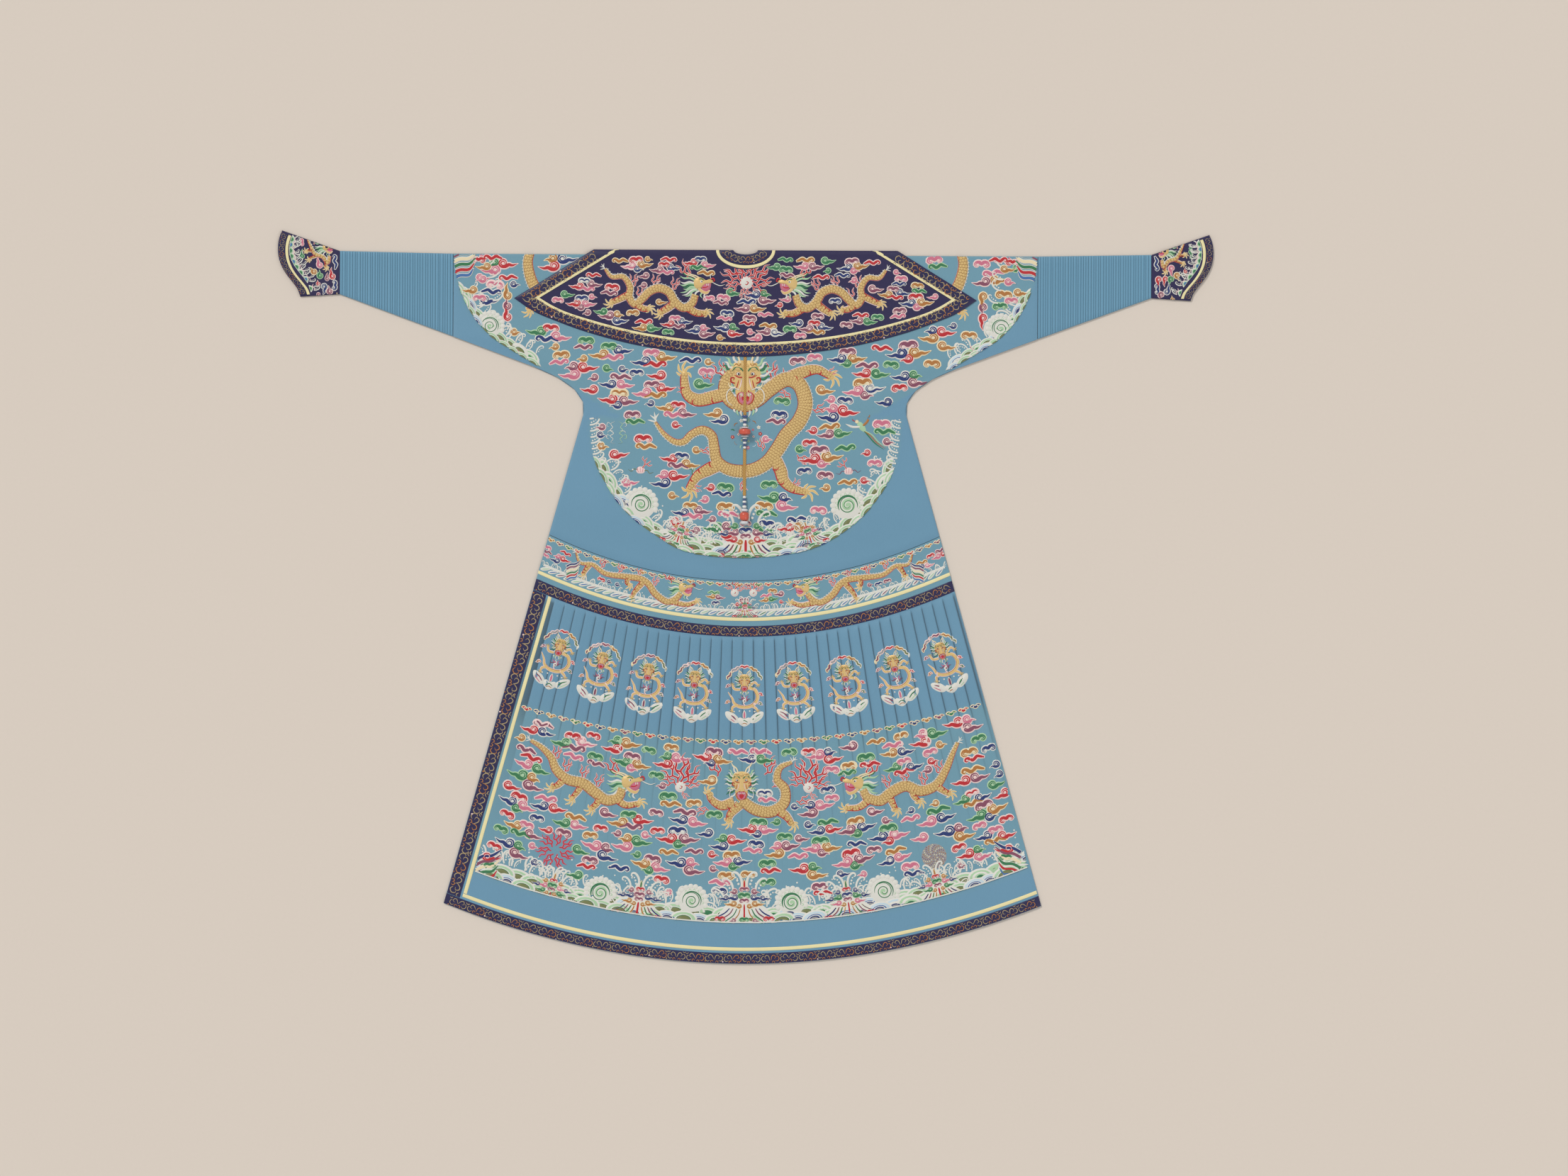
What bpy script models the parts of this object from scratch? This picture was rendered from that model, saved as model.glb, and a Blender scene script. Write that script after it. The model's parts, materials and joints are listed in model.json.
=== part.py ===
"""Court robe laid flat, back uppermost: jacket with ribbed sleeves and hoof cuffs, winged collar, waistband
and pleated skirt, with brocade edgings, pale piping and a beaded neck cord.

Every size is in millimetres on the laid-out garment: side runs right from the centre line, depth runs down
from the shoulder line, and height runs up from the surface that the robe lies on.
"""

import math
from collections import namedtuple

import bmesh
import bpy
from mathutils import Matrix

MM = 0.001
WELD = 1e-6
SHARP_ANGLE = math.radians(35)

Point = namedtuple("Point", "side depth")
Row = namedtuple("Row", "half depth")

# Overall sizes
CUFF_TIP_RISE = 46
HEM_DEPTH = 1455
CENTRE_DEPTH = (HEM_DEPTH - CUFF_TIP_RISE) / 2

# Layers, from the surface up
GAP = 0.3
UNDER_CLOTH = 2.3
OVER_CLOTH = 2.0
FLAP_CLOTH = 1.0
COLLAR_CLOTH = 1.6
TRIM_CLOTH = 1.0
OVER_BASE = UNDER_CLOTH + GAP
OVER_FACE = OVER_BASE + OVER_CLOTH
COLLAR_BASE = OVER_FACE + GAP
COLLAR_FACE = COLLAR_BASE + COLLAR_CLOTH
BODY_TRIM_BASE = OVER_FACE + GAP
COLLAR_TRIM_BASE = COLLAR_FACE + GAP

# Body outline: the sleeve end of the jacket, its lower edge, the underarm curve and the flared side
SLEEVE_SEAM_SIDE = 600
SLEEVE_SEAM_DROP = 170
SLEEVE_SLOPE = 0.37
UNDERARM_SIDE = 332
UNDERARM_DEPTH = 330
FLARE = 0.2803
CURVE_START_SIDE = 435
JACKET_END = 576
WAIST_SEAM = 677
HEM_SIDE_DEPTH = 1333.3

# Arc of a row: how much lower its middle is than its ends, against the depth of its ends
Sag = namedtuple("Sag", "depth drop")
SAGS = [
    Sag(0, 0),
    Sag(200, 0),
    Sag(380, 42),
    Sag(JACKET_END, 93),
    Sag(WAIST_SEAM, 96),
    Sag(917, 83),
    Sag(1253, 119),
    Sag(HEM_SIDE_DEPTH, HEM_DEPTH - HEM_SIDE_DEPTH),
]

# Rows and columns of the jacket's panels
SHOULDER_ROWS = [0, 68, 135, SLEEVE_SEAM_DROP]
SLEEVE_ROW_HALVES = [545, 490]
BACK_CURVE_STEPS = 5
BACK_SIDE_STEPS = 7
FRONT_CURVE_STEPS = 4
FRONT_SIDE_STEPS = 3
BACK_COLUMNS = 21
BAND_COLUMNS = 19
FRONT_COLUMNS = 15

# Loft of the torso: how far its two layers part, over what distance, and how far off the collar that starts
TORSO_LOFT = 3.4
LOFT_MARGIN = 90
LOFT_FROM_COLLAR = 42
LOFT_FROM_WAIST = 12

# Skirt: depths of its rows on the side edges, and its pleats
SKIRT_ROWS = [690, 699, 770, 840, 900, 940, 1020, 1100, 1180, 1260]
SKIRT_FRONT_ROWS = [840, 940, 1100, 1180, 1260]
PLEATS = 38
PLEAT_RISE = 2.4
PLEAT_FOLD_SHARE = 0.88
PLEAT_FREE_LEFT = 44
PLEAT_FREE_RIGHT = 5
PLEAT_FADE = 2
PleatPress = namedtuple("PleatPress", "depth share")
PLEAT_PRESSES = [
    PleatPress(690, 0),
    PleatPress(699, 1),
    PleatPress(900, 1),
    PleatPress(940, 0.35),
    PleatPress(1180, 0),
]

# Sleeves: ribs across them, and the seam with the cuff
RIBS = 45
RIB_RISE = 1.1
SLEEVE_FACE = OVER_FACE - 0.2
CUFF_SEAM_SIDE = 833
CUFF_SEAM_TOP = -4.4
CUFF_SEAM_BOTTOM = 84.7
SLEEVE_CLOTH = 1.7
FOLD_ROUND = 2.6
SLEEVE_LINING_STATIONS = 3
CUFF_STATIONS = 5

# Outer edge of a cuff, from the tip at the top to the lower corner
CUFF_EDGE = [
    Point(952, -CUFF_TIP_RISE),
    Point(958, -28),
    Point(960, -9),
    Point(958, 11),
    Point(951, 30),
    Point(941, 46),
    Point(929, 61),
    Point(919, 75),
    Point(914, 90),
]

# Edging and piping
HEM_BAND = 21
WAIST_BAND = 22
SIDE_BAND = 27
PIPING = 7
SIDE_PIPING_GAP = 4
HEM_PIPING_CENTRE = 29
WAIST_PIPING_RISE = 28
SIDE_STEPS = 12
BAND_CORNER_GAP = 3 * GAP
HEM_PIPING_END = 0.998
CUFF_BAND = 15
CUFF_PIPING = 6
CUFF_TRIM_INSET = 0.5
CUFF_TRIM_END = 0.045

# Collar, half of each line from the fold line round to the middle of the back
COLLAR_TOP = -10
COLLAR_TRIM_INSET = 0.5
COLLAR_EDGE = [
    Point(311, COLLAR_TOP),
    Point(474, 91),
    Point(437, 116),
    Point(396, 134),
    Point(323, 160),
    Point(230, 184),
    Point(137, 199),
    Point(65, 206),
    Point(0, 208.6),
]
COLLAR_PIPING = [
    Point(265, COLLAR_TOP),
    Point(428, 90),
    Point(396, 109),
    Point(358, 125),
    Point(283, 147),
    Point(207, 164),
    Point(124, 176),
    Point(60, 181),
    Point(0, 183),
]
COLLAR_COLUMNS = [9, 17, 22, 25, 60, 137, 230, 270, 311, 358, 396, 437, 474]
COLLAR_ROW_SHARES = [0.35, 0.7, 1]
NECK_HALF = 25
NECK_DROP = 9
NECK_CLEARANCE = 0.5
NECKBAND_HALF = 54
NECKBAND_DROP = 31
NECK_PIPING_WIDTH = 6.5
NECK_STEPS = 16

# The collar's front flap and the neck hole, both on the underside, and the recess that takes the flap
NECK_HOLE_SIDE = 55
NECK_HOLE_LENGTH = 50
NECK_HOLE_DEPTH = 30
NECK_HOLE_FACETS = 40
FLAP_HALF = 311
FLAP_END = 105
FLAP_POWER = 1.3
FLAP_COLUMNS = [60, 120, 180, 240, 280, FLAP_HALF]
FLAP_SEAM = 37.2
FLAP_MIDDLE_TOP = 66
RECESS_HALF = 345
RECESS_END = 135
RECESS_FADE = 55
FRONT_ACROSS = [0.19, 0.38, 0.84, 1]

# Neck cord and its beads, threaded in this order, with the depth of each bead's middle
CORD_WIDTH = 6.5
CORD_CLOTH = 1.5
CordStretch = namedtuple("CordStretch", "name start end")
CORD_STRETCHES = [CordStretch("neck_cord_upper", 209.5, 328.7), CordStretch("neck_cord_lower", 398.5, 493.9)]
Bead = namedtuple("Bead", "name material radius half depth")
BEADS = [
    Bead("glass_cup_1", "blue_glass", 7.2, 2.8, 331.9),
    Bead("pearl_1", "pearl", 4.3, 3.3, 338.4),
    Bead("glass_disc_1", "blue_glass", 4.0, 1.5, 343.6),
    Bead("pearl_2", "pearl", 4.0, 3.3, 348.8),
    Bead("petal_cap_1", "pearl", 8.0, 2.1, 354.6),
    Bead("coral_1", "coral", 12.6, 6.2, 363.3),
    Bead("petal_cap_2", "pearl", 8.0, 2.0, 371.9),
    Bead("pearl_3", "pearl", 4.8, 2.2, 376.5),
    Bead("glass_disc_2", "blue_glass", 5.5, 1.4, 380.5),
    Bead("pearl_4", "pearl", 3.8, 3.1, 385.4),
    Bead("glass_disc_3", "blue_glass", 4.0, 1.5, 390.4),
    Bead("pearl_5", "pearl", 3.4, 2.9, 395.2),
    Bead("pearl_6", "pearl", 3.6, 2.9, 497.2),
    Bead("glass_disc_4", "blue_glass", 4.0, 1.5, 502.0),
    Bead("pearl_7", "pearl", 4.2, 2.8, 506.7),
    Bead("glass_disc_5", "blue_glass", 4.2, 1.5, 511.4),
    Bead("pearl_8", "pearl", 4.6, 3.4, 516.7),
    Bead("petal_cap_3", "pearl", 7.0, 3.3, 523.9),
    Bead("coral_2", "coral", 9.7, 8.6, 536.4),
    Bead("petal_cap_4", "pearl", 8.4, 3.8, 549.4),
]
BEAD_SIDES = 10

# A bead's half outline, as shares of its half length and radius
BeadPoint = namedtuple("BeadPoint", "along out")
BEAD_PROFILE = [
    BeadPoint(-1, 0),
    BeadPoint(-0.88, 0.62),
    BeadPoint(-0.3, 1),
    BeadPoint(0.3, 1),
    BeadPoint(0.88, 0.62),
    BeadPoint(1, 0),
]

# Colours of the cloth and trims
Finish = namedtuple("Finish", "red green blue rough metal")
FINISHES = {
    "blue_silk": Finish(0.105, 0.31, 0.46, 0.5, 0),
    "ribbed_silk": Finish(0.095, 0.29, 0.45, 0.5, 0),
    "navy_satin": Finish(0.018, 0.014, 0.075, 0.4, 0),
    "navy_brocade": Finish(0.05, 0.04, 0.07, 0.45, 0.2),
    "pale_piping": Finish(0.72, 0.62, 0.36, 0.55, 0),
    "gold_braid": Finish(0.55, 0.36, 0.1, 0.5, 0),
    "coral": Finish(0.62, 0.1, 0.06, 0.3, 0),
    "pearl": Finish(0.8, 0.78, 0.76, 0.2, 0),
    "blue_glass": Finish(0.03, 0.06, 0.25, 0.15, 0),
}


# Scene

def clear_scene():
    for obj in list(bpy.data.objects):
        bpy.data.objects.remove(obj)


def new_collection(name):
    made = bpy.data.collections.new(name)
    bpy.context.scene.collection.children.link(made)
    return made


def make_material(name):
    finish = FINISHES[name]
    material = bpy.data.materials.get(name) or bpy.data.materials.new(name)
    material.use_nodes = True
    shader = material.node_tree.nodes["Principled BSDF"]
    shader.inputs["Base Color"].default_value = (finish.red, finish.green, finish.blue, 1)
    shader.inputs["Roughness"].default_value = finish.rough
    shader.inputs["Metallic"].default_value = finish.metal
    return material


def place(side, depth, height):
    """Garment millimetres to the part's own frame in metres."""
    return side * MM, (CENTRE_DEPTH - depth) * MM, height * MM


# Curves and tables

def smooth(share):
    share = min(max(share, 0.0), 1.0)
    return share * share * (3 - 2 * share)


def along(table, at):
    """Straight interpolation in a table of (position, value) pairs."""
    for (low, first), (high, last) in zip(table, table[1:]):
        if at <= high:
            return first + (last - first) * max(at - low, 0) / (high - low)
    return table[-1][1]


def even(count):
    """Across values from -1 to 1."""
    return [2 * step / (count - 1) - 1 for step in range(count)]


def both_sides(half):
    """Whole list of across values or sides from the positive half."""
    return [-value for value in reversed(half)] + [0] + list(half)


# Rows of the body: half width, and the depth of the row's ends

def body_half(depth):
    return UNDERARM_SIDE + FLARE * (depth - UNDERARM_DEPTH)


def row_at(depth):
    return Row(body_half(depth), depth)


def sleeve_row(half):
    return Row(half, SLEEVE_SEAM_DROP + SLEEVE_SLOPE * (SLEEVE_SEAM_SIDE - half))


def underarm_rows(steps):
    """The curve from the sleeve's lower edge into the side seam, tangent to both."""
    start = sleeve_row(CURVE_START_SIDE)
    end = Row(UNDERARM_SIDE, UNDERARM_DEPTH)
    fall = SLEEVE_SEAM_DROP + SLEEVE_SLOPE * SLEEVE_SEAM_SIDE
    corner_half = (UNDERARM_SIDE + FLARE * (fall - UNDERARM_DEPTH)) / (1 + FLARE * SLEEVE_SLOPE)
    corner = Row(corner_half, fall - SLEEVE_SLOPE * corner_half)
    rows = []
    for step in range(steps + 1):
        t = step / steps
        weights = ((1 - t) ** 2, 2 * t * (1 - t), t * t)
        half = sum(weight * row.half for weight, row in zip(weights, (start, corner, end)))
        depth = sum(weight * row.depth for weight, row in zip(weights, (start, corner, end)))
        rows.append(Row(half, depth))
    return rows


def jacket_rows(curve_steps, side_steps):
    rows = [Row(SLEEVE_SEAM_SIDE - GAP, depth) for depth in SHOULDER_ROWS]
    rows += [sleeve_row(half) for half in SLEEVE_ROW_HALVES]
    rows += underarm_rows(curve_steps)
    reach = JACKET_END - GAP - UNDERARM_DEPTH
    rows += [row_at(UNDERARM_DEPTH + reach * (step + 1) / side_steps) for step in range(side_steps)]
    return rows


def on_row(row, across):
    """The place at across on a row, from -1 at its left end to 1 at its right end."""
    return Point(row.half * across, row.depth + along(SAGS, row.depth) * (1 - across * across))


def row_line(depth, across):
    return [on_row(row_at(depth), value) for value in across]


# Heights of the layers

def collar_end(side):
    """Depth of the collar's lower edge at a side."""
    lower = sorted((point.side, point.depth) for point in COLLAR_EDGE[1:])
    return along(lower, abs(side))


def torso_loft(row, side, depth):
    """How far the jacket's upper layer parts from the lower one, between collar, sides and waist."""
    waist = JACKET_END + along(SAGS, JACKET_END) * (1 - (side / body_half(JACKET_END)) ** 2)
    from_side = smooth((row.half - abs(side)) / LOFT_MARGIN)
    from_collar = smooth((depth - collar_end(side) - LOFT_FROM_COLLAR) / LOFT_MARGIN)
    from_waist = smooth((waist - LOFT_FROM_WAIST - depth) / LOFT_MARGIN)
    return TORSO_LOFT * from_side * from_collar * from_waist


def torso_face(depth):
    """Height of the jacket's face on the centre line, straight between its rows as the jacket is."""
    table = []
    for row in jacket_rows(BACK_CURVE_STEPS, BACK_SIDE_STEPS):
        middle = on_row(row, 0)
        table.append((middle.depth, OVER_FACE + torso_loft(row, 0, middle.depth)))
    return along(table, depth)


def fold_drop(depth):
    """How far the collar falls where it folds over the shoulder line onto the front flap."""
    return (COLLAR_BASE - FLAP_CLOTH - GAP) * max(depth / COLLAR_TOP, 0)


# Solids

def finish_object(name, bm, material, parts):
    bmesh.ops.remove_doubles(bm, verts=bm.verts[:], dist=WELD)
    bmesh.ops.recalc_face_normals(bm, faces=bm.faces[:])
    mesh = bpy.data.meshes.new(name)
    bm.to_mesh(mesh)
    bm.free()
    mesh.shade_smooth()
    mesh.set_sharp_from_angle(angle=SHARP_ANGLE)
    mesh.materials.append(make_material(material))
    obj = bpy.data.objects.new(name, mesh)
    parts.objects.link(obj)
    return obj


def grid_index(value, count):
    """Index of a point of a two-unit grid with count spaces, from its place on one axis."""
    return round((value + 1) / 2 * count)


def wall(name, columns, rows, skin, material, parts):
    """A closed sheet of cloth. skin(column, row) gives side, depth, lower height and upper height."""
    bm = bmesh.new()
    bmesh.ops.create_grid(bm, x_segments=columns - 1, y_segments=rows - 1, size=1)
    raised = bmesh.ops.extrude_face_region(bm, geom=bm.faces[:])["geom"]
    upper = {vert for vert in raised if isinstance(vert, bmesh.types.BMVert)}
    for vert in bm.verts:
        side, depth, low, high = skin(grid_index(vert.co.x, columns - 1), grid_index(vert.co.y, rows - 1))
        vert.co = place(side, depth, high if vert in upper else low)
    return finish_object(name, bm, material, parts)


def rows_wall(name, rows, across, heights, material, parts):
    """A sheet on body rows. heights(row, column, side, depth) gives its lower and upper height."""

    def skin(column, row):
        side, depth = on_row(rows[row], across[column])
        return side, depth, *heights(rows[row], column, side, depth)

    return wall(name, len(across), len(rows), skin, material, parts)


def strip(name, outer, inner, base, material, parts):
    """A band of trim between two lines with as many points each. base(depth) is its lower height."""

    def skin(column, row):
        side, depth = (outer, inner)[row][column]
        return side, depth, base(depth), base(depth) + TRIM_CLOTH

    return wall(name, len(outer), 2, skin, material, parts)


def tube(name, stations, inner_stations, ring, inner_ring, spot, rise, material, parts):
    """A flattened tube of cloth: out along its outer skin, back along its inner one, and round.
    spot(t, v) gives side and depth, rise(station) the height of a rib at a station of the outer skin."""
    loop = [(ring, station, stations) for station in range(stations)]
    loop += [(inner_ring, station, inner_stations) for station in reversed(range(inner_stations))]
    bm = bmesh.new()
    bmesh.ops.create_grid(bm, x_segments=len(loop), y_segments=len(ring), size=1)
    for vert in bm.verts:
        section, station, count = loop[grid_index(vert.co.x, len(loop)) % len(loop)]
        point = section[grid_index(vert.co.y, len(ring)) % len(ring)]
        side, depth = spot(station / (count - 1), point.across)
        vert.co = place(side, depth + point.inset, point.height + point.ribbed * rise(station))
    return finish_object(name, bm, material, parts)


RingPoint = namedtuple("RingPoint", "across inset height ribbed")


def flat_ring(face, between):
    """Outer and inner section of a flattened tube on the surface, with rounded folds at top and bottom."""
    middle = face / 2
    spots = [(step + 1) / (between + 1) for step in range(between)]
    outer = [RingPoint(0, 0, middle, 0), RingPoint(0, FOLD_ROUND, face, 1)]
    outer += [RingPoint(spot, 0, face, 1) for spot in spots]
    outer += [RingPoint(1, -FOLD_ROUND, face, 1), RingPoint(1, 0, middle, 0), RingPoint(1, -FOLD_ROUND, 0, 0)]
    outer += [RingPoint(spot, 0, 0, 0) for spot in reversed(spots)]
    outer += [RingPoint(0, FOLD_ROUND, 0, 0)]
    inner = []
    for point in outer:
        inset = point.inset
        if point.across in (0, 1):
            inset += SLEEVE_CLOTH if point.across == 0 else -SLEEVE_CLOTH
        height = min(max(point.height, SLEEVE_CLOTH), face - SLEEVE_CLOTH)
        inner.append(RingPoint(point.across, inset, height, 0))
    return outer, inner


# Jacket, waistband and skirt

def back_heights(row, column, side, depth):
    loft = torso_loft(row, side, depth)
    return OVER_BASE + loft, OVER_FACE + loft


def recess_share(row, across):
    """How much of the recess for the collar's front flap there is at a place on the jacket's front."""
    down = along([(0, 1), (RECESS_END, 1), (SLEEVE_SEAM_DROP, 0)], row.depth)
    out = along([(0, 1), (RECESS_HALF, 1), (RECESS_HALF + RECESS_FADE, 0)], abs(across) * SLEEVE_SEAM_SIDE)
    return down * out


def build_jacket(parts):
    rows = jacket_rows(BACK_CURVE_STEPS, BACK_SIDE_STEPS)
    rows_wall("jacket_back", rows, even(BACK_COLUMNS), back_heights, "blue_silk", parts)

    recess_edges = [RECESS_HALF / SLEEVE_SEAM_SIDE, (RECESS_HALF + RECESS_FADE) / SLEEVE_SEAM_SIDE]
    across = both_sides(sorted(FRONT_ACROSS + recess_edges))

    def front_heights(row, column, side, depth):
        return recess_share(row, across[column]) * (FLAP_CLOTH + GAP), UNDER_CLOTH

    rows = jacket_rows(FRONT_CURVE_STEPS, FRONT_SIDE_STEPS)
    return rows_wall("jacket_front", rows, across, front_heights, "blue_silk", parts)


def flat_under(row, column, side, depth):
    return 0, UNDER_CLOTH


def flat_over(row, column, side, depth):
    return OVER_BASE, OVER_FACE


def build_waistband(parts):
    start, end = row_at(JACKET_END + GAP), row_at(WAIST_SEAM - GAP)
    middle = row_at((JACKET_END + WAIST_SEAM) / 2)
    rows_wall("waistband_back", [start, middle, end], even(BAND_COLUMNS), flat_over, "blue_silk", parts)
    rows_wall("waistband_front", [start, end], even(FRONT_COLUMNS), flat_under, "blue_silk", parts)


PleatColumn = namedtuple("PleatColumn", "across rise")


def pleat_columns():
    """The skirt's columns: each pleat has a steep side and a long one, mirrored about the middle."""
    half = body_half(WAIST_SEAM)
    start = -1 + PLEAT_FREE_LEFT / half
    end = 1 - PLEAT_FREE_RIGHT / half
    pitch = (end - start) / PLEATS
    columns = [PleatColumn(-1, 0), PleatColumn(start - PLEAT_FADE / half, 0)]
    for pleat in range(PLEATS):
        foot = start + pleat * pitch
        if foot + pitch / 2 < 0:
            columns += [PleatColumn(foot, 1), PleatColumn(foot + pitch * PLEAT_FOLD_SHARE, 0)]
        else:
            columns += [PleatColumn(foot + pitch * (1 - PLEAT_FOLD_SHARE), 0), PleatColumn(foot + pitch, 1)]
    return columns + [PleatColumn(end + PLEAT_FADE / half, 0), PleatColumn(1, 0)]


def build_skirt(parts):
    columns = pleat_columns()

    def pleated(row, column, side, depth):
        lift = PLEAT_RISE * columns[column].rise * along(PLEAT_PRESSES, row.depth)
        return OVER_BASE + lift, OVER_FACE + lift

    top, hem = WAIST_SEAM + GAP, HEM_SIDE_DEPTH
    rows = [row_at(depth) for depth in (top, *SKIRT_ROWS, hem)]
    rows_wall("skirt_back", rows, [column.across for column in columns], pleated, "blue_silk", parts)
    rows = [row_at(depth) for depth in (top, *SKIRT_FRONT_ROWS, hem)]
    rows_wall("skirt_front", rows, even(FRONT_COLUMNS), flat_under, "blue_silk", parts)


# Sleeves and cuffs

def sleeve_spot(sign):
    """Place on a sleeve from its share t out along the arm and v down across it."""

    def spot(t, v):
        side = SLEEVE_SEAM_SIDE + GAP + (CUFF_SEAM_SIDE - SLEEVE_SEAM_SIDE - 2 * GAP) * t
        top = CUFF_SEAM_TOP * t
        bottom = SLEEVE_SEAM_DROP + (CUFF_SEAM_BOTTOM - SLEEVE_SEAM_DROP) * t
        return sign * side, top + (bottom - top) * v

    return spot


def cuff_edge(v):
    spacing = 1 / (len(CUFF_EDGE) - 1)
    sides = [(index * spacing, point.side) for index, point in enumerate(CUFF_EDGE)]
    depths = [(index * spacing, point.depth) for index, point in enumerate(CUFF_EDGE)]
    return Point(along(sides, v), along(depths, v))


def cuff_spot(sign):
    """Place on a cuff from its share t out from the seam and v down across it."""

    def spot(t, v):
        edge = cuff_edge(v)
        start = CUFF_SEAM_SIDE + GAP
        seam_depth = CUFF_SEAM_TOP + (CUFF_SEAM_BOTTOM - CUFF_SEAM_TOP) * v
        return sign * (start + (edge.side - start) * t), seam_depth + (edge.depth - seam_depth) * t

    return spot


def cuff_line(sign, inset):
    """A line on the cuff, inset from its outer edge, stopping short of the folds."""
    points = []
    for step in range(len(CUFF_EDGE)):
        v = CUFF_TRIM_END + (1 - 2 * CUFF_TRIM_END) * step / (len(CUFF_EDGE) - 1)
        reach = cuff_edge(v).side - CUFF_SEAM_SIDE
        points.append(cuff_spot(sign)(1 - inset / reach, v))
    return points


def rib(station):
    return RIB_RISE * (station % 2)


def no_rib(station):
    return 0


def body_trim_base(depth):
    return BODY_TRIM_BASE


def build_arm(hand, sign, parts):
    ring, inner = flat_ring(SLEEVE_FACE, 1)
    tube(f"sleeve_{hand}", 2 * RIBS + 1, SLEEVE_LINING_STATIONS, ring, inner, sleeve_spot(sign), rib,
         "ribbed_silk", parts)
    ring, inner = flat_ring(OVER_FACE, len(CUFF_EDGE) - 2)
    tube(f"cuff_{hand}", CUFF_STATIONS, CUFF_STATIONS, ring, inner, cuff_spot(sign), no_rib,
         "navy_satin", parts)
    outer, inner = cuff_line(sign, CUFF_TRIM_INSET), cuff_line(sign, CUFF_BAND)
    strip(f"cuff_edging_{hand}", outer, inner, body_trim_base, "navy_brocade", parts)
    near = CUFF_BAND + GAP
    outer, inner = cuff_line(sign, near), cuff_line(sign, near + CUFF_PIPING)
    strip(f"cuff_piping_{hand}", outer, inner, body_trim_base, "pale_piping", parts)


# Edging and piping of the skirt and the waist

def left_line(inset, top, bottom):
    """A line down the skirt's left edge, inset from it. top and bottom are depths on that edge."""
    points = []
    for step in range(SIDE_STEPS + 1):
        row = row_at(top + (bottom - top) * step / SIDE_STEPS)
        points.append(on_row(row, -1 + inset / row.half))
    return points


def build_skirt_trim(parts):
    def band(name, outer, inner, material):
        strip(name, outer, inner, body_trim_base, material, parts)

    across = even(BAND_COLUMNS)
    waist_top, waist_end = WAIST_SEAM - WAIST_BAND / 2, WAIST_SEAM + WAIST_BAND / 2
    band("waist_edging", row_line(waist_top, across), row_line(waist_end, across), "navy_brocade")
    piping_top = WAIST_SEAM - WAIST_PIPING_RISE
    band("waist_piping", row_line(piping_top, across), row_line(piping_top + PIPING, across), "pale_piping")
    hem_top = HEM_SIDE_DEPTH - HEM_BAND
    band("hem_edging", row_line(hem_top, across), row_line(HEM_SIDE_DEPTH, across), "navy_brocade")

    side_top, side_end = waist_end + BAND_CORNER_GAP, hem_top - BAND_CORNER_GAP
    outer, inner = left_line(0, side_top, side_end), left_line(SIDE_BAND, side_top, side_end)
    band("side_edging", outer, inner, "navy_brocade")

    near = SIDE_BAND + SIDE_PIPING_GAP
    middle = HEM_SIDE_DEPTH - HEM_PIPING_CENTRE
    start = -1 + near / body_half(middle)
    across = [start + (HEM_PIPING_END - start) * (value + 1) / 2 for value in even(BAND_COLUMNS)]
    outer, inner = row_line(middle - PIPING / 2, across), row_line(middle + PIPING / 2, across)
    band("hem_piping", outer, inner, "pale_piping")
    side_end = middle - PIPING / 2 - BAND_CORNER_GAP
    outer, inner = left_line(near, side_top, side_end), left_line(near + PIPING, side_top, side_end)
    band("side_piping", outer, inner, "pale_piping")


# Collar

def mirrored(half_line):
    """A whole line from its right half, which ends on the centre line."""
    return [Point(-p.side, p.depth) for p in half_line[:-1]] + list(reversed(half_line))


def crossing(start, end, depth):
    """Where the line from start to end reaches a depth."""
    share = (depth - start.depth) / (end.depth - start.depth)
    return Point(start.side + (end.side - start.side) * share, depth)


def beside(line, offset):
    """A half line moved sideways by offset, outwards where positive, with mitred corners. It starts on the
    collar's top edge, has a point on the shoulder line, where the collar folds, and ends in the middle."""
    moved = []
    for before, point, after in zip([line[0], *line], line, [*line[1:], line[-1]]):
        across = down = count = 0
        for start, end in ((before, point), (point, after)):
            run, fall = end.side - start.side, end.depth - start.depth
            length = math.hypot(run, fall)
            if length:
                across, down, count = across + fall / length, down - run / length, count + 1
        scale = count * offset / (across * across + down * down)
        moved.append(Point(point.side + across * scale, point.depth + down * scale))
    first = crossing(moved[0], moved[1], COLLAR_TOP)
    fold = crossing(moved[0], moved[1], 0)
    return [first, fold, *moved[1:-1], Point(0, moved[-1].depth)]


def collar_top(side):
    """Depth of the collar's upper edge: shoulder fold, neck scoop and wing slope."""
    side = abs(side)
    if side < NECK_HALF:
        return COLLAR_TOP + NECK_DROP * math.sqrt(1 - (side / NECK_HALF) ** 2)
    top, tip = COLLAR_EDGE[0], COLLAR_EDGE[1]
    return along([top, tip], max(side, top.side))


def collar_trim_base(depth):
    return COLLAR_TRIM_BASE - fold_drop(depth)


def build_collar(parts):
    fold_end = crossing(COLLAR_EDGE[0], COLLAR_EDGE[1], 0).side
    sides = both_sides(sorted([*COLLAR_COLUMNS, fold_end]))

    def back(column, row):
        side = sides[column]
        top, end = collar_top(side), collar_end(side)
        first = max(top, 0)
        depths = [top, first] + [first + (end - first) * share for share in COLLAR_ROW_SHARES]
        drop = fold_drop(depths[row])
        return side, depths[row], COLLAR_BASE - drop, COLLAR_FACE - drop

    wall("collar_back", len(sides), len(COLLAR_ROW_SHARES) + 2, back, "navy_satin", parts)

    outer = mirrored(beside(COLLAR_EDGE, -COLLAR_TRIM_INSET))
    inner = mirrored(beside(COLLAR_PIPING, PIPING / 2 + GAP))
    strip("collar_edging", outer, inner, collar_trim_base, "navy_brocade", parts)
    outer = mirrored(beside(COLLAR_PIPING, PIPING / 2))
    inner = mirrored(beside(COLLAR_PIPING, -PIPING / 2))
    strip("collar_piping", outer, inner, collar_trim_base, "pale_piping", parts)


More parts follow.
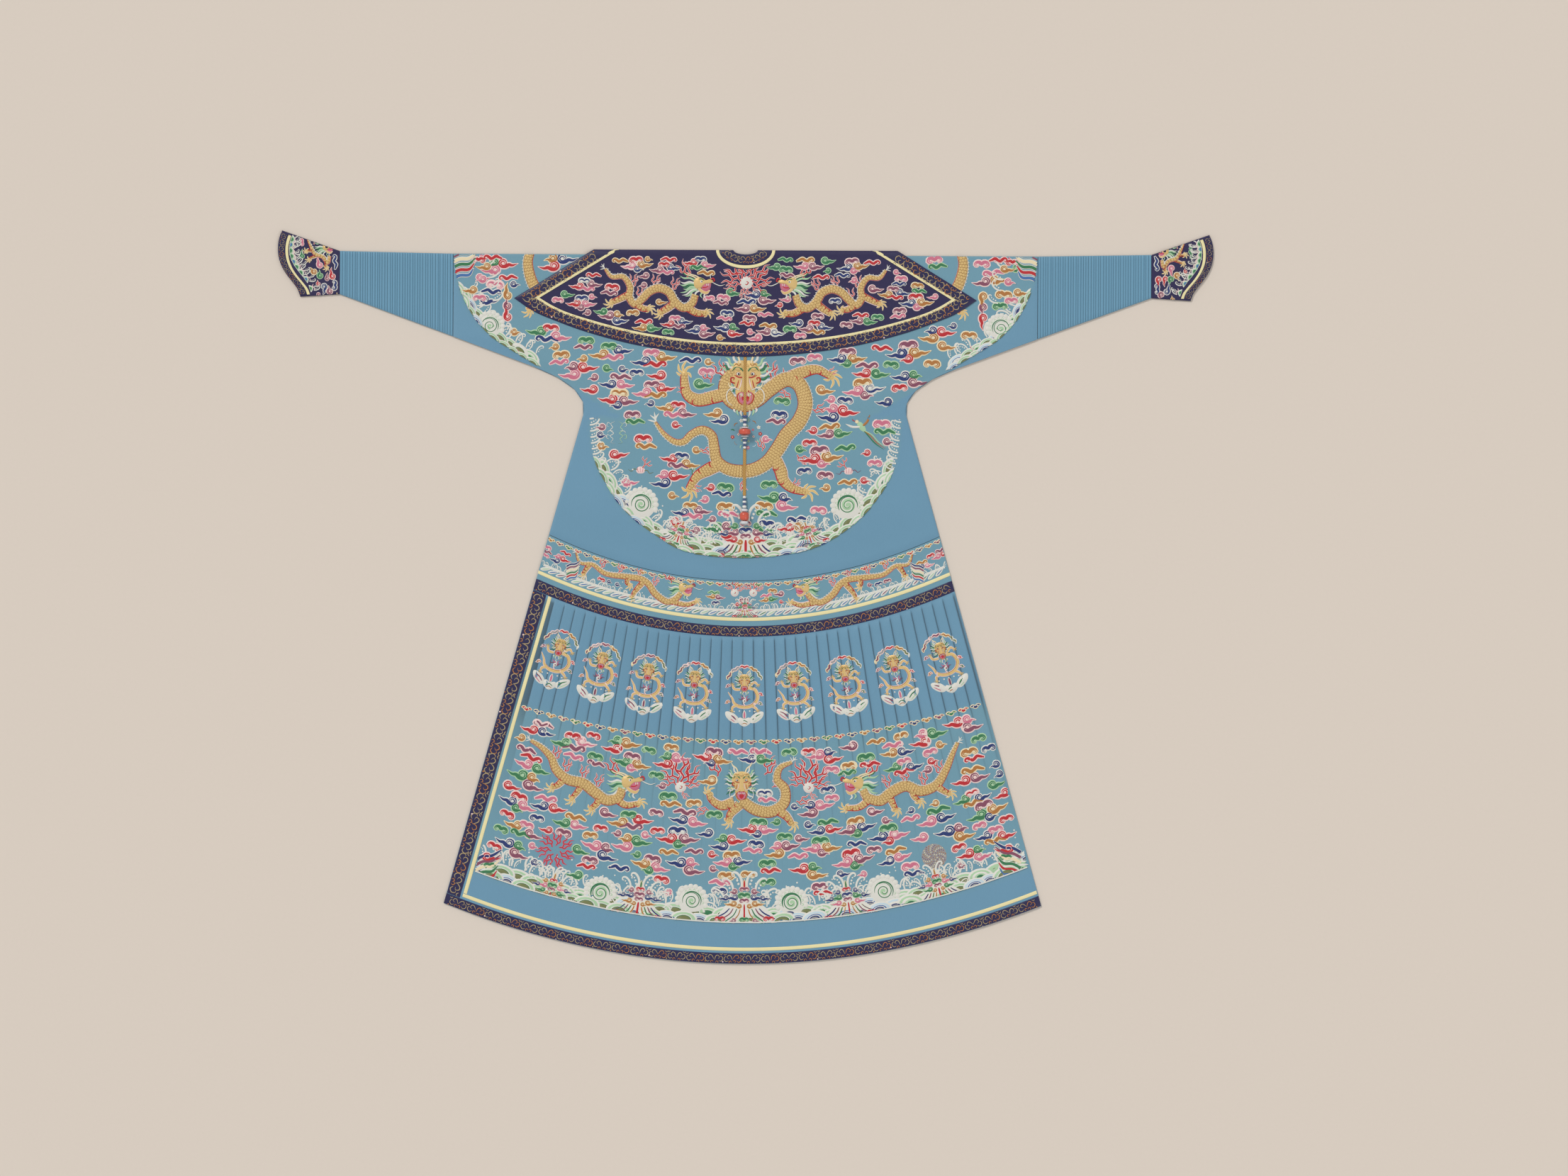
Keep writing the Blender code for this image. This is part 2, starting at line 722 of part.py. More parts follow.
def neck_arc(half, drop):
    """A half ellipse hanging from the collar's top edge."""
    turns = [math.pi * step / NECK_STEPS for step in range(NECK_STEPS + 1)]
    return [Point(-half * math.cos(turn), COLLAR_TOP + drop * math.sin(turn)) for turn in turns]


def neck_trim_base(depth):
    return COLLAR_TRIM_BASE


def build_neck(parts):
    inner = neck_arc(NECK_HALF + NECK_CLEARANCE, NECK_DROP + NECK_CLEARANCE)
    outer = neck_arc(NECKBAND_HALF, NECKBAND_DROP)
    strip("neckband", outer, inner, neck_trim_base, "navy_brocade", parts)
    near, far = GAP, GAP + NECK_PIPING_WIDTH
    inner = neck_arc(NECKBAND_HALF + near, NECKBAND_DROP + near)
    outer = neck_arc(NECKBAND_HALF + far, NECKBAND_DROP + far)
    strip("neck_piping", outer, inner, neck_trim_base, "pale_piping", parts)


def flap_piece(name, sides, top, parts):
    """A piece of the collar's front flap, from a depth down to the edge that tapers from its middle."""

    def flap(column, row):
        side = sides[column]
        end = COLLAR_TOP + (FLAP_END - COLLAR_TOP) * (1 - (abs(side) / FLAP_HALF) ** FLAP_POWER)
        return side, (top, end)[row], 0, FLAP_CLOTH

    return wall(name, len(sides), 2, flap, "navy_satin", parts)


def build_collar_front(parts):
    """The flap lies under the jacket's front: two wings, and a middle piece below the neck hole."""
    wing = [FLAP_SEAM + GAP, *FLAP_COLUMNS]
    return [
        flap_piece("collar_front_left", [-side for side in reversed(wing)], COLLAR_TOP, parts),
        flap_piece("collar_front_middle", [-FLAP_SEAM, 0, FLAP_SEAM], FLAP_MIDDLE_TOP, parts),
        flap_piece("collar_front_right", wing, COLLAR_TOP, parts),
    ]


def cut_neck_hole(cloths, cutters):
    bm = bmesh.new()
    bmesh.ops.create_cone(bm, cap_ends=True, segments=NECK_HOLE_FACETS, radius1=1, radius2=1, depth=1)
    for vert in bm.verts:
        height = UNDER_CLOTH * 2 if vert.co.z > 0 else -UNDER_CLOTH
        side, depth = vert.co.x * NECK_HOLE_SIDE, NECK_HOLE_DEPTH - vert.co.y * NECK_HOLE_LENGTH
        vert.co = place(side, depth, height)
    mesh = bpy.data.meshes.new("neck_hole_cutter")
    bm.to_mesh(mesh)
    bm.free()
    cutter = bpy.data.objects.new("neck_hole_cutter", mesh)
    cutters.objects.link(cutter)
    cutter.hide_render = True
    cutter.display_type = "WIRE"
    for cloth in cloths:
        cut = cloth.modifiers.new("neck_hole", "BOOLEAN")
        cut.operation = "DIFFERENCE"
        cut.solver = "EXACT"
        cut.object = cutter


# Neck cord and beads

def build_cord(stretch, parts):
    rows = jacket_rows(BACK_CURVE_STEPS, BACK_SIDE_STEPS)
    creases = [on_row(row, 0).depth for row in rows]
    depths = [stretch.start] + [d for d in creases if stretch.start < d < stretch.end] + [stretch.end]

    def skin(column, row):
        low = torso_face(depths[row]) + GAP
        return (column - 0.5) * CORD_WIDTH, depths[row], low, low + CORD_CLOTH

    wall(stretch.name, 2, len(depths), skin, "gold_braid", parts)


def build_bead(bead, parts):
    """A bead turned about the cord's line, resting on the jacket."""
    bm = bmesh.new()
    verts = []
    for point in BEAD_PROFILE:
        verts.append(bm.verts.new((0, point.along * bead.half * MM, point.out * bead.radius * MM)))
    for start, end in zip(verts, verts[1:]):
        bm.edges.new((start, end))
    bmesh.ops.spin(bm, geom=bm.verts[:] + bm.edges[:], cent=(0, 0, 0), axis=(0, 1, 0),
                   angle=2 * math.pi, steps=BEAD_SIDES)
    half_side = Matrix.Rotation(math.pi / BEAD_SIDES, 3, "Y")
    bmesh.ops.rotate(bm, verts=bm.verts[:], cent=(0, 0, 0), matrix=half_side)
    obj = finish_object(bead.name, bm, bead.material, parts)
    obj.location = place(0, bead.depth, torso_face(bead.depth) + GAP + bead.radius)


def main():
    clear_scene()
    parts = new_collection("court_robe")
    cutters = new_collection("cutters")
    jacket_front = build_jacket(parts)
    build_waistband(parts)
    build_skirt(parts)
    build_arm("left", -1, parts)
    build_arm("right", 1, parts)
    build_skirt_trim(parts)
    build_collar(parts)
    build_neck(parts)
    flaps = build_collar_front(parts)
    cut_neck_hole([jacket_front, *flaps], cutters)
    for stretch in CORD_STRETCHES:
        build_cord(stretch, parts)
    for bead in BEADS:
        build_bead(bead, parts)


main()
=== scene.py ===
"""Looks of the court robe: silk panels, trims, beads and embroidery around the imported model.

Sizes are in millimetres on the laid-out garment, as in the part's source: side runs right from the centre
line, depth runs down from the shoulder line, and height runs up from the surface that the robe lies on.
"""

import json
import math
import random
from collections import namedtuple

import bmesh
import bpy
import numpy as np
from mathutils import Vector
from mathutils.bvhtree import BVHTree
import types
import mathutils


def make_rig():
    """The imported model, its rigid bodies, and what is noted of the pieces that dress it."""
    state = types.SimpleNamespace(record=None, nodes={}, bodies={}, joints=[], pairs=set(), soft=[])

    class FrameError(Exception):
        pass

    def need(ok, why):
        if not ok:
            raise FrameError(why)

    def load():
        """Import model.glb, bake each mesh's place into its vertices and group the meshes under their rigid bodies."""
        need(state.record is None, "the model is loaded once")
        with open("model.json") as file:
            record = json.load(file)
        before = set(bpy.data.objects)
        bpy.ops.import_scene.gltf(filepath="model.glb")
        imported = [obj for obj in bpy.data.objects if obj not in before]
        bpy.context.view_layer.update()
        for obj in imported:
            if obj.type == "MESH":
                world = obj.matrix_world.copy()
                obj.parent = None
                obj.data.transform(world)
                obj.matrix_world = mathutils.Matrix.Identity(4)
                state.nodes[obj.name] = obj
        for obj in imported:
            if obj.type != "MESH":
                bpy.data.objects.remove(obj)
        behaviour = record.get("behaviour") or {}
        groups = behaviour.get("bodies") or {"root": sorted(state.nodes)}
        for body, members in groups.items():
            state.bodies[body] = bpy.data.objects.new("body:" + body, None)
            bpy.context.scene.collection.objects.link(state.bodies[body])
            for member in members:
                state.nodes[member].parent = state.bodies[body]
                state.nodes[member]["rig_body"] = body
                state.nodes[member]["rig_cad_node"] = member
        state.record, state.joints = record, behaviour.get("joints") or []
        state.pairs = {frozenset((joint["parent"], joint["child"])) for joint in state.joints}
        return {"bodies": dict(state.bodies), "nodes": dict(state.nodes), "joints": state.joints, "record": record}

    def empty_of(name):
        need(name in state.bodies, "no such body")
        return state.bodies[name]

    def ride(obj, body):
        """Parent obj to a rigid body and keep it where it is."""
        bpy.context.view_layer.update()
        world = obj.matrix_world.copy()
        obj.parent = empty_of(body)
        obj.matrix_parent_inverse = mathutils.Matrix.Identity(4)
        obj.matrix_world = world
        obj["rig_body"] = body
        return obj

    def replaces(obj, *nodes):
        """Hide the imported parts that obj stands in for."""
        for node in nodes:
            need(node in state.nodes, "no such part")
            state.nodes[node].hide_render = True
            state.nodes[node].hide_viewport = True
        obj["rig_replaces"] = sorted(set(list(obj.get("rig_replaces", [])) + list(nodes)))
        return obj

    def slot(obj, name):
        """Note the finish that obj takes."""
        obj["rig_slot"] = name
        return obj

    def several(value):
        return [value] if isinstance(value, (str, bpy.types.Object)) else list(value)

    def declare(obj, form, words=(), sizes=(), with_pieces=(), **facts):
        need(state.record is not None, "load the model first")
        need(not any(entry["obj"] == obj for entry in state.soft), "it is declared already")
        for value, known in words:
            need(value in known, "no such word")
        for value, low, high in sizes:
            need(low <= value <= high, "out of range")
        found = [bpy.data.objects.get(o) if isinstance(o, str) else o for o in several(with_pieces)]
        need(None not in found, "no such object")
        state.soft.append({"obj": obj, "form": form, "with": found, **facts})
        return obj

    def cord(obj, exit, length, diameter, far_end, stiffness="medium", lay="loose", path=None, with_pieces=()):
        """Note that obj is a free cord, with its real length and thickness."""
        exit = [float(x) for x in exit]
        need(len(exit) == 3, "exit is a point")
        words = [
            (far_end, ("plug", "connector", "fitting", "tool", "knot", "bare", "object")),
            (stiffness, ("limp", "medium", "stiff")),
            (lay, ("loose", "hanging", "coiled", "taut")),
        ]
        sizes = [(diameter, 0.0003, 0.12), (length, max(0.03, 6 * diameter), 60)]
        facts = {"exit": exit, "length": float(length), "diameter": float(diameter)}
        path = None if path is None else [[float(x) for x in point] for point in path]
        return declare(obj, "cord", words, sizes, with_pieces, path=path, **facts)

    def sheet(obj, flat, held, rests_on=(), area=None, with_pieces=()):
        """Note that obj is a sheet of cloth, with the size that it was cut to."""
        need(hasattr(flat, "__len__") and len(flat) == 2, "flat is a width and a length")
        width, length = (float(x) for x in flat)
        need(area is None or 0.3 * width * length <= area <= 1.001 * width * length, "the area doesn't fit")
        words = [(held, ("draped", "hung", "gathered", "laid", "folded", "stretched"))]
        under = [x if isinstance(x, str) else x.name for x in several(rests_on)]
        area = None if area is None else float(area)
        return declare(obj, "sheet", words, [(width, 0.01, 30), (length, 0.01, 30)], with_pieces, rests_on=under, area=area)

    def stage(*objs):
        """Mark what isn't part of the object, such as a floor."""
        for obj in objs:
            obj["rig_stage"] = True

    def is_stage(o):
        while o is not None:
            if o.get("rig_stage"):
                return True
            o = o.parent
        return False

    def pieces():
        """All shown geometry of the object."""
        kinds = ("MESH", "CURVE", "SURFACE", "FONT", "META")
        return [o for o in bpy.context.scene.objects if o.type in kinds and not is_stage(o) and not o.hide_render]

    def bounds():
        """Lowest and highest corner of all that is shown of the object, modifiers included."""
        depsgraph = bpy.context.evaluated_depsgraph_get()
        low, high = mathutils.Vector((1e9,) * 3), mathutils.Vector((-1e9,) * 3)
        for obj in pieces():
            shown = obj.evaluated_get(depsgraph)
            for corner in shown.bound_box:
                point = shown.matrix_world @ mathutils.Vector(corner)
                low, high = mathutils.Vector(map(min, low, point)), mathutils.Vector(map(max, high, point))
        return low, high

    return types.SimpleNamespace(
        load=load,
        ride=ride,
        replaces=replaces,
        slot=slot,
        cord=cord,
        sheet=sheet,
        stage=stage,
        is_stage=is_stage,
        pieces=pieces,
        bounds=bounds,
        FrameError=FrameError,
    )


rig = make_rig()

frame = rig.load()
CAD_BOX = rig.bounds()

MM = 0.001
Point = namedtuple("Point", "side depth")

# Overall sizes and layers, as in the part's source
CUFF_TIP_RISE = 46
HEM_DEPTH = 1455
CENTRE_DEPTH = (HEM_DEPTH - CUFF_TIP_RISE) / 2
GAP = 0.3
UNDER_CLOTH = 2.3
OVER_BASE = 2.6
OVER_FACE = 4.6
COLLAR_BASE = 4.9
COLLAR_FACE = 6.5
FLAP_CLOTH = 1.0

# Body outline
SLEEVE_SEAM_SIDE = 600
SLEEVE_SEAM_DROP = 170
SLEEVE_SLOPE = 0.37
UNDERARM_SIDE = 332
UNDERARM_DEPTH = 330
FLARE = 0.2803
CURVE_START_SIDE = 435
JACKET_END = 576
WAIST_SEAM = 677
HEM_SIDE_DEPTH = 1333.3
SAG_DEPTHS = [0, 200, 380, JACKET_END, WAIST_SEAM, 917, 1253, HEM_SIDE_DEPTH]
SAG_DROPS = [0, 0, 42, 93, 96, 83, 119, HEM_DEPTH - HEM_SIDE_DEPTH]

# Loft of the torso, and the soft unevenness of laid silk
TORSO_LOFT = 3.4
LOFT_MARGIN = 90
LOFT_FROM_COLLAR = 42
LOFT_FROM_WAIST = 12
RIPPLE = 0.35

# Pleats of the skirt
PLEATS = 38
PLEAT_RISE = 2.4
PLEAT_FREE_LEFT = 44
PLEAT_FREE_RIGHT = 5
PLEAT_PRESS_DEPTHS = [690, 699, 900, 940, 1180]
PLEAT_PRESS_SHARES = [0, 1, 1, 0.35, 0]

# Sleeves and cuffs
RIBS = 45
RIB_RISE = 1.1
SLEEVE_FACE = 4.4
CUFF_SEAM_SIDE = 833
CUFF_SEAM_TOP = -4.4
CUFF_SEAM_BOTTOM = 84.7
SLEEVE_CLOTH = 1.7
CUFF_EDGE = [
    Point(952, -CUFF_TIP_RISE),
    Point(958, -28),
    Point(960, -9),
    Point(958, 11),
    Point(951, 30),
    Point(941, 46),
    Point(929, 61),
    Point(919, 75),
    Point(914, 90),
]

# Edging and piping
HEM_BAND = 21
WAIST_BAND = 22
SIDE_BAND = 27
PIPING = 7
SIDE_PIPING_GAP = 4
HEM_PIPING_CENTRE = 29
WAIST_PIPING_RISE = 28
CUFF_BAND = 15
CUFF_PIPING = 6

# Collar
COLLAR_TOP = -10
WING_TOP = Point(311, COLLAR_TOP)
WING_TIP = Point(474, 91)
COLLAR_LOWER_EDGE = [
    WING_TIP,
    Point(437, 116),
    Point(396, 134),
    Point(323, 160),
    Point(230, 184),
    Point(137, 199),
    Point(65, 206),
    Point(0, 208.6),
]
PIPING_TOP = Point(265, COLLAR_TOP)
PIPING_TIP = Point(428, 90)
COLLAR_LOWER_PIPING = [
    PIPING_TIP,
    Point(396, 109),
    Point(358, 125),
    Point(283, 147),
    Point(207, 164),
    Point(124, 176),
    Point(60, 181),
    Point(0, 183),
]
NECK_HALF = 25
NECK_DROP = 9
NECKBAND_HALF = 54
NECKBAND_DROP = 31
NECK_PIPING = 6.5

# Neck cord and beads
CORD_WIDTH = 6.5
CORD_CLOTH = 1.5
CordStretch = namedtuple("CordStretch", "name start end")
CORD_STRETCHES = [CordStretch("neck_cord_upper", 209.5, 328.7), CordStretch("neck_cord_lower", 398.5, 493.9)]
Bead = namedtuple("Bead", "name kind radius half depth")
BEADS = [
    Bead("glass_cup_1", "cup", 7.2, 2.8, 331.9),
    Bead("pearl_1", "pearl", 4.3, 3.3, 338.4),
    Bead("glass_disc_1", "disc", 4.0, 1.5, 343.6),
    Bead("pearl_2", "pearl", 4.0, 3.3, 348.8),
    Bead("petal_cap_1", "cap", 8.0, 2.1, 354.6),
    Bead("coral_1", "coral", 12.6, 6.2, 363.3),
    Bead("petal_cap_2", "cap", 8.0, 2.0, 371.9),
    Bead("pearl_3", "pearl", 4.8, 2.2, 376.5),
    Bead("glass_disc_2", "disc", 5.5, 1.4, 380.5),
    Bead("pearl_4", "pearl", 3.8, 3.1, 385.4),
    Bead("glass_disc_3", "disc", 4.0, 1.5, 390.4),
    Bead("pearl_5", "pearl", 3.4, 2.9, 395.2),
    Bead("pearl_6", "pearl", 3.6, 2.9, 497.2),
    Bead("glass_disc_4", "disc", 4.0, 1.5, 502.0),
    Bead("pearl_7", "pearl", 4.2, 2.8, 506.7),
    Bead("glass_disc_5", "disc", 4.2, 1.5, 511.4),
    Bead("pearl_8", "pearl", 4.6, 3.4, 516.7),
    Bead("petal_cap_3", "cap", 7.0, 3.3, 523.9),
    Bead("coral_2", "coral", 9.7, 8.6, 536.4),
    Bead("petal_cap_4", "cap", 8.4, 3.8, 549.4),
]

# Colours, as eight-bit sRGB values
Colour = namedtuple("Colour", "red green blue")
PLAIN_BLUE = Colour(101, 147, 175)
GROUND_BLUE = Colour(106, 151, 168)
RIB_BLUE = Colour(101, 151, 180)
NAVY = Colour(30, 22, 72)
BROCADE = Colour(27, 24, 72)
PIPING_CREAM = Colour(236, 222, 168)
BRAID_GOLD = Colour(205, 158, 82)
FLOOR_CREAM = Colour(220, 209, 198)

# Camera: the photo's frame at the robe's scale, its centre on the garment, and its slight turn
FRAME_PIXELS = 2212
PIXEL_SIZE = 1.4556
LENS = 100
SENSOR = 36
VIEW_SIDE = 82.1
VIEW_DEPTH = 683.0
VIEW_TURN = 0.005


# Curves and tables

def smooth(share):
    share = np.clip(share, 0, 1)
    return share * share * (3 - 2 * share)


def curve(points, step):
    """Points about a step apart on a smooth line through the given ones."""
    points = np.array(points, float)
    padded = np.vstack([2 * points[0] - points[1], points, 2 * points[-1] - points[-2]])
    pieces = []
    for before, start, end, after in zip(padded, padded[1:], padded[2:], padded[3:]):
        count = max(int(np.linalg.norm(end - start) / step + 0.5), 1)
        t = (np.arange(count) / count)[:, None]
        pieces.append(0.5 * (2 * start + (end - before) * t + (2 * before - 5 * start + 4 * end - after) * t**2
                             + (3 * start - before - 3 * end + after) * t**3))
    return np.vstack([*pieces, points[-1:]])


def normals(line):
    """Unit normals of a line of points, to its left where side runs right and depth runs down."""
    run = np.gradient(line, axis=0)
    run /= np.maximum(np.linalg.norm(run, axis=1, keepdims=True), 1e-9)
    return np.stack([run[:, 1], -run[:, 0]], axis=1)


def beside(line, offset):
    """A line moved sideways, with mitred corners."""
    run = np.diff(line, axis=0)
    run /= np.linalg.norm(run, axis=1, keepdims=True)
    flat = np.stack([run[:, 1], -run[:, 0]], axis=1)
    before = np.vstack([flat[:1], flat])
    after = np.vstack([flat, flat[-1:]])
    both = before + after
    return line + offset * 2 * both / np.sum(both * both, axis=1, keepdims=True)


def place(side, depth, height):
    """Garment millimetres to the shared frame in metres."""
    side, depth, height = np.broadcast_arrays(side, depth, height)
    return np.stack([side, CENTRE_DEPTH - depth, height], axis=-1) * MM


# Rows of the body

def body_half(depth):
    return UNDERARM_SIDE + FLARE * (depth - UNDERARM_DEPTH)


def sag(depth):
    return np.interp(depth, SAG_DEPTHS, SAG_DROPS)


def on_rows(halves, depths, across):
    """Sides and depths of a grid with a row for each half width and side depth."""
    halves, depths = np.array(halves)[:, None], np.array(depths)[:, None]
    across = np.array(across)[None, :]
    return halves * across, depths + sag(depths) * (1 - across * across)


def row_depth(side, depth):
    """The depth on the garment's side edge of the row through a place on the skirt, by repeated guesses."""
    row = np.array(depth, float)
    for _ in range(4):
        row = depth - sag(row) * (1 - (side / body_half(row)) ** 2)
    return row


def jacket_rows(spacing):
    """Half widths and side depths: shoulder, lower sleeve edge, underarm curve and side."""
    end_half = SLEEVE_SEAM_SIDE - GAP
    depths = [0, 0.4, 1.0, 1.8, 2.8, 4.5, *np.arange(spacing, SLEEVE_SEAM_DROP, spacing)]
    halves = [end_half] * len(depths)
    for half in np.arange(end_half, CURVE_START_SIDE, -spacing):
        halves.append(half)
        depths.append(SLEEVE_SEAM_DROP + SLEEVE_SLOPE * (SLEEVE_SEAM_SIDE - half))
    fall = SLEEVE_SEAM_DROP + SLEEVE_SLOPE * SLEEVE_SEAM_SIDE
    corner_half = (UNDERARM_SIDE + FLARE * (fall - UNDERARM_DEPTH)) / (1 + FLARE * SLEEVE_SLOPE)
    ends = [
        (CURVE_START_SIDE, fall - SLEEVE_SLOPE * CURVE_START_SIDE),
        (corner_half, fall - SLEEVE_SLOPE * corner_half),
        (UNDERARM_SIDE, UNDERARM_DEPTH),
    ]
    for t in np.linspace(0, 1, 13):
        weights = ((1 - t) ** 2, 2 * t * (1 - t), t * t)
        halves.append(sum(weight * end[0] for weight, end in zip(weights, ends)))
        depths.append(sum(weight * end[1] for weight, end in zip(weights, ends)))
    last = JACKET_END - GAP
    for depth in [*np.arange(UNDERARM_DEPTH + spacing, last - spacing / 2, spacing), last - 1.2, last - 0.4, last]:
        halves.append(body_half(depth))
        depths.append(depth)
    return halves, depths


def edged(across, half):
    """Across values with two more near each end, for a rounded edge."""
    near, far = 1 - 0.4 / half, 1 - 1.3 / half
    inner = [value for value in across if abs(value) < far]
    return np.array([-1, -near, -far, *inner, far, near, 1])


# Heights of the layers

COLLAR_EDGE_TABLE = curve(COLLAR_LOWER_EDGE, 4)[::-1]


def collar_end(side):
    """Depth of the collar's lower edge at a side."""
    return np.interp(np.abs(side), COLLAR_EDGE_TABLE[:, 0], COLLAR_EDGE_TABLE[:, 1])


def collar_top(side):
    """Depth of the collar's upper edge: shoulder fold, neck scoop and wing slope."""
    side = np.abs(side)
    scoop = NECK_DROP * np.sqrt(np.maximum(1 - (side / NECK_HALF) ** 2, 0))
    slope = np.interp(side, [WING_TOP.side, WING_TIP.side], [COLLAR_TOP, WING_TIP.depth])
    return np.maximum(COLLAR_TOP + scoop, slope)


def under_collar(side, depth, margin):
    """Whether a place is covered by the collar and more than a margin inside its outline."""
    inside = (depth > collar_top(side) + margin) & (depth < collar_end(side) - margin)
    return inside & (np.abs(side) < WING_TIP.side)


def torso_loft(half, side, depth):
    """How far the jacket's upper layer parts from the lower one, between collar, sides and waist."""
    waist = JACKET_END + sag(JACKET_END) * (1 - (side / body_half(JACKET_END)) ** 2)
    from_side = smooth((half - np.abs(side)) / LOFT_MARGIN)
    from_collar = smooth((depth - collar_end(side) - LOFT_FROM_COLLAR) / LOFT_MARGIN)
    from_waist = smooth((waist - LOFT_FROM_WAIST - depth) / LOFT_MARGIN)
    return TORSO_LOFT * from_side * from_collar * from_waist


def ripple(side, depth):
    """Soft unevenness of silk that lies loose, up to about one unit high."""
    slow = np.sin(side / 47 + 1.3 * np.sin(depth / 83)) * np.sin(depth / 61 + 0.9 * np.sin(side / 59))
    quick = np.sin(side / 19 - depth / 34 + 2 * np.sin(depth / 71)) * np.sin(depth / 41 + side / 97)
    return 0.7 * slow + 0.3 * quick


def edge_drop(inset, radius):
    """How far a rounded edge falls at an inset from it."""
    share = np.clip(1 - inset / radius, 0, 1)
    return radius * (1 - np.sqrt(1 - share * share))


def collar_roll(depth):
    """How far the collar falls where it folds over the shoulder line."""
    share = np.clip(depth / COLLAR_TOP, 0, 1)
    return (COLLAR_BASE - FLAP_CLOTH - GAP) * (1 - np.sqrt(1 - share * share))


# Meshes

def make_object(name, points, faces, materials, face_materials=None, sharp=40):
    mesh = bpy.data.meshes.new(name)
    mesh.from_pydata(np.asarray(points, float).reshape(-1, 3).tolist(), [], np.asarray(faces).tolist())
    for material in materials:
        mesh.materials.append(material)
    if face_materials is not None:
        mesh.polygons.foreach_set("material_index", np.asarray(face_materials, np.int32))
    mesh.shade_smooth()
    mesh.set_sharp_from_angle(angle=math.radians(sharp))
    made = bpy.data.objects.new(name, mesh)
    bpy.context.scene.collection.objects.link(made)
    return made


def grid_faces(rows, columns, wrap=False):
    index = np.arange(rows * columns).reshape(rows, columns)
    if wrap:
        index = np.hstack([index, index[:, :1]])
    corners = [index[1:, :-1], index[1:, 1:], index[:-1, 1:], index[:-1, :-1]]
    return np.stack(corners, axis=-1).reshape(-1, 4)


def shell_faces(rows, columns):
    """Faces of a closed sheet: an upper grid, a lower grid and the rim between them."""
    upper = grid_faces(rows, columns)
    count = rows * columns
    index = np.arange(count).reshape(rows, columns)
    loop = np.concatenate([index[0, :-1], index[:-1, -1], index[-1, :0:-1], index[:0:-1, 0]])
    after = np.roll(loop, -1)
    rim = np.stack([loop, after, after + count, loop + count], axis=-1)
    return np.vstack([upper, upper[:, ::-1] + count, rim])


def shell(name, side, depth, low, high, materials, **attributes):
    """A closed sheet of cloth from equal grids of sides, depths, and lower and upper heights."""
    rows, columns = np.shape(side)
    points = np.concatenate([place(side, depth, high).reshape(-1, 3), place(side, depth, low).reshape(-1, 3)])
    made = make_object(name, points, shell_faces(rows, columns), materials)
    for attribute, values in attributes.items():
        values = np.broadcast_to(values, (rows, columns)).ravel()
        layer = made.data.attributes.new(attribute, "FLOAT", "POINT")
        layer.data.foreach_set("value", np.concatenate([values, values]).astype(np.float32))
    clean(made)
    return made


def clean(made):
    """Joins points that coincide and turns every face outwards."""
    bm = bmesh.new()
    bm.from_mesh(made.data)
    bmesh.ops.remove_doubles(bm, verts=bm.verts[:], dist=1e-6)
    bmesh.ops.recalc_face_normals(bm, faces=bm.faces[:])
    bm.to_mesh(made.data)
    bm.free()


# Materials

def linear(colour):
    """An sRGB colour as linear red, green, blue and alpha."""
    values = [channel / 255 for channel in colour]
    return (*[value / 12.92 if value <= 0.04045 else ((value + 0.055) / 1.055) ** 2.4 for value in values], 1)


class Nodes:
    """A material's node tree, with short calls to add nodes and to link them."""

    def __init__(self, name):
        self.material = bpy.data.materials.new(name)
        self.material.use_nodes = True
        self.tree = self.material.node_tree
        self.shader = self.tree.nodes["Principled BSDF"]

    def add(self, kind, settings=None, **inputs):
        node = self.tree.nodes.new("ShaderNode" + kind)
        for key, value in (settings or {}).items():
            setattr(node, key, value)
        for key, value in inputs.items():
            socket = node.inputs[int(key[1:])] if key[0] == "i" and key[1:].isdigit() else node.inputs[key]
            self.put(socket, value)
        return node

    def put(self, socket, value):
        if isinstance(value, bpy.types.NodeSocket):
            self.tree.links.new(value, socket)
        else:
            socket.default_value = value

    def math(self, operation, first, second=0.0):
        return self.add("Math", {"operation": operation}, i0=first, i1=second).outputs[0]

    def mix(self, share, first, second):
        node = self.add("Mix", {"data_type": "RGBA"}, i0=share, i6=first, i7=second)
        return node.outputs[2]

    def attribute(self, name):
        return self.add("Attribute", {"attribute_name": name}).outputs["Fac"]

    def place_scaled(self, x, y, z):
        coordinates = self.add("TexCoord").outputs["Object"]
        return self.add("Mapping", Vector=coordinates, Scale=(x, y, z)).outputs[0]

    def noise(self, scale, detail=2.0, stretch=(1, 1, 1)):
        return self.add("TexNoise", Vector=self.place_scaled(*stretch), Scale=scale, Detail=detail).outputs["Fac"]

    def finish(self, colour, rough, bump=None, strength=0.3, distance=0.0002, **sockets):
        self.put(self.shader.inputs["Base Color"], colour)
        self.put(self.shader.inputs["Roughness"], rough)
        if bump is not None:
            node = self.add("Bump", Strength=strength, Distance=distance, Height=bump)
            self.tree.links.new(node.outputs[0], self.shader.inputs["Normal"])
        for key, value in sockets.items():
            self.shader.inputs[key.replace("_", " ")].default_value = value
        return self.material


def scaled(colour, share):
    return Colour(*[min(channel * share, 255) for channel in colour])


def weave(nodes, pitch):
    """Height of a plain weave: fine threads both ways, with a little unevenness."""
    place_node = nodes.place_scaled(1, 1, 1)
    warp = nodes.add("TexWave", {"bands_direction": "X"}, Vector=place_node, Scale=math.pi / (10 * pitch * MM),
                     Distortion=0.6, Detail=1.0)
    weft = nodes.add("TexWave", {"bands_direction": "Y"}, Vector=place_node, Scale=math.pi / (10 * pitch * MM),
                     Distortion=0.6, Detail=1.0)
    return nodes.math("ADD", warp.outputs["Fac"], weft.outputs["Fac"])


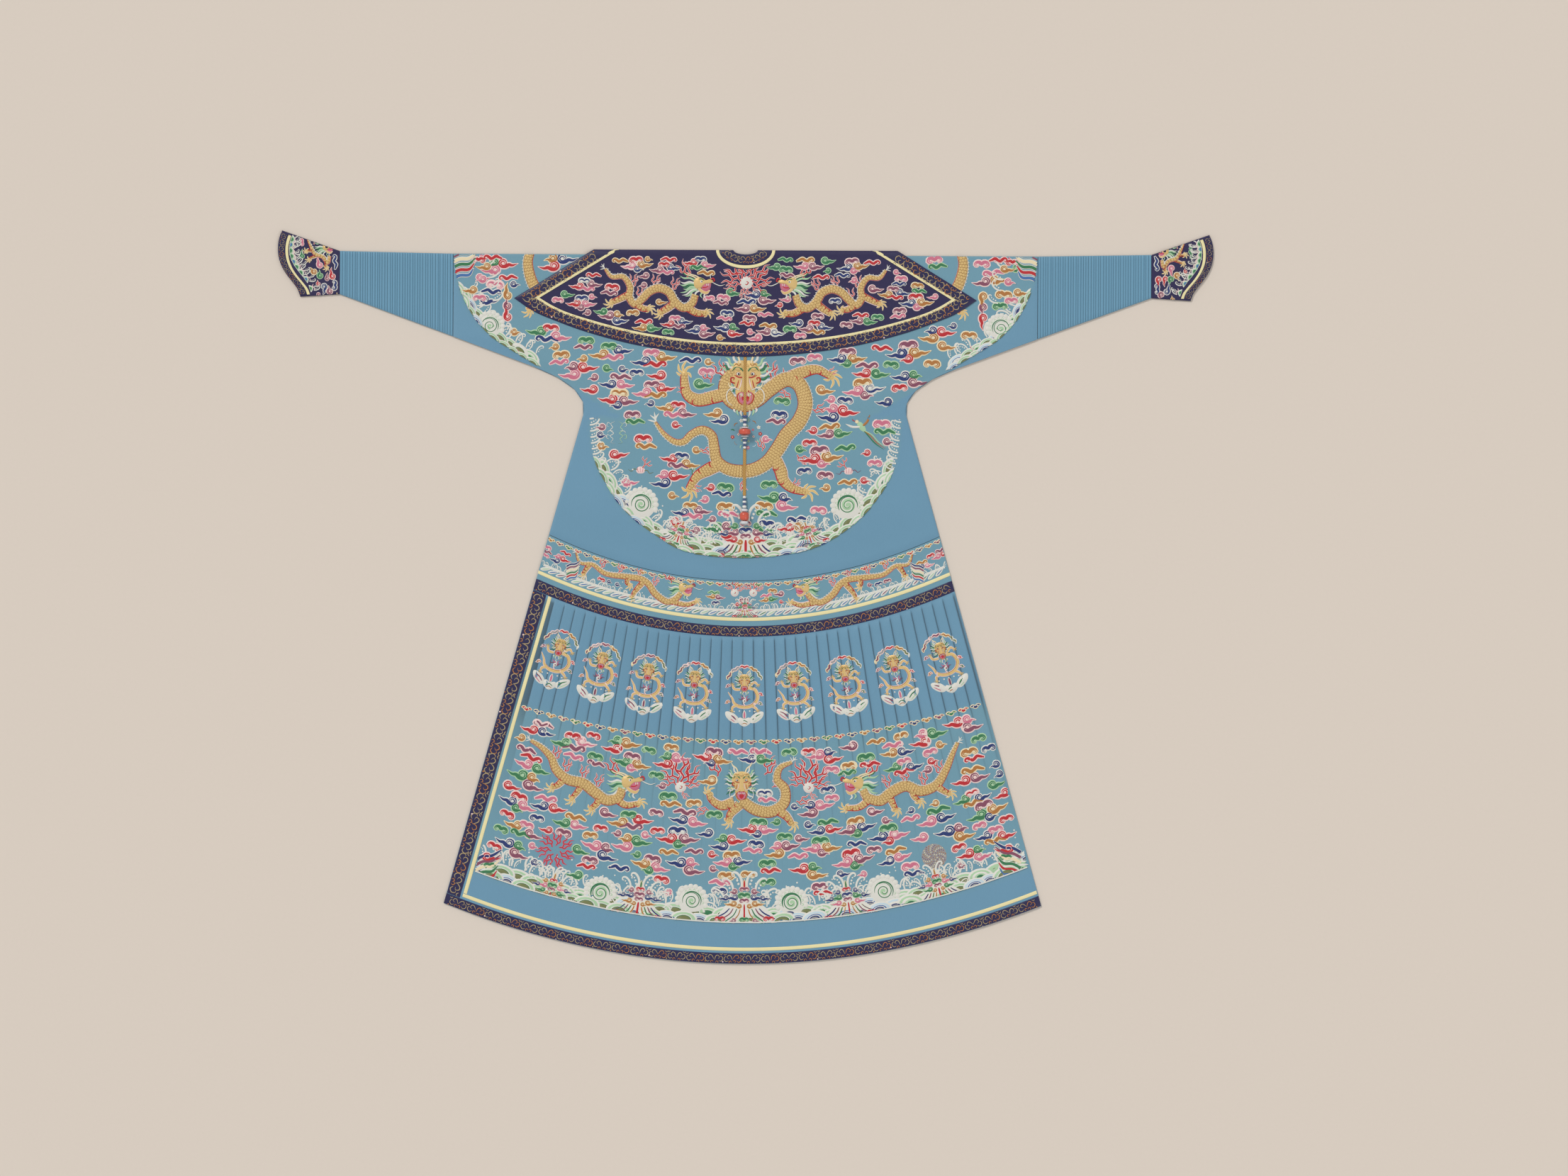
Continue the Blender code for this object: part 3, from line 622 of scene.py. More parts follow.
def silk(name, colour, ground=None, pitch=0.7, rough=0.55, sheen=0.25):
    """Woven silk. Where the attribute ground is 1 it takes the ground colour, and the crease attribute darkens it with
    painted shade in the hollows of pleats and ribs.
    """
    nodes = Nodes(name)
    base = linear(colour)
    if ground:
        base = nodes.mix(nodes.attribute("ground"), base, linear(ground))
    slubs = nodes.noise(900, 2.0, (1, 0.12, 1))
    base = nodes.mix(nodes.math("MULTIPLY", slubs, 0.16), base, linear(scaled(colour, 0.72)))
    patches = nodes.noise(7, 3.0)
    base = nodes.mix(nodes.math("MULTIPLY", patches, 0.22), base, linear(scaled(colour, 1.14)))
    # Painted shade: the crease attribute darkens the colour in the hollows of pleats and ribs.
    base = nodes.mix(nodes.attribute("crease"), base, linear(scaled(colour, 0.36)))
    rough_node = nodes.math("ADD", nodes.math("MULTIPLY", slubs, 0.14), rough - 0.07)
    return nodes.finish(base, rough_node, weave(nodes, pitch), 0.35, 0.00012, Sheen_Weight=sheen)


def satin(name, colour, rough=0.42, sheen=0.1, metal=0.0):
    """Smooth trim or lining with long floats along it."""
    nodes = Nodes(name)
    floats = nodes.noise(700, 2.0, (0.15, 1, 1))
    patches = nodes.noise(14, 3.0)
    base = nodes.mix(nodes.math("MULTIPLY", floats, 0.3), linear(colour), linear(scaled(colour, 0.7)))
    base = nodes.mix(nodes.math("MULTIPLY", patches, 0.3), base, linear(scaled(colour, 1.2)))
    return nodes.finish(base, rough, floats, 0.3, 0.00012, Sheen_Weight=sheen, Metallic=metal)


def polished(name, colour, rough, coat, mottle=0.25, bands=60, subsurface=0.0):
    """Bead of pearl, coral or glass, with a soft mottle."""
    nodes = Nodes(name)
    clouds = nodes.noise(bands, 3.0, (1, 2.5, 1))
    base = nodes.mix(nodes.math("MULTIPLY", clouds, mottle), linear(colour), linear(scaled(colour, 0.6)))
    return nodes.finish(base, rough, clouds, 0.15, 0.0001, Coat_Weight=coat, Subsurface_Weight=subsurface)


BLUE_SILK = silk("blue_silk", PLAIN_BLUE, GROUND_BLUE)
RIBBED_SILK = silk("ribbed_silk", RIB_BLUE, GROUND_BLUE)
NAVY_SATIN = silk("navy_satin", NAVY, pitch=0.5, rough=0.6, sheen=0.02)
LINING = silk("blue_lining", scaled(PLAIN_BLUE, 0.9))
BROCADE_GROUND = satin("brocade_ground", BROCADE)
PIPING_SATIN = satin("pale_piping", PIPING_CREAM, 0.5)
CORAL = polished("coral", Colour(214, 88, 66), 0.32, 0.5)
PEARL = polished("pearl", Colour(236, 234, 230), 0.28, 0.6, 0.15)
GLASS = polished("blue_glass", Colour(52, 76, 138), 0.15, 0.8)
SILVER_CAP = polished("petal_cap", Colour(222, 226, 232), 0.35, 0.4, 0.4, 400)


# Panels

def dress(made, slot, *nodes):
    """Fixes a piece to the robe's one body, in place of CAD nodes."""
    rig.ride(made, "root")
    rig.slot(made, slot)
    if nodes:
        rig.replaces(made, *nodes)
    return made


def make_jacket_back():
    halves, depths = jacket_rows(11)
    across = edged(np.linspace(-1, 1, 141), SLEEVE_SEAM_SIDE)
    side, depth = on_rows(halves, depths, across)
    half = np.array(halves)[:, None]
    loft = torso_loft(half, side, depth)
    inset = np.minimum(half - np.abs(side), side * 0 + JACKET_END - GAP - np.array(depths)[:, None])
    lay = RIPPLE * ripple(side, depth) * loft / TORSO_LOFT
    high = OVER_FACE + loft + lay - edge_drop(inset, 1.3) - edge_drop(depth, 3.0) * 0.6
    low = OVER_BASE + loft + lay
    ground = ground_share(side, depth)
    return dress(shell("jacket_back_cloth", side, depth, np.minimum(low, high - 0.4), high, [BLUE_SILK], ground=ground),
                 "blue_silk", "jacket_back")


# Edges of the embroidered ground: the yoke's, and the left sleeve's lobe at the seam
YOKE_EDGE = [
    Point(-321, 325), Point(-313, 410), Point(-284, 474), Point(-243, 530), Point(-179, 579), Point(-115, 611),
    Point(-18, 622), Point(79, 616), Point(159, 595), Point(232, 547), Point(280, 490), Point(312, 426),
    Point(323, 335),
]
LOBE_EDGE = [
    Point(601, -2), Point(593, 56), Point(565, 120), Point(525, 168), Point(477, 200), Point(429, 229),
]
YOKE_LINE = curve(YOKE_EDGE, 6)
LOBE_LINE = curve(LOBE_EDGE, 6)


def beyond(line, side, depth):
    """How far a place lies past a line, positive on the side that the line's normals point away from."""
    side, depth = np.asarray(side, float), np.asarray(depth, float)
    flat = normals(line)
    far = np.full(side.shape, 1e9)
    best = np.full(side.shape, -1.0)
    for point, normal in zip(line, flat):
        away = (side - point[0]) ** 2 + (depth - point[1]) ** 2
        closer = away < far
        far = np.where(closer, away, far)
        best = np.where(closer, (side - point[0]) * normal[0] + (depth - point[1]) * normal[1], best)
    return best


def ground_share(side, depth):
    """1 on the jacket's embroidered ground, 0 on its plain silk."""
    yoke = beyond(YOKE_LINE, side, depth)
    lobe = beyond(LOBE_LINE, np.abs(side), depth)
    upper = np.where(depth < 335, -lobe, yoke)
    return smooth(0.5 + upper / 5)


def pleat_columns(steps):
    """Across values of the skirt's columns, with the height share and the share of painted shade in the hollow of each.
    """
    half = body_half(WAIST_SEAM)
    start, end = -1 + PLEAT_FREE_LEFT / half, 1 - PLEAT_FREE_RIGHT / half
    pitch = (end - start) / PLEATS
    shares = np.array([0, 0.04, 0.09, 0.16, 0.3, 0.5, 0.7, 0.86, 0.94, 0.98])[:steps]
    rises = np.array([0.0, 0.72, 0.97, 1.0, 0.84, 0.6, 0.38, 0.18, 0.08, 0.0])[:steps]
    # Painted shade at each pleat's fold, where the hollow lies.
    crease_shades = np.array([0.75, 0.3, 0.05, 0.0, 0.0, 0.0, 0.0, 0.05, 0.2, 0.6])[:steps]
    across, rise, crease = [-1.0], [0.0], [0.0]
    for pleat in range(PLEATS):
        foot = start + pleat * pitch
        if foot + pitch / 2 < 0:
            across += list(foot + shares * pitch)
            rise += list(rises)
            crease += list(crease_shades)
        else:
            across += list(foot + (1 - shares[::-1]) * pitch)
            rise += list(rises[::-1])
            crease += list(crease_shades[::-1])
    return np.array([*across, 1.0]), np.array([*rise, 0.0]), np.array([*crease, 0.0])


def make_skirt_back():
    across, rise, crease = pleat_columns(10)
    top, end = WAIST_SEAM + GAP, HEM_SIDE_DEPTH
    depths = np.array([top, top + 0.6, 685, 690, 694, 699, *np.arange(712, end - 8, 24), end - 1.3, end - 0.5, end])
    halves = body_half(depths)
    order = np.argsort(across)
    across, rise, crease = across[order], rise[order], crease[order]
    side, depth = on_rows(halves, depths, across)
    press = np.interp(depths, PLEAT_PRESS_DEPTHS, PLEAT_PRESS_SHARES)[:, None]
    lift = PLEAT_RISE * rise * press
    loose = smooth((depths - 760) / 160)[:, None] * smooth((halves[:, None] - np.abs(side)) / 50)
    loose = loose * smooth((end - depths) / 60)[:, None]
    lift = lift + RIPPLE * loose * (ripple(side, depth) + 1)
    inset = np.minimum(halves[:, None] - np.abs(side), end - depths[:, None])
    # Painted shade in the pleats' hollows: full where they are pressed, fading in near the waist seam.
    pleat_shade = crease * np.clip(press * 1.15, 0, 1) * smooth((depths - 683) / 20)[:, None]
    band = smooth((depths - 900) / 16) * smooth((1256 - depths) / 8)
    made = shell("skirt_back_cloth", side, depth, OVER_BASE + lift * 0.6, OVER_FACE + lift - edge_drop(inset, 1.2),
                 [BLUE_SILK], ground=band[:, None], crease=pleat_shade)
    return dress(made, "blue_silk", "skirt_back")


def under_panel(node, slot, material):
    """A hidden panel of the underside: the node's own shape with softened edges."""
    made = bpy.data.objects[node].copy()
    made.data = made.data.copy()
    made.name = node + "_cloth"
    made.parent = None
    made.data.materials.clear()
    made.data.materials.append(material)
    bpy.context.scene.collection.objects.link(made)
    bevel = made.modifiers.new("edge", "BEVEL")
    bevel.width = 0.25 * MM
    bevel.segments = 2
    bevel.limit_method = "ANGLE"
    bevel.angle_limit = math.radians(50)
    return dress(made, slot, node)


def ring_layout(face, across_steps, under_steps):
    """Section of a flattened tube: across share, inset, height and how far each point rises with a rib."""
    fold = 2.6
    turns = np.radians([0, 35, 62])
    top = [(0, fold * (1 - math.cos(a)), face / 2 * (1 + math.sin(a)), math.sin(a) ** 2) for a in turns]
    top += [(v, fold if v == 0 else -fold if v == 1 else 0, face, 1.0) for v in np.linspace(0, 1, across_steps)]
    top += [(1, -fold * (1 - math.cos(a)), face / 2 * (1 + math.sin(a)), math.sin(a) ** 2) for a in turns[::-1]]
    under = [(1, -fold * (1 - math.cos(a)), face / 2 * (1 - math.sin(a)), 0.0) for a in turns[1:]]
    under += [(v, fold if v == 0 else -fold if v == 1 else 0, 0, 0.0) for v in np.linspace(1, 0, under_steps)]
    under += [(0, fold * (1 - math.cos(a)), face / 2 * (1 - math.sin(a)), 0.0) for a in turns[:0:-1]]
    return np.array(top + under)


def tube(name, spot, shares, ring, face, lifts, crease_shades, material, ground=None):
    """A flattened tube of cloth: out along its outer skin, back along its inner one, and round."""
    across, inset, height, ribbed = ring.T
    side, depth = spot(shares[:, None], across[None, :])
    outer = (side, depth + inset, height + ribbed * lifts)
    inner_shares = np.array([1.0, 0.5, 0.0])
    side, depth = spot(inner_shares[:, None], across[None, :])
    pull = np.where(across == 0, SLEEVE_CLOTH, np.where(across == 1, -SLEEVE_CLOTH, 0))
    inner_height = np.broadcast_to(np.clip(height, SLEEVE_CLOTH, face - SLEEVE_CLOTH), side.shape)
    inner = (side, depth + inset + pull, inner_height)
    side, depth, height = (np.vstack([one, two]) for one, two in zip(outer, inner))
    rows, columns = side.shape
    index = np.arange(rows * columns).reshape(rows, columns)
    index = np.vstack([np.hstack([index, index[:, :1]]), np.hstack([index[:1], index[:1, :1]])])
    faces = np.stack([index[1:, :-1], index[1:, 1:], index[:-1, 1:], index[:-1, :-1]], axis=-1).reshape(-1, 4)
    made = make_object(name, place(side, depth, height), faces, [material])
    # Painted shade in the hollows between ribs on the outer skin, none on the inner one.
    crease = np.vstack([crease_shades * ribbed, np.zeros(inner[0].shape)])
    layers = {"crease": crease}
    if ground is not None:
        layers["ground"] = ground(side, depth)
    for attribute, values in layers.items():
        layer = made.data.attributes.new(attribute, "FLOAT", "POINT")
        layer.data.foreach_set("value", values.ravel().astype(np.float32))
    clean(made)
    return made


def make_sleeve(hand, sign):
    steps = 8
    stations = np.arange(RIBS * steps + 1)
    rng = random.Random(7)
    rib, part = stations // steps, (stations % steps) / steps
    heights = np.array([RIB_RISE * rng.uniform(0.75, 1.0) for _ in range(RIBS + 1)])
    shifts = np.array([rng.uniform(-0.22, 0.22) if 0 < index < RIBS else 0 for index in range(RIBS + 1)])
    edge_left, edge_right = rib + shifts[rib], rib + 1 + shifts[np.minimum(rib + 1, RIBS)]
    shares = np.clip((edge_left + (edge_right - edge_left) * part) / RIBS, 0, 1)
    lifts = (heights[rib] * np.sin(math.pi * part) ** 0.55)[:, None]
    # Painted shade in the hollow between each pair of ribs.
    crease_shades = (0.5 * np.exp(-((np.minimum(part, 1 - part) / 0.12) ** 2)))[:, None]

    def spot(t, v):
        side = SLEEVE_SEAM_SIDE + GAP + (CUFF_SEAM_SIDE - SLEEVE_SEAM_SIDE - 2 * GAP) * t
        top = CUFF_SEAM_TOP * t
        bottom = SLEEVE_SEAM_DROP + (CUFF_SEAM_BOTTOM - SLEEVE_SEAM_DROP) * t
        return sign * (side + 0 * v), top + (bottom - top) * v

    ring = ring_layout(SLEEVE_FACE, 11, 5)
    made = tube(f"sleeve_{hand}_cloth", spot, shares, ring, SLEEVE_FACE, lifts, crease_shades, RIBBED_SILK)
    return dress(made, "ribbed_silk", f"sleeve_{hand}")


def cuff_edge(share):
    """A place on the cuff's outer edge, on a smooth line through its points."""
    dense = curve(CUFF_EDGE, 2)
    spacing = np.array([0, *np.cumsum(np.linalg.norm(np.diff(dense, axis=0), axis=1))])
    marks = [spacing[np.argmin(np.hypot(dense[:, 0] - p.side, dense[:, 1] - p.depth))] for p in CUFF_EDGE]
    reach = np.interp(share, np.linspace(0, 1, len(CUFF_EDGE)), marks)
    return np.interp(reach, spacing, dense[:, 0]), np.interp(reach, spacing, dense[:, 1])


def cuff_spot(sign):
    """Place on a cuff from its share t out from the seam and v down across it."""

    def spot(t, v):
        edge_side, edge_depth = cuff_edge(v)
        start = CUFF_SEAM_SIDE + GAP
        seam_depth = CUFF_SEAM_TOP + (CUFF_SEAM_BOTTOM - CUFF_SEAM_TOP) * v
        return sign * (start + (edge_side - start) * t), seam_depth + (edge_depth - seam_depth) * t

    return spot


def make_cuff(hand, sign):
    ring = ring_layout(OVER_FACE, 21, 9)
    shares = np.linspace(0, 1, 26)
    nothing = np.zeros((26, 1))
    made = tube(f"cuff_{hand}_cloth", cuff_spot(sign), shares, ring, OVER_FACE, nothing, nothing, NAVY_SATIN)
    return dress(made, "navy_satin", f"cuff_{hand}")


def make_collar_back():
    half = np.array([0, 3, 8, 13, 18, 21, 23, 24.3, 25, *np.arange(31, 306, 6), 311, 316, 321, 326.9,
                     *np.arange(333, 470, 6), 470, 472.5, 474])
    sides = np.concatenate([-half[:0:-1], half])
    top, end = collar_top(sides), collar_end(sides)
    first = np.maximum(top, 0)
    shares = np.array([0.004, 0.012, 0.03, *np.linspace(0.06, 0.94, 24), 0.97, 0.988, 0.996, 1])
    roll = [top + (first - top) * share for share in (0, 0.08, 0.2, 0.35, 0.55, 0.78)]
    depth = np.array(roll + [first] + [first + (end - first) * share for share in shares])
    side = np.broadcast_to(sides, depth.shape)
    drop = collar_roll(depth)
    from_top = np.where(top > 0, depth - top, 9)
    inset = np.minimum(from_top, end - depth)
    lay = 0.12 * ripple(side * 1.3, depth * 1.3 + 40)
    made = shell("collar_back_cloth", side, depth, COLLAR_BASE - drop, COLLAR_FACE - drop + lay - edge_drop(inset, 0.9),
                 [NAVY_SATIN])
    return dress(made, "navy_satin", "collar_back")


# Trims, laid on the panels

class Surface:
    """The upper face of some pieces, to lay others on."""

    def __init__(self, pieces):
        points, faces = [], []
        for piece in pieces:
            start = len(points)
            points += [vert.co.copy() for vert in piece.data.vertices]
            faces += [[start + index for index in face.vertices] for face in piece.data.polygons]
        self.tree = BVHTree.FromPolygons(points, faces)

    def height(self, side, depth):
        """Heights in millimetres, or not-a-number off the pieces."""
        side, depth = np.asarray(side, float), np.asarray(depth, float)
        found = np.full(side.shape, np.nan)
        down = Vector((0, 0, -1))
        for index in np.ndindex(side.shape):
            x, y = side[index] * MM, (CENTRE_DEPTH - depth[index]) * MM
            hit = self.tree.ray_cast(Vector((x, y, 0.2)), down)[0]
            if hit is not None:
                found[index] = hit.z / MM
        return found


FLAT_PROFILE = [(0, 0.2), (0.02, 0.75), (0.07, 1), (0.3, 1), (0.5, 1), (0.7, 1), (0.93, 1), (0.98, 0.75), (1, 0.2)]
ROUND_PROFILE = [(0, 0.15), (0.05, 0.55), (0.16, 0.85), (0.33, 0.98), (0.5, 1), (0.67, 0.98), (0.84, 0.85),
                 (0.95, 0.55), (1, 0.15)]


def band(name, surface, outer, inner, rise, profile, material, slot, fallback):
    """A strip of trim between two lines with as many points each, laid on a surface."""
    shares = np.array([share for share, _ in profile])[None, :]
    heights = np.array([height for _, height in profile])[None, :]
    outer, inner = np.asarray(outer, float), np.asarray(inner, float)
    side = outer[:, :1] * (1 - shares) + inner[:, :1] * shares
    depth = outer[:, 1:] * (1 - shares) + inner[:, 1:] * shares
    base = surface.height(side, depth)
    row_best = np.nanmax(np.where(np.isnan(base), -1, base), axis=1, keepdims=True)
    base = np.where(np.isnan(base), np.where(row_best < 0, fallback, row_best), base)
    made = shell(name + "_cloth", side, depth, base + 0.05, base + 0.05 + rise * heights, [material])
    return dress(made, slot, name)


def row_line(depth, start, end, spacing):
    """A line across the body along the row whose ends are at a depth, between two across values."""
    half = body_half(depth)
    count = int((end - start) * half / spacing) + 1
    across = np.linspace(start, end, count)
    return np.stack([half * across, depth + sag(depth) * (1 - across * across)], axis=1)


def left_line(inset, top, end, count=60):
    """A line down the skirt's left edge, inset from it, between two depths on that edge."""
    depths = np.linspace(top, end, count)
    half = body_half(depths)
    across = -1 + inset / half
    return np.stack([half * across, depths + sag(depths) * (1 - across * across)], axis=1)


CORNER_GAP = 0.9
WAIST_EDGE_TOP = WAIST_SEAM - WAIST_BAND / 2
WAIST_EDGE_END = WAIST_SEAM + WAIST_BAND / 2
WAIST_PIPING_TOP = WAIST_SEAM - WAIST_PIPING_RISE
HEM_TOP = HEM_SIDE_DEPTH - HEM_BAND
HEM_PIPING_TOP = HEM_SIDE_DEPTH - HEM_PIPING_CENTRE - PIPING / 2
SIDE_TOP = WAIST_EDGE_END + CORNER_GAP
SIDE_END = HEM_TOP - CORNER_GAP
SIDE_PIPING_NEAR = SIDE_BAND + SIDE_PIPING_GAP


def collar_lines():
    """The collar's edge and its piping's centre as whole lines, from the left fold round to the right."""
    lines = []
    for first, lower in ((WING_TOP, COLLAR_LOWER_EDGE), (PIPING_TOP, COLLAR_LOWER_PIPING)):
        straight = np.linspace(first, lower[0], 18)[:-1]
        half = np.vstack([straight, curve(lower, 6)])
        lines.append(half)
    edge, piping = lines
    return edge, piping


def matched(line, count):
    """A half line with a set number of points on its straight part and on its curve."""
    corner = np.argmax(line[:, 0])
    parts = []
    for part, number in ((line[:corner + 1], count[0]), (line[corner:], count[1])):
        reach = np.array([0, *np.cumsum(np.linalg.norm(np.diff(part, axis=0), axis=1))])
        at = np.linspace(0, reach[-1], number)
        parts.append(np.stack([np.interp(at, reach, part[:, 0]), np.interp(at, reach, part[:, 1])], axis=1))
    return np.vstack([parts[0][:-1], parts[1]])


def collar_strip_line(line, offset):
    """A whole line beside a half line, clipped at the collar's top, left to right."""
    moved = matched(beside(line, offset), (16, 84))
    moved[-1, 0] = 0
    start, after = moved[0], moved[1]
    share = (COLLAR_TOP - start[1]) / (after[1] - start[1])
    moved[0] = start + (after - start) * share
    return np.vstack([moved * (-1, 1), moved[-2::-1]])


def make_trims(surface):
    trims = {}

    def add(name, outer, inner, rise=0.95, profile=FLAT_PROFILE, fallback=OVER_FACE):
        piped = "piping" in name
        material, slot = (PIPING_SATIN, "pale_piping") if piped else (BROCADE_GROUND, "navy_brocade")
        trims[name] = band(name, surface, outer, inner, rise, ROUND_PROFILE if piped else profile, material, slot,
                           fallback)

    add("waist_edging", row_line(WAIST_EDGE_TOP, -1, 1, 7), matched_row(WAIST_EDGE_END, WAIST_EDGE_TOP, -1, 1))
    add("waist_piping", row_line(WAIST_PIPING_TOP, -1, 1, 7),
        matched_row(WAIST_PIPING_TOP + PIPING, WAIST_PIPING_TOP, -1, 1), 1.1)
    add("hem_edging", row_line(HEM_TOP, -1, 1, 7), matched_row(HEM_SIDE_DEPTH - 0.4, HEM_TOP, -1, 1))
    start = -1 + SIDE_PIPING_NEAR / body_half(HEM_PIPING_TOP)
    add("hem_piping", row_line(HEM_PIPING_TOP, start, 0.998, 7),
        matched_row(HEM_PIPING_TOP + PIPING, HEM_PIPING_TOP, start, 0.998), 1.1)
    add("side_edging", left_line(0.4, SIDE_TOP, SIDE_END), left_line(SIDE_BAND, SIDE_TOP, SIDE_END))
    piping_end = HEM_PIPING_TOP - CORNER_GAP
    add("side_piping", left_line(SIDE_PIPING_NEAR, SIDE_TOP, piping_end),
        left_line(SIDE_PIPING_NEAR + PIPING, SIDE_TOP, piping_end), 1.1)

    edge, piping = collar_lines()
    add("collar_edging", collar_strip_line(edge, 0.5), collar_strip_line(piping, -PIPING / 2 - GAP),
        fallback=COLLAR_FACE)
    add("collar_piping", collar_strip_line(piping, -PIPING / 2), collar_strip_line(piping, PIPING / 2), 1.1,
        fallback=COLLAR_FACE)
    turns = np.linspace(0, math.pi, 61)

    def neck_arc(half, drop):
        return np.stack([-half * np.cos(turns), COLLAR_TOP + drop * np.sin(turns)], axis=1)

    add("neckband", neck_arc(NECKBAND_HALF, NECKBAND_DROP), neck_arc(NECK_HALF + 0.5, NECK_DROP + 0.5),
        fallback=COLLAR_FACE - 3)
    add("neck_piping", neck_arc(NECKBAND_HALF + GAP + NECK_PIPING, NECKBAND_DROP + GAP + NECK_PIPING),
        neck_arc(NECKBAND_HALF + GAP, NECKBAND_DROP + GAP), 1.1, fallback=COLLAR_FACE - 3)

    for hand, sign in (("left", -1), ("right", 1)):
        add(f"cuff_edging_{hand}", cuff_line(sign, 0.5), cuff_line(sign, CUFF_BAND))
        near = CUFF_BAND + GAP
        add(f"cuff_piping_{hand}", cuff_line(sign, near), cuff_line(sign, near + CUFF_PIPING), 1.1)
    return trims


def matched_row(depth, like, start, end):
    """A row line with as many points as the one it is paired with."""
    count = len(row_line(like, start, end, 7))
    half = body_half(depth)
    across = np.linspace(start, end, count)
    return np.stack([half * across, depth + sag(depth) * (1 - across * across)], axis=1)


def cuff_line(sign, inset):
    """A line on the cuff, inset from its outer edge, stopping short of the folds."""
    shares = np.linspace(0.03, 0.97, 40)
    reach = cuff_edge(shares)[0] - CUFF_SEAM_SIDE
    side, depth = cuff_spot(sign)(1 - inset / reach, shares)
    return np.stack([side, depth], axis=1)


# Neck cord and beads

def torso_face(depth):
    """Height of the jacket's face on the centre line."""
    return OVER_FACE + torso_loft(1000.0, 0.0, depth)


def make_cord(stretch):
    """A flat braid on the jacket, crowned across, with its own path."""
    depths = np.linspace(stretch.start, stretch.end, int((stretch.end - stretch.start) / 1.6))
    shares = np.array([-1, -0.92, -0.7, -0.35, 0, 0.35, 0.7, 0.92, 1])
    crown = np.array([0.35, 0.72, 0.95, 1, 0.9, 1, 0.95, 0.72, 0.35])
    base = torso_face(depths)[:, None] + GAP
    side = shares[None, :] * CORD_WIDTH / 2 + 0 * base
    depth = depths[:, None] + 0 * side
    plait = 0.12 * np.cos(2 * math.pi * (depth - np.abs(side)) / 3.2)
    made = shell(stretch.name + "_braid", side, depth, base + 0 * side, base + CORD_CLOTH * (crown + plait * 0.6),
                 [BRAID])
    path = place(np.zeros(len(depths)), depths, torso_face(depths) + GAP + CORD_CLOTH / 2)
    return dress(made, "gold_braid", stretch.name), [tuple(point) for point in path]


def bead_profile(kind):
    """Half outline of a bead as shares of its half length and radius."""
    turns = np.linspace(0, math.pi, 17)
    along, out = -np.cos(turns), np.sin(turns)
    if kind == "coral":
        return along, out ** 0.35
    if kind == "disc":
        return along, out ** 0.5
    if kind == "cup":
        return along, np.clip(out, 0, 1) ** 0.6 * (0.72 + 0.28 * (1 - along) / 2)
    if kind == "cap":
        return along, out ** 0.45
    return along, out


BEAD_MATERIALS = {"coral": CORAL, "pearl": PEARL, "disc": GLASS, "cup": GLASS, "cap": SILVER_CAP}


def make_bead(bead):
    """A bead turned about the cord's line; caps have petals and corals a carved waist."""
    along, out = bead_profile(bead.kind)
    turns = np.linspace(0, 2 * math.pi, 32, endpoint=False)
    wave = np.ones(len(turns))
    if bead.kind == "cap":
        wave = 0.9 + 0.1 * np.abs(np.cos(4 * turns))
    if bead.kind == "coral":
        out = out * (1 - 0.05 * np.exp(-((along / 0.15) ** 2)))
    radius = bead.radius * out[:, None] * wave[None, :]
    side = radius * np.sin(turns)
    height = torso_face(bead.depth) + GAP + bead.radius + radius * np.cos(turns)
    depth = bead.depth + bead.half * along[:, None] + 0 * side
    made = make_object(bead.name + "_turned", place(side, depth, height), grid_faces(len(along), 32, True),
                       [BEAD_MATERIALS[bead.kind]], sharp=50)
    clean(made)
    slot = {"coral": "coral", "pearl": "pearl", "cap": "pearl"}.get(bead.kind, "blue_glass")
    return dress(made, slot, bead.name)


def braid_material():
    nodes = Nodes("gold_braid")
    wave = nodes.add("TexWave", {"bands_direction": "DIAGONAL"}, Vector=nodes.place_scaled(1, 1, 1), Scale=170.0,
                     Distortion=1.0).outputs["Fac"]
    base = nodes.mix(wave, linear(scaled(BRAID_GOLD, 0.72)), linear(BRAID_GOLD))
    return nodes.finish(base, 0.5, wave, 0.5, 0.0003, Metallic=0.15, Sheen_Weight=0.2)


BRAID = braid_material()


# Threads

THREADS = {
    "gold": Colour(226, 193, 128),
    "white": Colour(226, 225, 217),
    "cream": Colour(238, 222, 184),
    "red": Colour(190, 30, 40),
    "pink": Colour(206, 112, 138),
    "pale_pink": Colour(242, 212, 208),
    "mauve": Colour(134, 72, 96),
    "green": Colour(48, 120, 78),
    "pale_green": Colour(172, 208, 168),
    "olive": Colour(118, 124, 78),
    "navy": Colour(24, 48, 112),
    "blue": Colour(66, 112, 172),
    "pale_blue": Colour(194, 216, 228),
    "tan": Colour(178, 116, 54),
    "grey": Colour(150, 150, 152),
    "black": Colour(34, 28, 32),
    "old_gold": Colour(172, 152, 112),
}
THREAD_ORDER = list(THREADS)
OUTLINE_RISE = 0.45
FILL_RISE = 0.8
DETAIL_RISE = 1.1
BODY_RISE = 1.7
SCALE_PITCH = 5.8
CLOUD_BORDER = 2.1

# A cloud's fill and its outline
CLOUD_COLOURS = [
    ("navy", "white"),
    ("red", "pale_pink"),
    ("green", "pale_green"),
    ("tan", "cream"),
    ("mauve", "pale_pink"),
    ("pink", "pale_pink"),
]


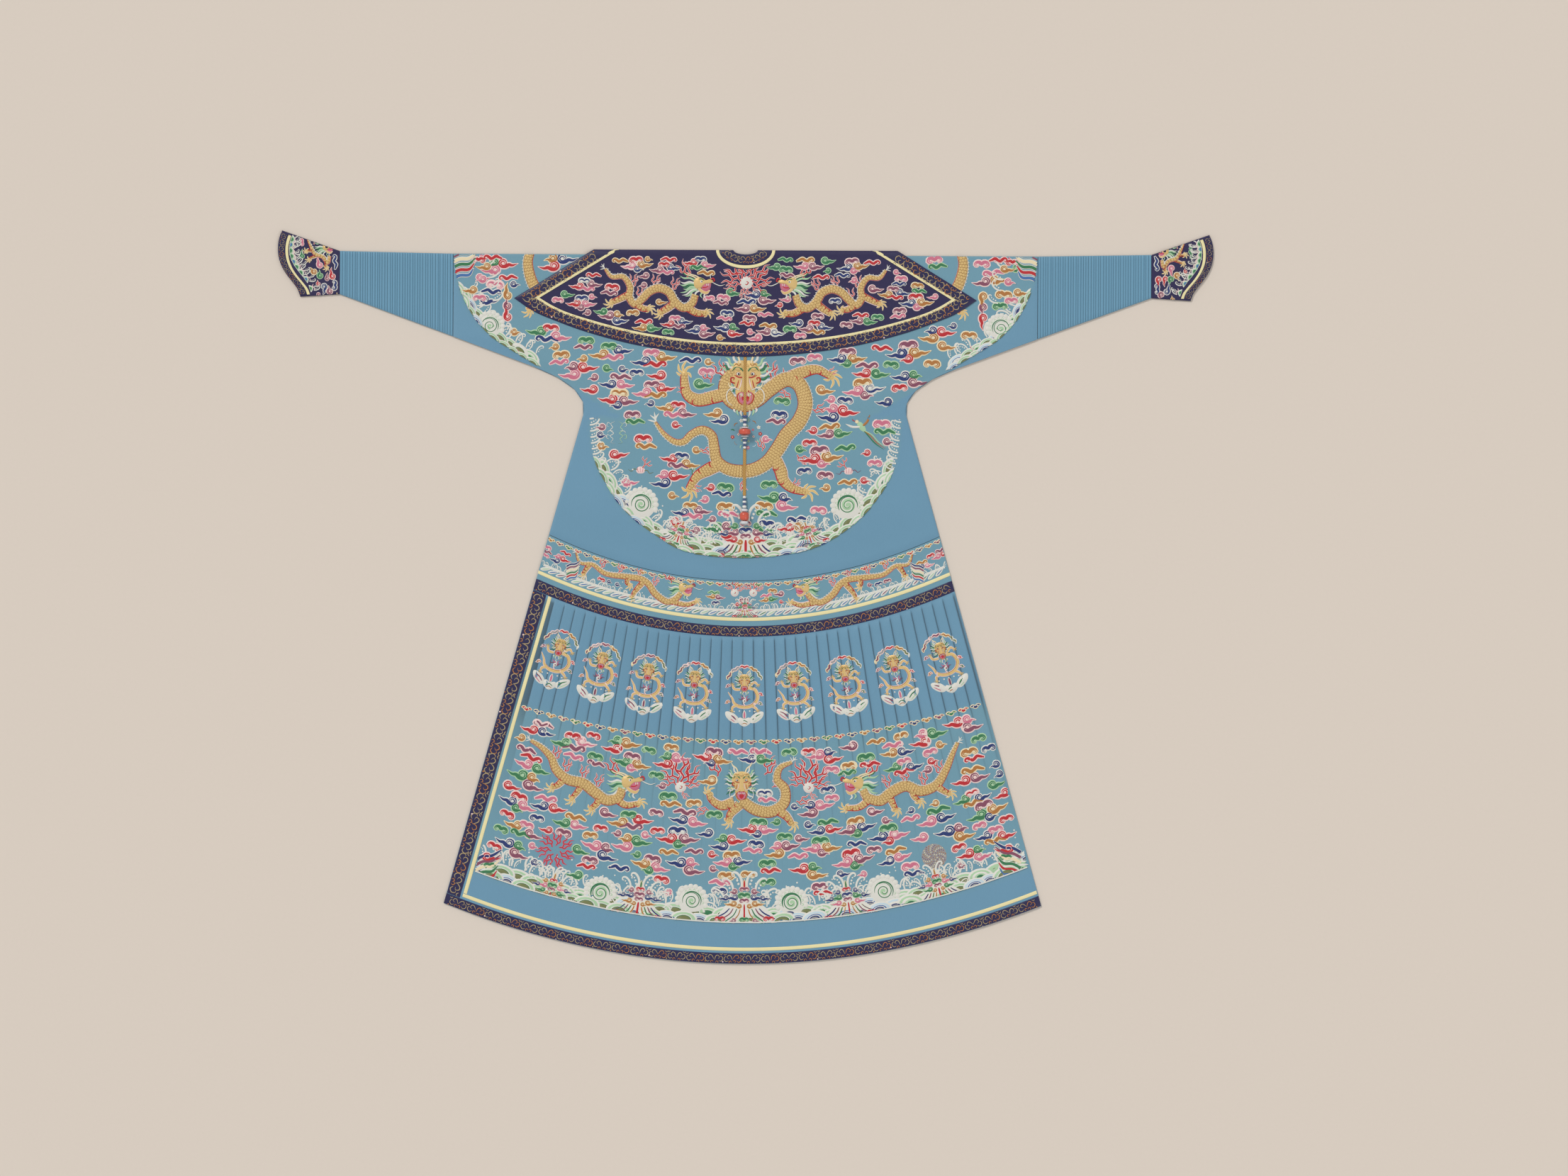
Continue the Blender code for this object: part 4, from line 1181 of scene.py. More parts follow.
def thread_material(name):
    """Silk floss or couched metal thread: fine stitches across each stroke, scale shading on bodies."""
    colour = THREADS[name]
    metal = "gold" in name
    nodes = Nodes("thread_" + name)
    wave = nodes.math("SINE", nodes.math("MULTIPLY", nodes.attribute("along"), 2 * math.pi / 0.8))
    fine = nodes.noise(1400, 2.0)
    base = nodes.mix(nodes.math("MULTIPLY", fine, 0.3), linear(colour), linear(scaled(colour, 0.7)))
    deep = Colour(colour.red * 0.6, colour.green * 0.47, colour.blue * 0.3) if metal else scaled(colour, 0.6)
    base = nodes.mix(nodes.attribute("shade"), base, linear(deep))
    return nodes.finish(base, 0.48 if metal else 0.55, wave, 0.25, 0.00008, Metallic=0.2 if metal else 0.0,
                        Sheen_Weight=0.1)


MATERIALS = {name: thread_material(name) for name in THREADS}


# Stitches and the pen that draws them

BASE_SECTION = np.array([(-1, -0.15), (-0.74, 1), (0.74, 1), (1, -0.15)])
TOP_SECTION = np.array([(-1, 0.0), (0, 1), (1, 0.0)])
LAYER_STEP = 0.003
LAYER_COUNT = 48


def along_cord(depth):
    """Whether a depth is one that the neck cord passes."""
    return np.any([(depth > stretch.start - 3) & (depth < stretch.end + 3) for stretch in CORD_STRETCHES], axis=0)


class Stitches:
    """Embroidery on one panel: points in garment millimetres with a lift off the cloth, and faces."""

    def __init__(self):
        self.points, self.faces, self.threads, self.extras = [], [], [], []
        self.count = 0

    def grid(self, side, depth, lift, thread, along=0.0, shade=0.0):
        """Adds one run of stitches, a hair higher than the one before so that no two share a face."""
        lift = lift + LAYER_STEP * (len(self.points) % LAYER_COUNT)
        side, depth, lift, along, shade = np.broadcast_arrays(side, depth, lift, along, shade)
        faces = grid_faces(*side.shape)
        self.points.append(np.stack([side, depth, lift], axis=-1).reshape(-1, 3))
        self.extras.append(np.stack([along, shade], axis=-1).reshape(-1, 2))
        self.faces.append(faces + self.count)
        self.threads.append(np.full(len(faces), THREAD_ORDER.index(thread)))
        self.count += side.size

    def stroke(self, line, half_widths, thread, rise, under=None):
        """A stroke along a line. With under it lies on a stroke of that rise, and is crowned."""
        flat = normals(line)
        offsets, shares = (BASE_SECTION if under is None else TOP_SECTION).T
        low = 0 if under is None else under - 0.05
        reach = np.array([0, *np.cumsum(np.linalg.norm(np.diff(line, axis=0), axis=1))])
        wide = half_widths[:, None] * offsets
        self.grid(line[:, :1] + flat[:, :1] * wide, line[:, 1:] + flat[:, 1:] * wide,
                  low + (rise - low) * shares, thread, reach[:, None])

    def finish(self, name, surface, slot, inside=None):
        """Lays the stitches on a surface as one piece, without what falls off it or outside a zone."""
        points, extras = np.vstack(self.points), np.vstack(self.extras)
        faces, threads = np.vstack(self.faces), np.concatenate(self.threads)
        keep = np.ones(len(points), bool) if inside is None else inside(points[:, 0], points[:, 1])
        heights = np.full(len(points), np.nan)
        heights[keep] = surface.height(points[keep, 0], points[keep, 1])
        kept = ~np.isnan(heights)
        chosen = kept[faces].all(axis=1)
        faces, threads = faces[chosen], threads[chosen]
        used, faces = np.unique(faces, return_inverse=True)
        faces = faces.reshape(-1, 4)
        points, extras, heights = points[used], extras[used], heights[used]
        lifts = np.where(along_cord(points[:, 1]),
                         np.minimum(points[:, 2], 0.2 + np.maximum(np.abs(points[:, 0]) - 3.4, 0)), points[:, 2])
        placed = place(points[:, 0], points[:, 1], heights + lifts)
        corners = placed[faces]
        turned = np.cross(corners[:, 2] - corners[:, 0], corners[:, 3] - corners[:, 1])[:, 2] < 0
        faces[turned] = faces[turned][:, ::-1]
        shown = sorted(set(threads.tolist()))
        indexes = np.searchsorted(shown, threads)
        made = make_object(name, placed, faces, [MATERIALS[THREAD_ORDER[index]] for index in shown], indexes, 60)
        for column, attribute in enumerate(("along", "shade")):
            layer = made.data.attributes.new(attribute, "FLOAT", "POINT")
            layer.data.foreach_set("value", extras[:, column].astype(np.float32))
        return dress(made, slot)


def swell(count, ends):
    """Share of a stroke's full width along it, from its start to its end."""
    t = np.linspace(0, 1, count)
    start = ends[0] + (1 - ends[0]) * np.sin(math.pi / 2 * np.clip(t / 0.3, 0, 1))
    end = ends[1] + (1 - ends[1]) * np.sin(math.pi / 2 * np.clip((1 - t) / 0.45, 0, 1))
    return np.minimum(start, end)


class Pen:
    """Draws on stitches from its own origin, turned, scaled and mirrored. x runs right and y down."""

    def __init__(self, stitches, side, depth, size=1.0, turn=0.0, flip=1):
        self.stitches, self.side, self.depth, self.size, self.turn, self.flip = stitches, side, depth, size, turn, flip

    def world(self, points):
        points = np.array(points, float) * self.size
        x, y = points[..., 0] * self.flip, points[..., 1]
        cos, sin = math.cos(self.turn), math.sin(self.turn)
        return np.stack([self.side + x * cos - y * sin, self.depth + x * sin + y * cos], axis=-1)

    def inner(self, x, y, size=1.0, turn=0.0, flip=1):
        side, depth = self.world((x, y))
        return Pen(self.stitches, side, depth, self.size * size, self.turn + turn * self.flip, self.flip * flip)

    def line(self, points, width, thread, rise=OUTLINE_RISE, ends=(0.2, 0.1), under=None, step=2.5):
        path = curve(self.world(points), step)
        if len(path) < 3:
            path = curve(self.world(points), step / 3)
        self.stitches.stroke(path, width * self.size / 2 * swell(len(path), ends), thread, rise, under)

    def outlined(self, points, width, thread, halo, border=CLOUD_BORDER, ends=(0.5, 0.1), step=2.5, rise=0.0):
        """A stroke on a wider, paler one that shows all round it. border is in millimetres."""
        path = curve(self.world(points), step)
        run = path[1] - path[0]
        first = path[0] - run / np.linalg.norm(run) * border * 0.8
        run = path[-1] - path[-2]
        last = path[-1] + run / np.linalg.norm(run) * border * 1.3
        path_wide = np.vstack([first, path, last])
        half = width * self.size / 2
        wide = half * swell(len(path_wide), ends) + border * swell(len(path_wide), (0.35, 0.2))
        self.stitches.stroke(path_wide, wide, halo, OUTLINE_RISE + rise)
        self.stitches.stroke(path, half * swell(len(path), ends), thread, FILL_RISE + rise, OUTLINE_RISE + rise)

    def patch(self, points, thread, rise=OUTLINE_RISE, smooth_step=2.0, dome=0.15):
        """A filled shape with a smooth outline round its middle."""
        ring = curve([*points, points[0]], smooth_step / self.size) if smooth_step else np.array([*points, points[0]])
        middle = np.mean(ring[:-1], axis=0)
        flat = dome < 0.2
        shares = np.array([1, 0.88, 0.001] if flat else [1, 0.86, 0.45, 0.001])[:, None, None]
        grid = self.world(middle + (ring - middle) * shares)
        lifts = np.array([-0.1, rise, rise + dome] if flat else [-0.1, rise, rise + dome * 0.8, rise + dome])[:, None]
        self.stitches.grid(grid[..., 0], grid[..., 1], lifts, thread)

    def disc(self, x, y, radius, thread, rise=OUTLINE_RISE, tall=1.0, dome=0.15, points=14):
        turns = np.linspace(0, 2 * math.pi, points, endpoint=False)
        ring = [(x + radius * math.cos(turn), y + radius * tall * math.sin(turn)) for turn in turns]
        self.patch(ring, thread, rise, None, dome)


# Clouds

CLOUD_SHAPES = {
    "comma": [(0.2, 0.12), (0.5, -0.2), (0.1, -0.65), (-0.6, -0.6), (-1.0, 0.05), (-0.5, 0.7), (0.4, 0.75),
              (1.3, 0.35), (2.2, 0.5), (3.4, 0.1)],
    "arch": [(-0.75, 0.2), (-1.2, 0.45), (-1.75, 0.05), (-1.4, -0.55), (-0.6, -0.65), (0, -0.25), (0.6, -0.65),
             (1.4, -0.55), (1.75, 0.05), (1.2, 0.45), (0.75, 0.2)],
    "wave": [(-3.6, 0.3), (-2.6, -0.1), (-1.6, -0.5), (-0.7, 0.05), (0.1, 0.35), (0.9, -0.3), (1.8, -0.55),
             (2.3, 0.05), (1.8, 0.45), (1.3, 0.15)],
    "hook": [(0.1, 0.18), (0.45, -0.12), (0.1, -0.6), (-0.55, -0.5), (-0.9, 0.1), (-0.5, 0.7), (0.4, 0.75),
             (1.2, 0.3), (2.0, 0.5)],
}
CloudPiece = namedtuple("CloudPiece", "shape x y size flip colour")
CLOUD_GROUPS = [
    [CloudPiece("arch", -1, -10, 7.6, 1, 0), CloudPiece("comma", -12, 1, 7.4, -1, 1),
     CloudPiece("comma", 12, 0, 7.4, 1, 2), CloudPiece("hook", 1, 10, 6.4, 1, 3)],
    [CloudPiece("comma", -9, -6, 7.6, -1, 0), CloudPiece("hook", 10, -8, 6.8, 1, 2),
     CloudPiece("comma", 9, 6, 7.6, 1, 1)],
    [CloudPiece("wave", -4, -7, 6.6, 1, 0), CloudPiece("comma", -10, 6, 7, -1, 1),
     CloudPiece("comma", 10, 7, 7, 1, 2)],
    [CloudPiece("arch", 0, -4, 7.4, 1, 0), CloudPiece("wave", 2, 8, 6, -1, 1)],
    [CloudPiece("comma", -15, -5, 7, -1, 0), CloudPiece("arch", 3, -10, 6.6, 1, 1),
     CloudPiece("comma", 14, 2, 7, 1, 2), CloudPiece("wave", -6, 8, 6.4, -1, 3)],
    [CloudPiece("comma", -4, 0, 7.4, 1, 0)],
    [CloudPiece("wave", 0, 0, 6.6, 1, 0)],
    [CloudPiece("hook", -3, 0, 7, 1, 0)],
    [CloudPiece("arch", 0, 0, 7.2, 1, 0)],
]


CLOUD_HEADS = {
    "comma": [(-0.25, 0.05, 0.75)],
    "arch": [(-1.15, -0.05, 0.6), (1.15, -0.05, 0.6)],
    "wave": [(1.7, -0.05, 0.55)],
    "hook": [(-0.2, 0.1, 0.65)],
}
CURL_POINTS = {"comma": 6, "arch": 4, "wave": 0, "hook": 6}


def cloud_piece(pen, shape, x, y, size, flip, colour, rise=0.0):
    """One lobe of a cloud: a thick curl on a pale border, with a thin pale line in its head."""
    fill, halo = CLOUD_COLOURS[colour % len(CLOUD_COLOURS)]
    inner = pen.inner(x, y, size, 0, flip)
    border = CLOUD_BORDER * min(1, size * pen.size / 7)
    for head_x, head_y, radius in CLOUD_HEADS[shape]:
        inner.disc(head_x, head_y, radius, halo, OUTLINE_RISE + rise, points=9)
    inner.outlined(CLOUD_SHAPES[shape], 1.06, fill, halo, border, step=min(2.6, 0.33 * size * pen.size), rise=rise)
    points = CLOUD_SHAPES[shape]
    for curl in (points[:CURL_POINTS[shape]], points[-1:-1 - CURL_POINTS[shape]:-1] if shape == "arch" else []):
        if curl:
            inner.line(curl, 0.2, halo, FILL_RISE + rise + 0.2, (0.9, 0.3), FILL_RISE + rise - 0.1, 1.4)


def cloud(pen, group, colours, rise=0.0):
    for order, piece in enumerate(group):
        cloud_piece(pen, piece.shape, piece.x, piece.y, piece.size, piece.flip, colours[piece.colour],
                    rise + 0.06 * order)


# Dragons

def scale_shade(along, across):
    """1 on the lower edge of each scale, 0 on its face."""
    row = np.floor(along)
    part = along - row
    offset = across + 0.5 * (row % 2)
    aside = offset - np.floor(offset) - 0.5
    edge = part - 0.12 - 2.2 * aside * aside
    return np.exp(-((edge / 0.16) ** 2))


def scaled_body(stitches, points, widths, back=1, fins=True, rise=0.0):
    """A dragon's body along a line: scaled gold, a pale outline, a red belly line and fins on its back."""
    line = curve(points, 1.5)
    reach = np.array([0, *np.cumsum(np.linalg.norm(np.diff(line, axis=0), axis=1))])
    half = np.interp(reach / reach[-1], np.linspace(0, 1, len(widths)), widths) / 2
    flat = normals(line) * back
    border = np.minimum(1.5, half * 0.4)
    stitches.stroke(line, half + border, "pale_pink", OUTLINE_RISE + rise)
    columns = int(max(half) * 2 / 1.9) + 3
    offsets = np.linspace(-1, 1, columns)
    wide = half[:, None] * offsets
    shade = scale_shade(reach[:, None] / SCALE_PITCH, wide / SCALE_PITCH)
    crown = np.sqrt(np.maximum(1 - offsets * offsets, 0))
    lift = OUTLINE_RISE + rise + (BODY_RISE - OUTLINE_RISE) * crown * np.minimum(half / 8, 1)[:, None] - 0.14 * shade
    # The scale edges are darker thread of the pattern; the darkening towards the body's sides is painted shade where
    # the body rounds off.
    shade = np.clip(shade * 0.95 + 0.4 * np.abs(offsets) ** 6, 0, 1)
    stitches.grid(line[:, :1] + flat[:, :1] * wide, line[:, 1:] + flat[:, 1:] * wide, lift, "gold",
                  reach[:, None], shade)
    belly = line - flat * (half + border * 0.4)[:, None]
    stitches.stroke(belly, np.full(len(line), 0.45), "red", OUTLINE_RISE + rise + 0.35, OUTLINE_RISE + rise)
    if fins:
        edge = line + flat * (half + border * 0.5)[:, None]
        stitches.stroke(edge, np.full(len(line), 0.6), "white", OUTLINE_RISE + rise + 0.4, OUTLINE_RISE + rise)
        for index in range(2, len(line) - 2, 4):
            base = edge[index]
            run = (edge[index + 1] - edge[index - 1]) / 2
            run = run / max(np.linalg.norm(run), 1e-6)
            tip = base + flat[index] * 2.6 + run * 1.4
            stitches.stroke(np.array([base, (base + tip) / 2, tip]), np.array([1.1, 0.8, 0.15]), "white",
                            OUTLINE_RISE + rise + 0.3)


def claw(pen, rise=0.0):
    """A spread foot with five talons, reaching along x."""
    for angle, length in ((-95, 11), (-48, 15), (-6, 17), (36, 15), (105, 10)):
        cos, sin = math.cos(math.radians(angle)), math.sin(math.radians(angle))
        bend = 0.25
        tip = (length * cos - bend * length * sin, length * sin + bend * length * cos)
        middle = (length * 0.55 * cos + 1.6 * sin, length * 0.55 * sin - 1.6 * cos)
        pen.outlined([(0, 0), middle, tip], 2.9, "gold", "cream", 0.6, (0.9, 0.25), 1.8, rise)
    pen.disc(0, 0, 4.2, "gold", FILL_RISE + rise + 0.2)


def wisps(pen, rise=0.0):
    """Hair at a joint: three wavy strokes."""
    for shift, length, thread in ((-3, 22, "pale_green"), (0, 27, "white"), (3, 20, "green")):
        pen.line([(shift, 0), (shift + 2.5, length * 0.35), (shift - 2.5, length * 0.7), (shift + 1.5, length)], 2.0,
                 thread, OUTLINE_RISE + rise, (0.8, 0.1), None, 2.0)


def leg(stitches, points, widths, turn, size=1.0, rise=0.3, back=1):
    """A scaled leg along a line, with red flames on its edge, ending in a foot that points at an angle."""
    scaled_body(stitches, points, widths, back, False, rise)
    line = curve(points, 1.5)
    flat = normals(line) * back
    half = np.interp(np.linspace(0, 1, len(line)), np.linspace(0, 1, len(widths)), widths) / 2
    edge = line - flat * half[:, None]
    stitches.stroke(edge[:-2], np.full(len(edge) - 2, 0.95 * size), "red", OUTLINE_RISE + rise + 0.5,
                    OUTLINE_RISE + rise)
    for share in (0.2, 0.5, 0.75):
        index = int(share * len(line))
        start, ahead = edge[index], line[min(index + 3, len(line) - 1)] - line[index]
        hook = np.array([start, start + flat[index] * half[index] * 0.5 + ahead * 0.5,
                         start + flat[index] * half[index] * 1.05 - ahead * 0.1])
        stitches.stroke(curve(hook, 1.4), 0.95 * size * swell(len(curve(hook, 1.4)), (0.9, 0.2)), "red",
                        OUTLINE_RISE + rise + BODY_RISE, OUTLINE_RISE + rise + 0.9)
    claw(Pen(stitches, *points[-1], size, math.radians(turn)), rise)


FLAME_TREE = [
    [(0, 0), (4, -7), (0, -15), (5, -23), (2, -33), (6, -40)],
    [(3, -5), (10, -9), (9, -18), (14, -26)],
    [(0.5, -14), (-7, -17), (-6, -26), (-12, -33)],
    [(4, -22), (10, -26), (9, -33)],
]


def flame(pen, rise=0.0, halo="pale_pink"):
    for path in FLAME_TREE:
        pen.outlined(path, 2.7, "red", halo, 0.8, (0.9, 0.1), 2.2, rise)


def pearl(pen, radius, rays):
    """A flaming pearl: a white disc with a red comma, and flames at the given angles in degrees."""
    for angle, size in rays:
        turn = math.radians(angle)
        x, y = radius * 0.95 * math.sin(turn), -radius * 0.95 * math.cos(turn)
        flame(pen.inner(x, y, size, turn))
    pen.disc(0, 0, radius + 1.2, "pale_pink", OUTLINE_RISE, points=24)
    pen.disc(0, 0, radius, "white", DETAIL_RISE, dome=0.8, points=24)
    pen.line([(0, -radius * 0.2), (radius * 0.3, 0), (0, radius * 0.35), (-radius * 0.25, radius * 0.2)],
             radius * 0.3, "red", DETAIL_RISE + 1.1, (0.8, 0.2), DETAIL_RISE + 0.4, 1.0)


def mane(pen, roots, length, threads, rise=0.0):
    """Hair strokes from roots, each (x, y, degrees), wavy and pointed."""
    for index, (x, y, angle) in enumerate(roots):
        strand = pen.inner(x, y, 1, math.radians(angle))
        reach = length * (1 - 0.12 * (index % 3))
        strand.line([(0, 0), (reach * 0.35, 1.6), (reach * 0.7, -1.2), (reach, 0.8)], 3.2,
                    threads[index % len(threads)], OUTLINE_RISE + rise + 0.1 * (index % 3), (0.9, 0.05), None, 2.0)


def head_profile(pen, rise=0.5):
    """A dragon's head in profile, looking along x, about fifty wide and forty tall."""
    roots = [(-6, -7, 196), (-7, -3, 183), (-7, 1, 172), (-5, 5, 162), (-2, 8, 150), (2, 9, 136), (-4, -9, 207),
             (-8, -1, 177), (-6, 3, 167), (-3, 7, 156)]
    mane(pen, roots, 27, ("pale_green", "white", "green", "pale_green"), rise * 0.4)
    for x, y in ((-3, -10), (2, -11)):
        pen.line([(x, y), (x - 7, y - 4), (x - 17, y - 7), (x - 21, y - 10)], 2.4, "cream", OUTLINE_RISE + rise,
                 (0.9, 0.3), None, 1.6)
    pen.line([(7, 12), (3, 17), (6, 22)], 2.6, "pale_green", OUTLINE_RISE + rise, (0.8, 0.1), None, 1.6)
    pen.line([(11, 13), (9, 19), (13, 23)], 2.6, "white", OUTLINE_RISE + rise, (0.8, 0.1), None, 1.6)
    pen.patch([(4, 1), (12, -3), (20, -3), (19, 6), (13, 11), (6, 8)], "pink", FILL_RISE + rise)
    pen.line([(6, 4), (12, 4), (17, 1)], 2.4, "red", DETAIL_RISE + rise + 0.2, (0.8, 0.2), FILL_RISE + rise, 1.4)
    pen.outlined([(0, 6), (6, 11), (13, 13), (18, 9)], 4.6, "gold", "pale_pink", 0.9, (0.9, 0.3), 1.5, rise + 0.2)
    pen.patch([(-9, -3), (-7, -10), (0, -13), (7, -11), (12, -8), (19, -10), (24, -6), (21, -3), (13, -2), (8, 1),
               (4, 5), (-3, 7), (-8, 3)], "gold", DETAIL_RISE + rise, 1.4, 0.9)
    pen.line([(20, -9), (24, -11), (26, -7), (23, -5)], 2.2, "red", DETAIL_RISE + rise + 0.6, (0.7, 0.4),
             DETAIL_RISE + rise, 1.2)
    pen.line([(0, -9), (5, -10), (9, -7)], 1.8, "green", DETAIL_RISE + rise + 1.1, (0.5, 0.3),
             DETAIL_RISE + rise + 0.5, 1.2)
    pen.disc(4.5, -5.5, 2.3, "white", DETAIL_RISE + rise + 1.1)
    pen.disc(5.1, -5.4, 1.1, "black", DETAIL_RISE + rise + 1.5)
    for x in (13, 16):
        pen.line([(x, -2), (x + 0.3, 0.5), (x + 0.2, 2)], 1.5, "white", DETAIL_RISE + rise + 0.4, (0.9, 0.2),
                 FILL_RISE + rise, 1.0)
    pen.line([(22, -5), (29, -1), (36, 1), (44, -1)], 1.5, "white", OUTLINE_RISE + rise, (0.8, 0.2), None, 2.0)
    pen.line([(21, -9), (19, -15), (23, -19)], 1.3, "white", OUTLINE_RISE + rise, (0.8, 0.2), None, 1.6)


def head_front(pen, rise=0.5, whiskers=True):
    """A dragon's head seen from the front, about sixty wide and eighty tall with its mane."""
    for flip in (-1, 1):
        half = pen.inner(0, 0, 1, 0, flip)
        roots = [(11, -30, -62), (15, -26, -45), (18, -20, -30), (19, -13, -16), (19, -6, -4), (17, 0, 10),
                 (15, 6, 26), (13, 12, 42), (17, -23, -38), (18, -17, -23), (18, -9, -10), (16, 3, 18)]
        mane(half, roots, 19, ("white", "pale_green", "green", "white"), rise * 0.4)
        half.line([(7, -30), (11, -40), (19, -47), (22, -54)], 3.0, "cream", OUTLINE_RISE + rise, (0.9, 0.3), None,
                  1.8)
        for x, drop in ((3, 14), (8, 12), (12, 8)):
            half.line([(x, 28), (x + 3, 28 + drop * 0.5), (x + 1, 28 + drop)], 3.0,
                      ("white", "pale_green")[x == 8], OUTLINE_RISE + rise * 0.6, (0.9, 0.1), None, 1.8)
    pen.patch([(0, -34), (12, -32), (20, -24), (21, -14), (19, -5), (14, 2), (13, 12), (10, 24), (0, 30), (-10, 24),
               (-13, 12), (-14, 2), (-19, -5), (-21, -14), (-20, -24), (-12, -32)], "gold", FILL_RISE + rise, 1.8, 0.7)
    pen.patch([(0, 7), (8, 8), (10, 14), (8, 22), (0, 27), (-8, 22), (-10, 14), (-8, 8)], "pink",
              DETAIL_RISE + rise + 0.5, 1.6)
    pen.patch([(-5, 14), (5, 14), (4.5, 20), (0, 24), (-4.5, 20)], "red", DETAIL_RISE + rise + 0.9, 1.4)
    top = DETAIL_RISE + rise + 0.7
    pen.line([(0, -22), (0, -10), (0, 8)], 8.5, "gold", top + 1.1, (0.5, 1.0), top, 1.5)
    pen.disc(0, -27, 4.4, "gold", top + 0.3, 0.8, 0.8)
    for flip in (-1, 1):
        half = pen.inner(0, 0, 1, 0, flip)
        half.disc(10, -24, 7, "gold", top + 0.1, 0.72, 0.9)
        half.line([(3, -19), (7, -23), (13, -24), (18, -19)], 2.0, "green", top + 1.2, (0.6, 0.2), top + 0.6, 1.5)
        half.line([(6, -29), (9, -26), (12, -29), (15, -26)], 1.0, "tan", top + 1.4, (0.6, 0.2), top + 0.9, 1.5)
        half.disc(9.5, -15.5, 3.6, "tan", top + 0.2, 0.8)
        half.disc(9.5, -15.5, 2.8, "white", top + 0.5, 0.8)
        half.disc(9, -15.2, 1.5, "black", top + 0.9)
        half.line([(4, -11), (9, -11), (15, -14)], 1.5, "red", top + 0.4, (0.6, 0.2), top, 1.5)
        half.line([(5.2, -9), (6.2, -2), (8.6, 5)], 1.6, "pale_pink", top + 0.3, (0.5, 0.5), top - 0.3, 1.5)
        half.line([(9, -7), (10.5, -1), (12, 4)], 1.3, "red", top + 0.1, (0.5, 0.3), top - 0.5, 1.5)
        half.line([(14, -3), (19, -5), (19, -10), (15, -10), (16, -7)], 1.8, "red", top + 0.4, (0.7, 0.4), top - 0.6,
                  1.4)
        half.line([(13, 2), (20, 2), (23, -4)], 2.2, "cream", top, (0.7, 0.2), None, 1.5)
        half.disc(4.4, 6.5, 3.2, "gold", top + 0.9, 0.85, 0.7)
        half.disc(4.2, 7.6, 1.2, "red", top + 1.6)
        half.line([(8, 9.5), (11, 14), (8.5, 22), (3, 26)], 1.5, "red", top + 0.5, (0.6, 0.4), top, 1.6)
        for x, drop in ((2, 3), (4.6, 4.4), (7, 3)):
            half.line([(x, 10.5), (x, 10.5 + drop * 0.5), (x - 0.3, 10.5 + drop)], 1.7, "white", top + 1.0,
                      (0.9, 0.2), top + 0.2, 1.0)
        if whiskers:
            half.line([(8, 6), (17, 3), (24, 9), (24, 20), (17, 27)], 1.6, "white", top + 0.3, (0.8, 0.2), None, 1.8)


# Waves, foam and hills

Band = namedtuple("Band", "share thread")
WAVE_BLUE = [Band(1, "white"), Band(0.86, "pale_blue"), Band(0.66, "white"), Band(0.6, "blue"), Band(0.5, "white"),
             Band(0.42, "navy"), Band(0.3, "grey")]
WAVE_GREEN = [Band(1, "white"), Band(0.86, "pale_green"), Band(0.64, "white"), Band(0.56, "green"),
              Band(0.5, "olive")]
WAVE_PALE = [Band(1, "white"), Band(0.84, "pale_green"), Band(0.66, "white"), Band(0.46, "pale_green"),
             Band(0.3, "green")]


def half_round(radius, tall, count=10):
    turns = np.linspace(-0.1, math.pi + 0.1, count)
    return [(radius * math.cos(turn), -radius * tall * math.sin(turn)) for turn in turns]


def hill(pen, radius, bands, rise=0.0, tall=0.62):
    """A hill of water in bands of colour, rounded at the top."""
    for order, band in enumerate(bands):
        pen.patch(half_round(radius * band.share, tall), band.thread, OUTLINE_RISE + rise + 0.05 * order, None, 0.01)


def arc_points(radius, start, end, count):
    """Points on an arc between two angles in degrees, 0 to the right and 90 down."""
    turns = np.radians(np.linspace(start, end, count))
    return np.stack([radius * np.cos(turns), radius * np.sin(turns)], axis=1)


def spiral_wave(pen, radius):
    """A curling wave: a scalloped rim, green ticks, a crescent and a spiral."""
    for step in range(12):
        x, y = arc_points(radius * 1.02, 160 + 19 * step, 0, 1)[0]
        pen.disc(x, y, radius * 0.2, "white", OUTLINE_RISE + 0.2 + 0.06 * (step % 2), dome=0.6, points=10)
    pen.disc(0, 0, radius, "white", OUTLINE_RISE + 0.5, points=30)
    for step in range(10):
        turn = math.radians(170 + 22 * step)
        tick = pen.inner(radius * 0.84 * math.cos(turn), radius * 0.84 * math.sin(turn), radius / 26, turn)
        tick.line([(-3, -2.6), (0.6, 0), (-3, 2.6)], 1.7, "pale_green", DETAIL_RISE, (0.5, 0.5), 0.9, 1.6)
    pen.line(arc_points(radius * 0.66, 150, 372, 16), radius * 0.17, "green", DETAIL_RISE + 0.3, (0.2, 0.2), 0.9, 2.0)
    pen.disc(0, 0, radius * 0.56, "pale_green", DETAIL_RISE, points=26)
    turns = np.linspace(0.3, 3.7 * math.pi, 30)
    for shift, width, thread, rise in ((0.0, 0.14, "white", 0.5), (0.085, 0.075, "green", 0.6)):
        shares = radius * (0.03 + 0.5 * turns / turns[-1] + shift)
        path = np.stack([shares * np.cos(turns), shares * np.sin(turns)], axis=1)
        pen.line(path, radius * width, thread, DETAIL_RISE + rise, (0.5, 0.3), DETAIL_RISE, 1.8)


def shore(stitches, line, rise=2.0):
    """The white border where the water ends."""
    stitches.stroke(line, np.full(len(line), 1.5), "white", rise)


def foam(pen, height, rise=0.0):
    """A finger of foam with a curled tip and knobs along one side, rising against y."""
    share = height / 24
    stem = [(0, 2), (1.5, -7), (0, -15), (-4.5, -21), (-9.5, -21.5), (-11, -17.5), (-8, -16.5)]
    pen.line(np.array(stem) * share, 3.8 * share, "white", OUTLINE_RISE + 0.2 + rise, (0.8, 0.45), None, 2.2)
    for x, y, radius in ((-3.6, -5, 1.9), (-4.6, -10, 1.8), (-6.2, -14.6, 1.5)):
        pen.disc(x * share, y * share, radius * share, "white", OUTLINE_RISE + 0.15 + rise, points=6)


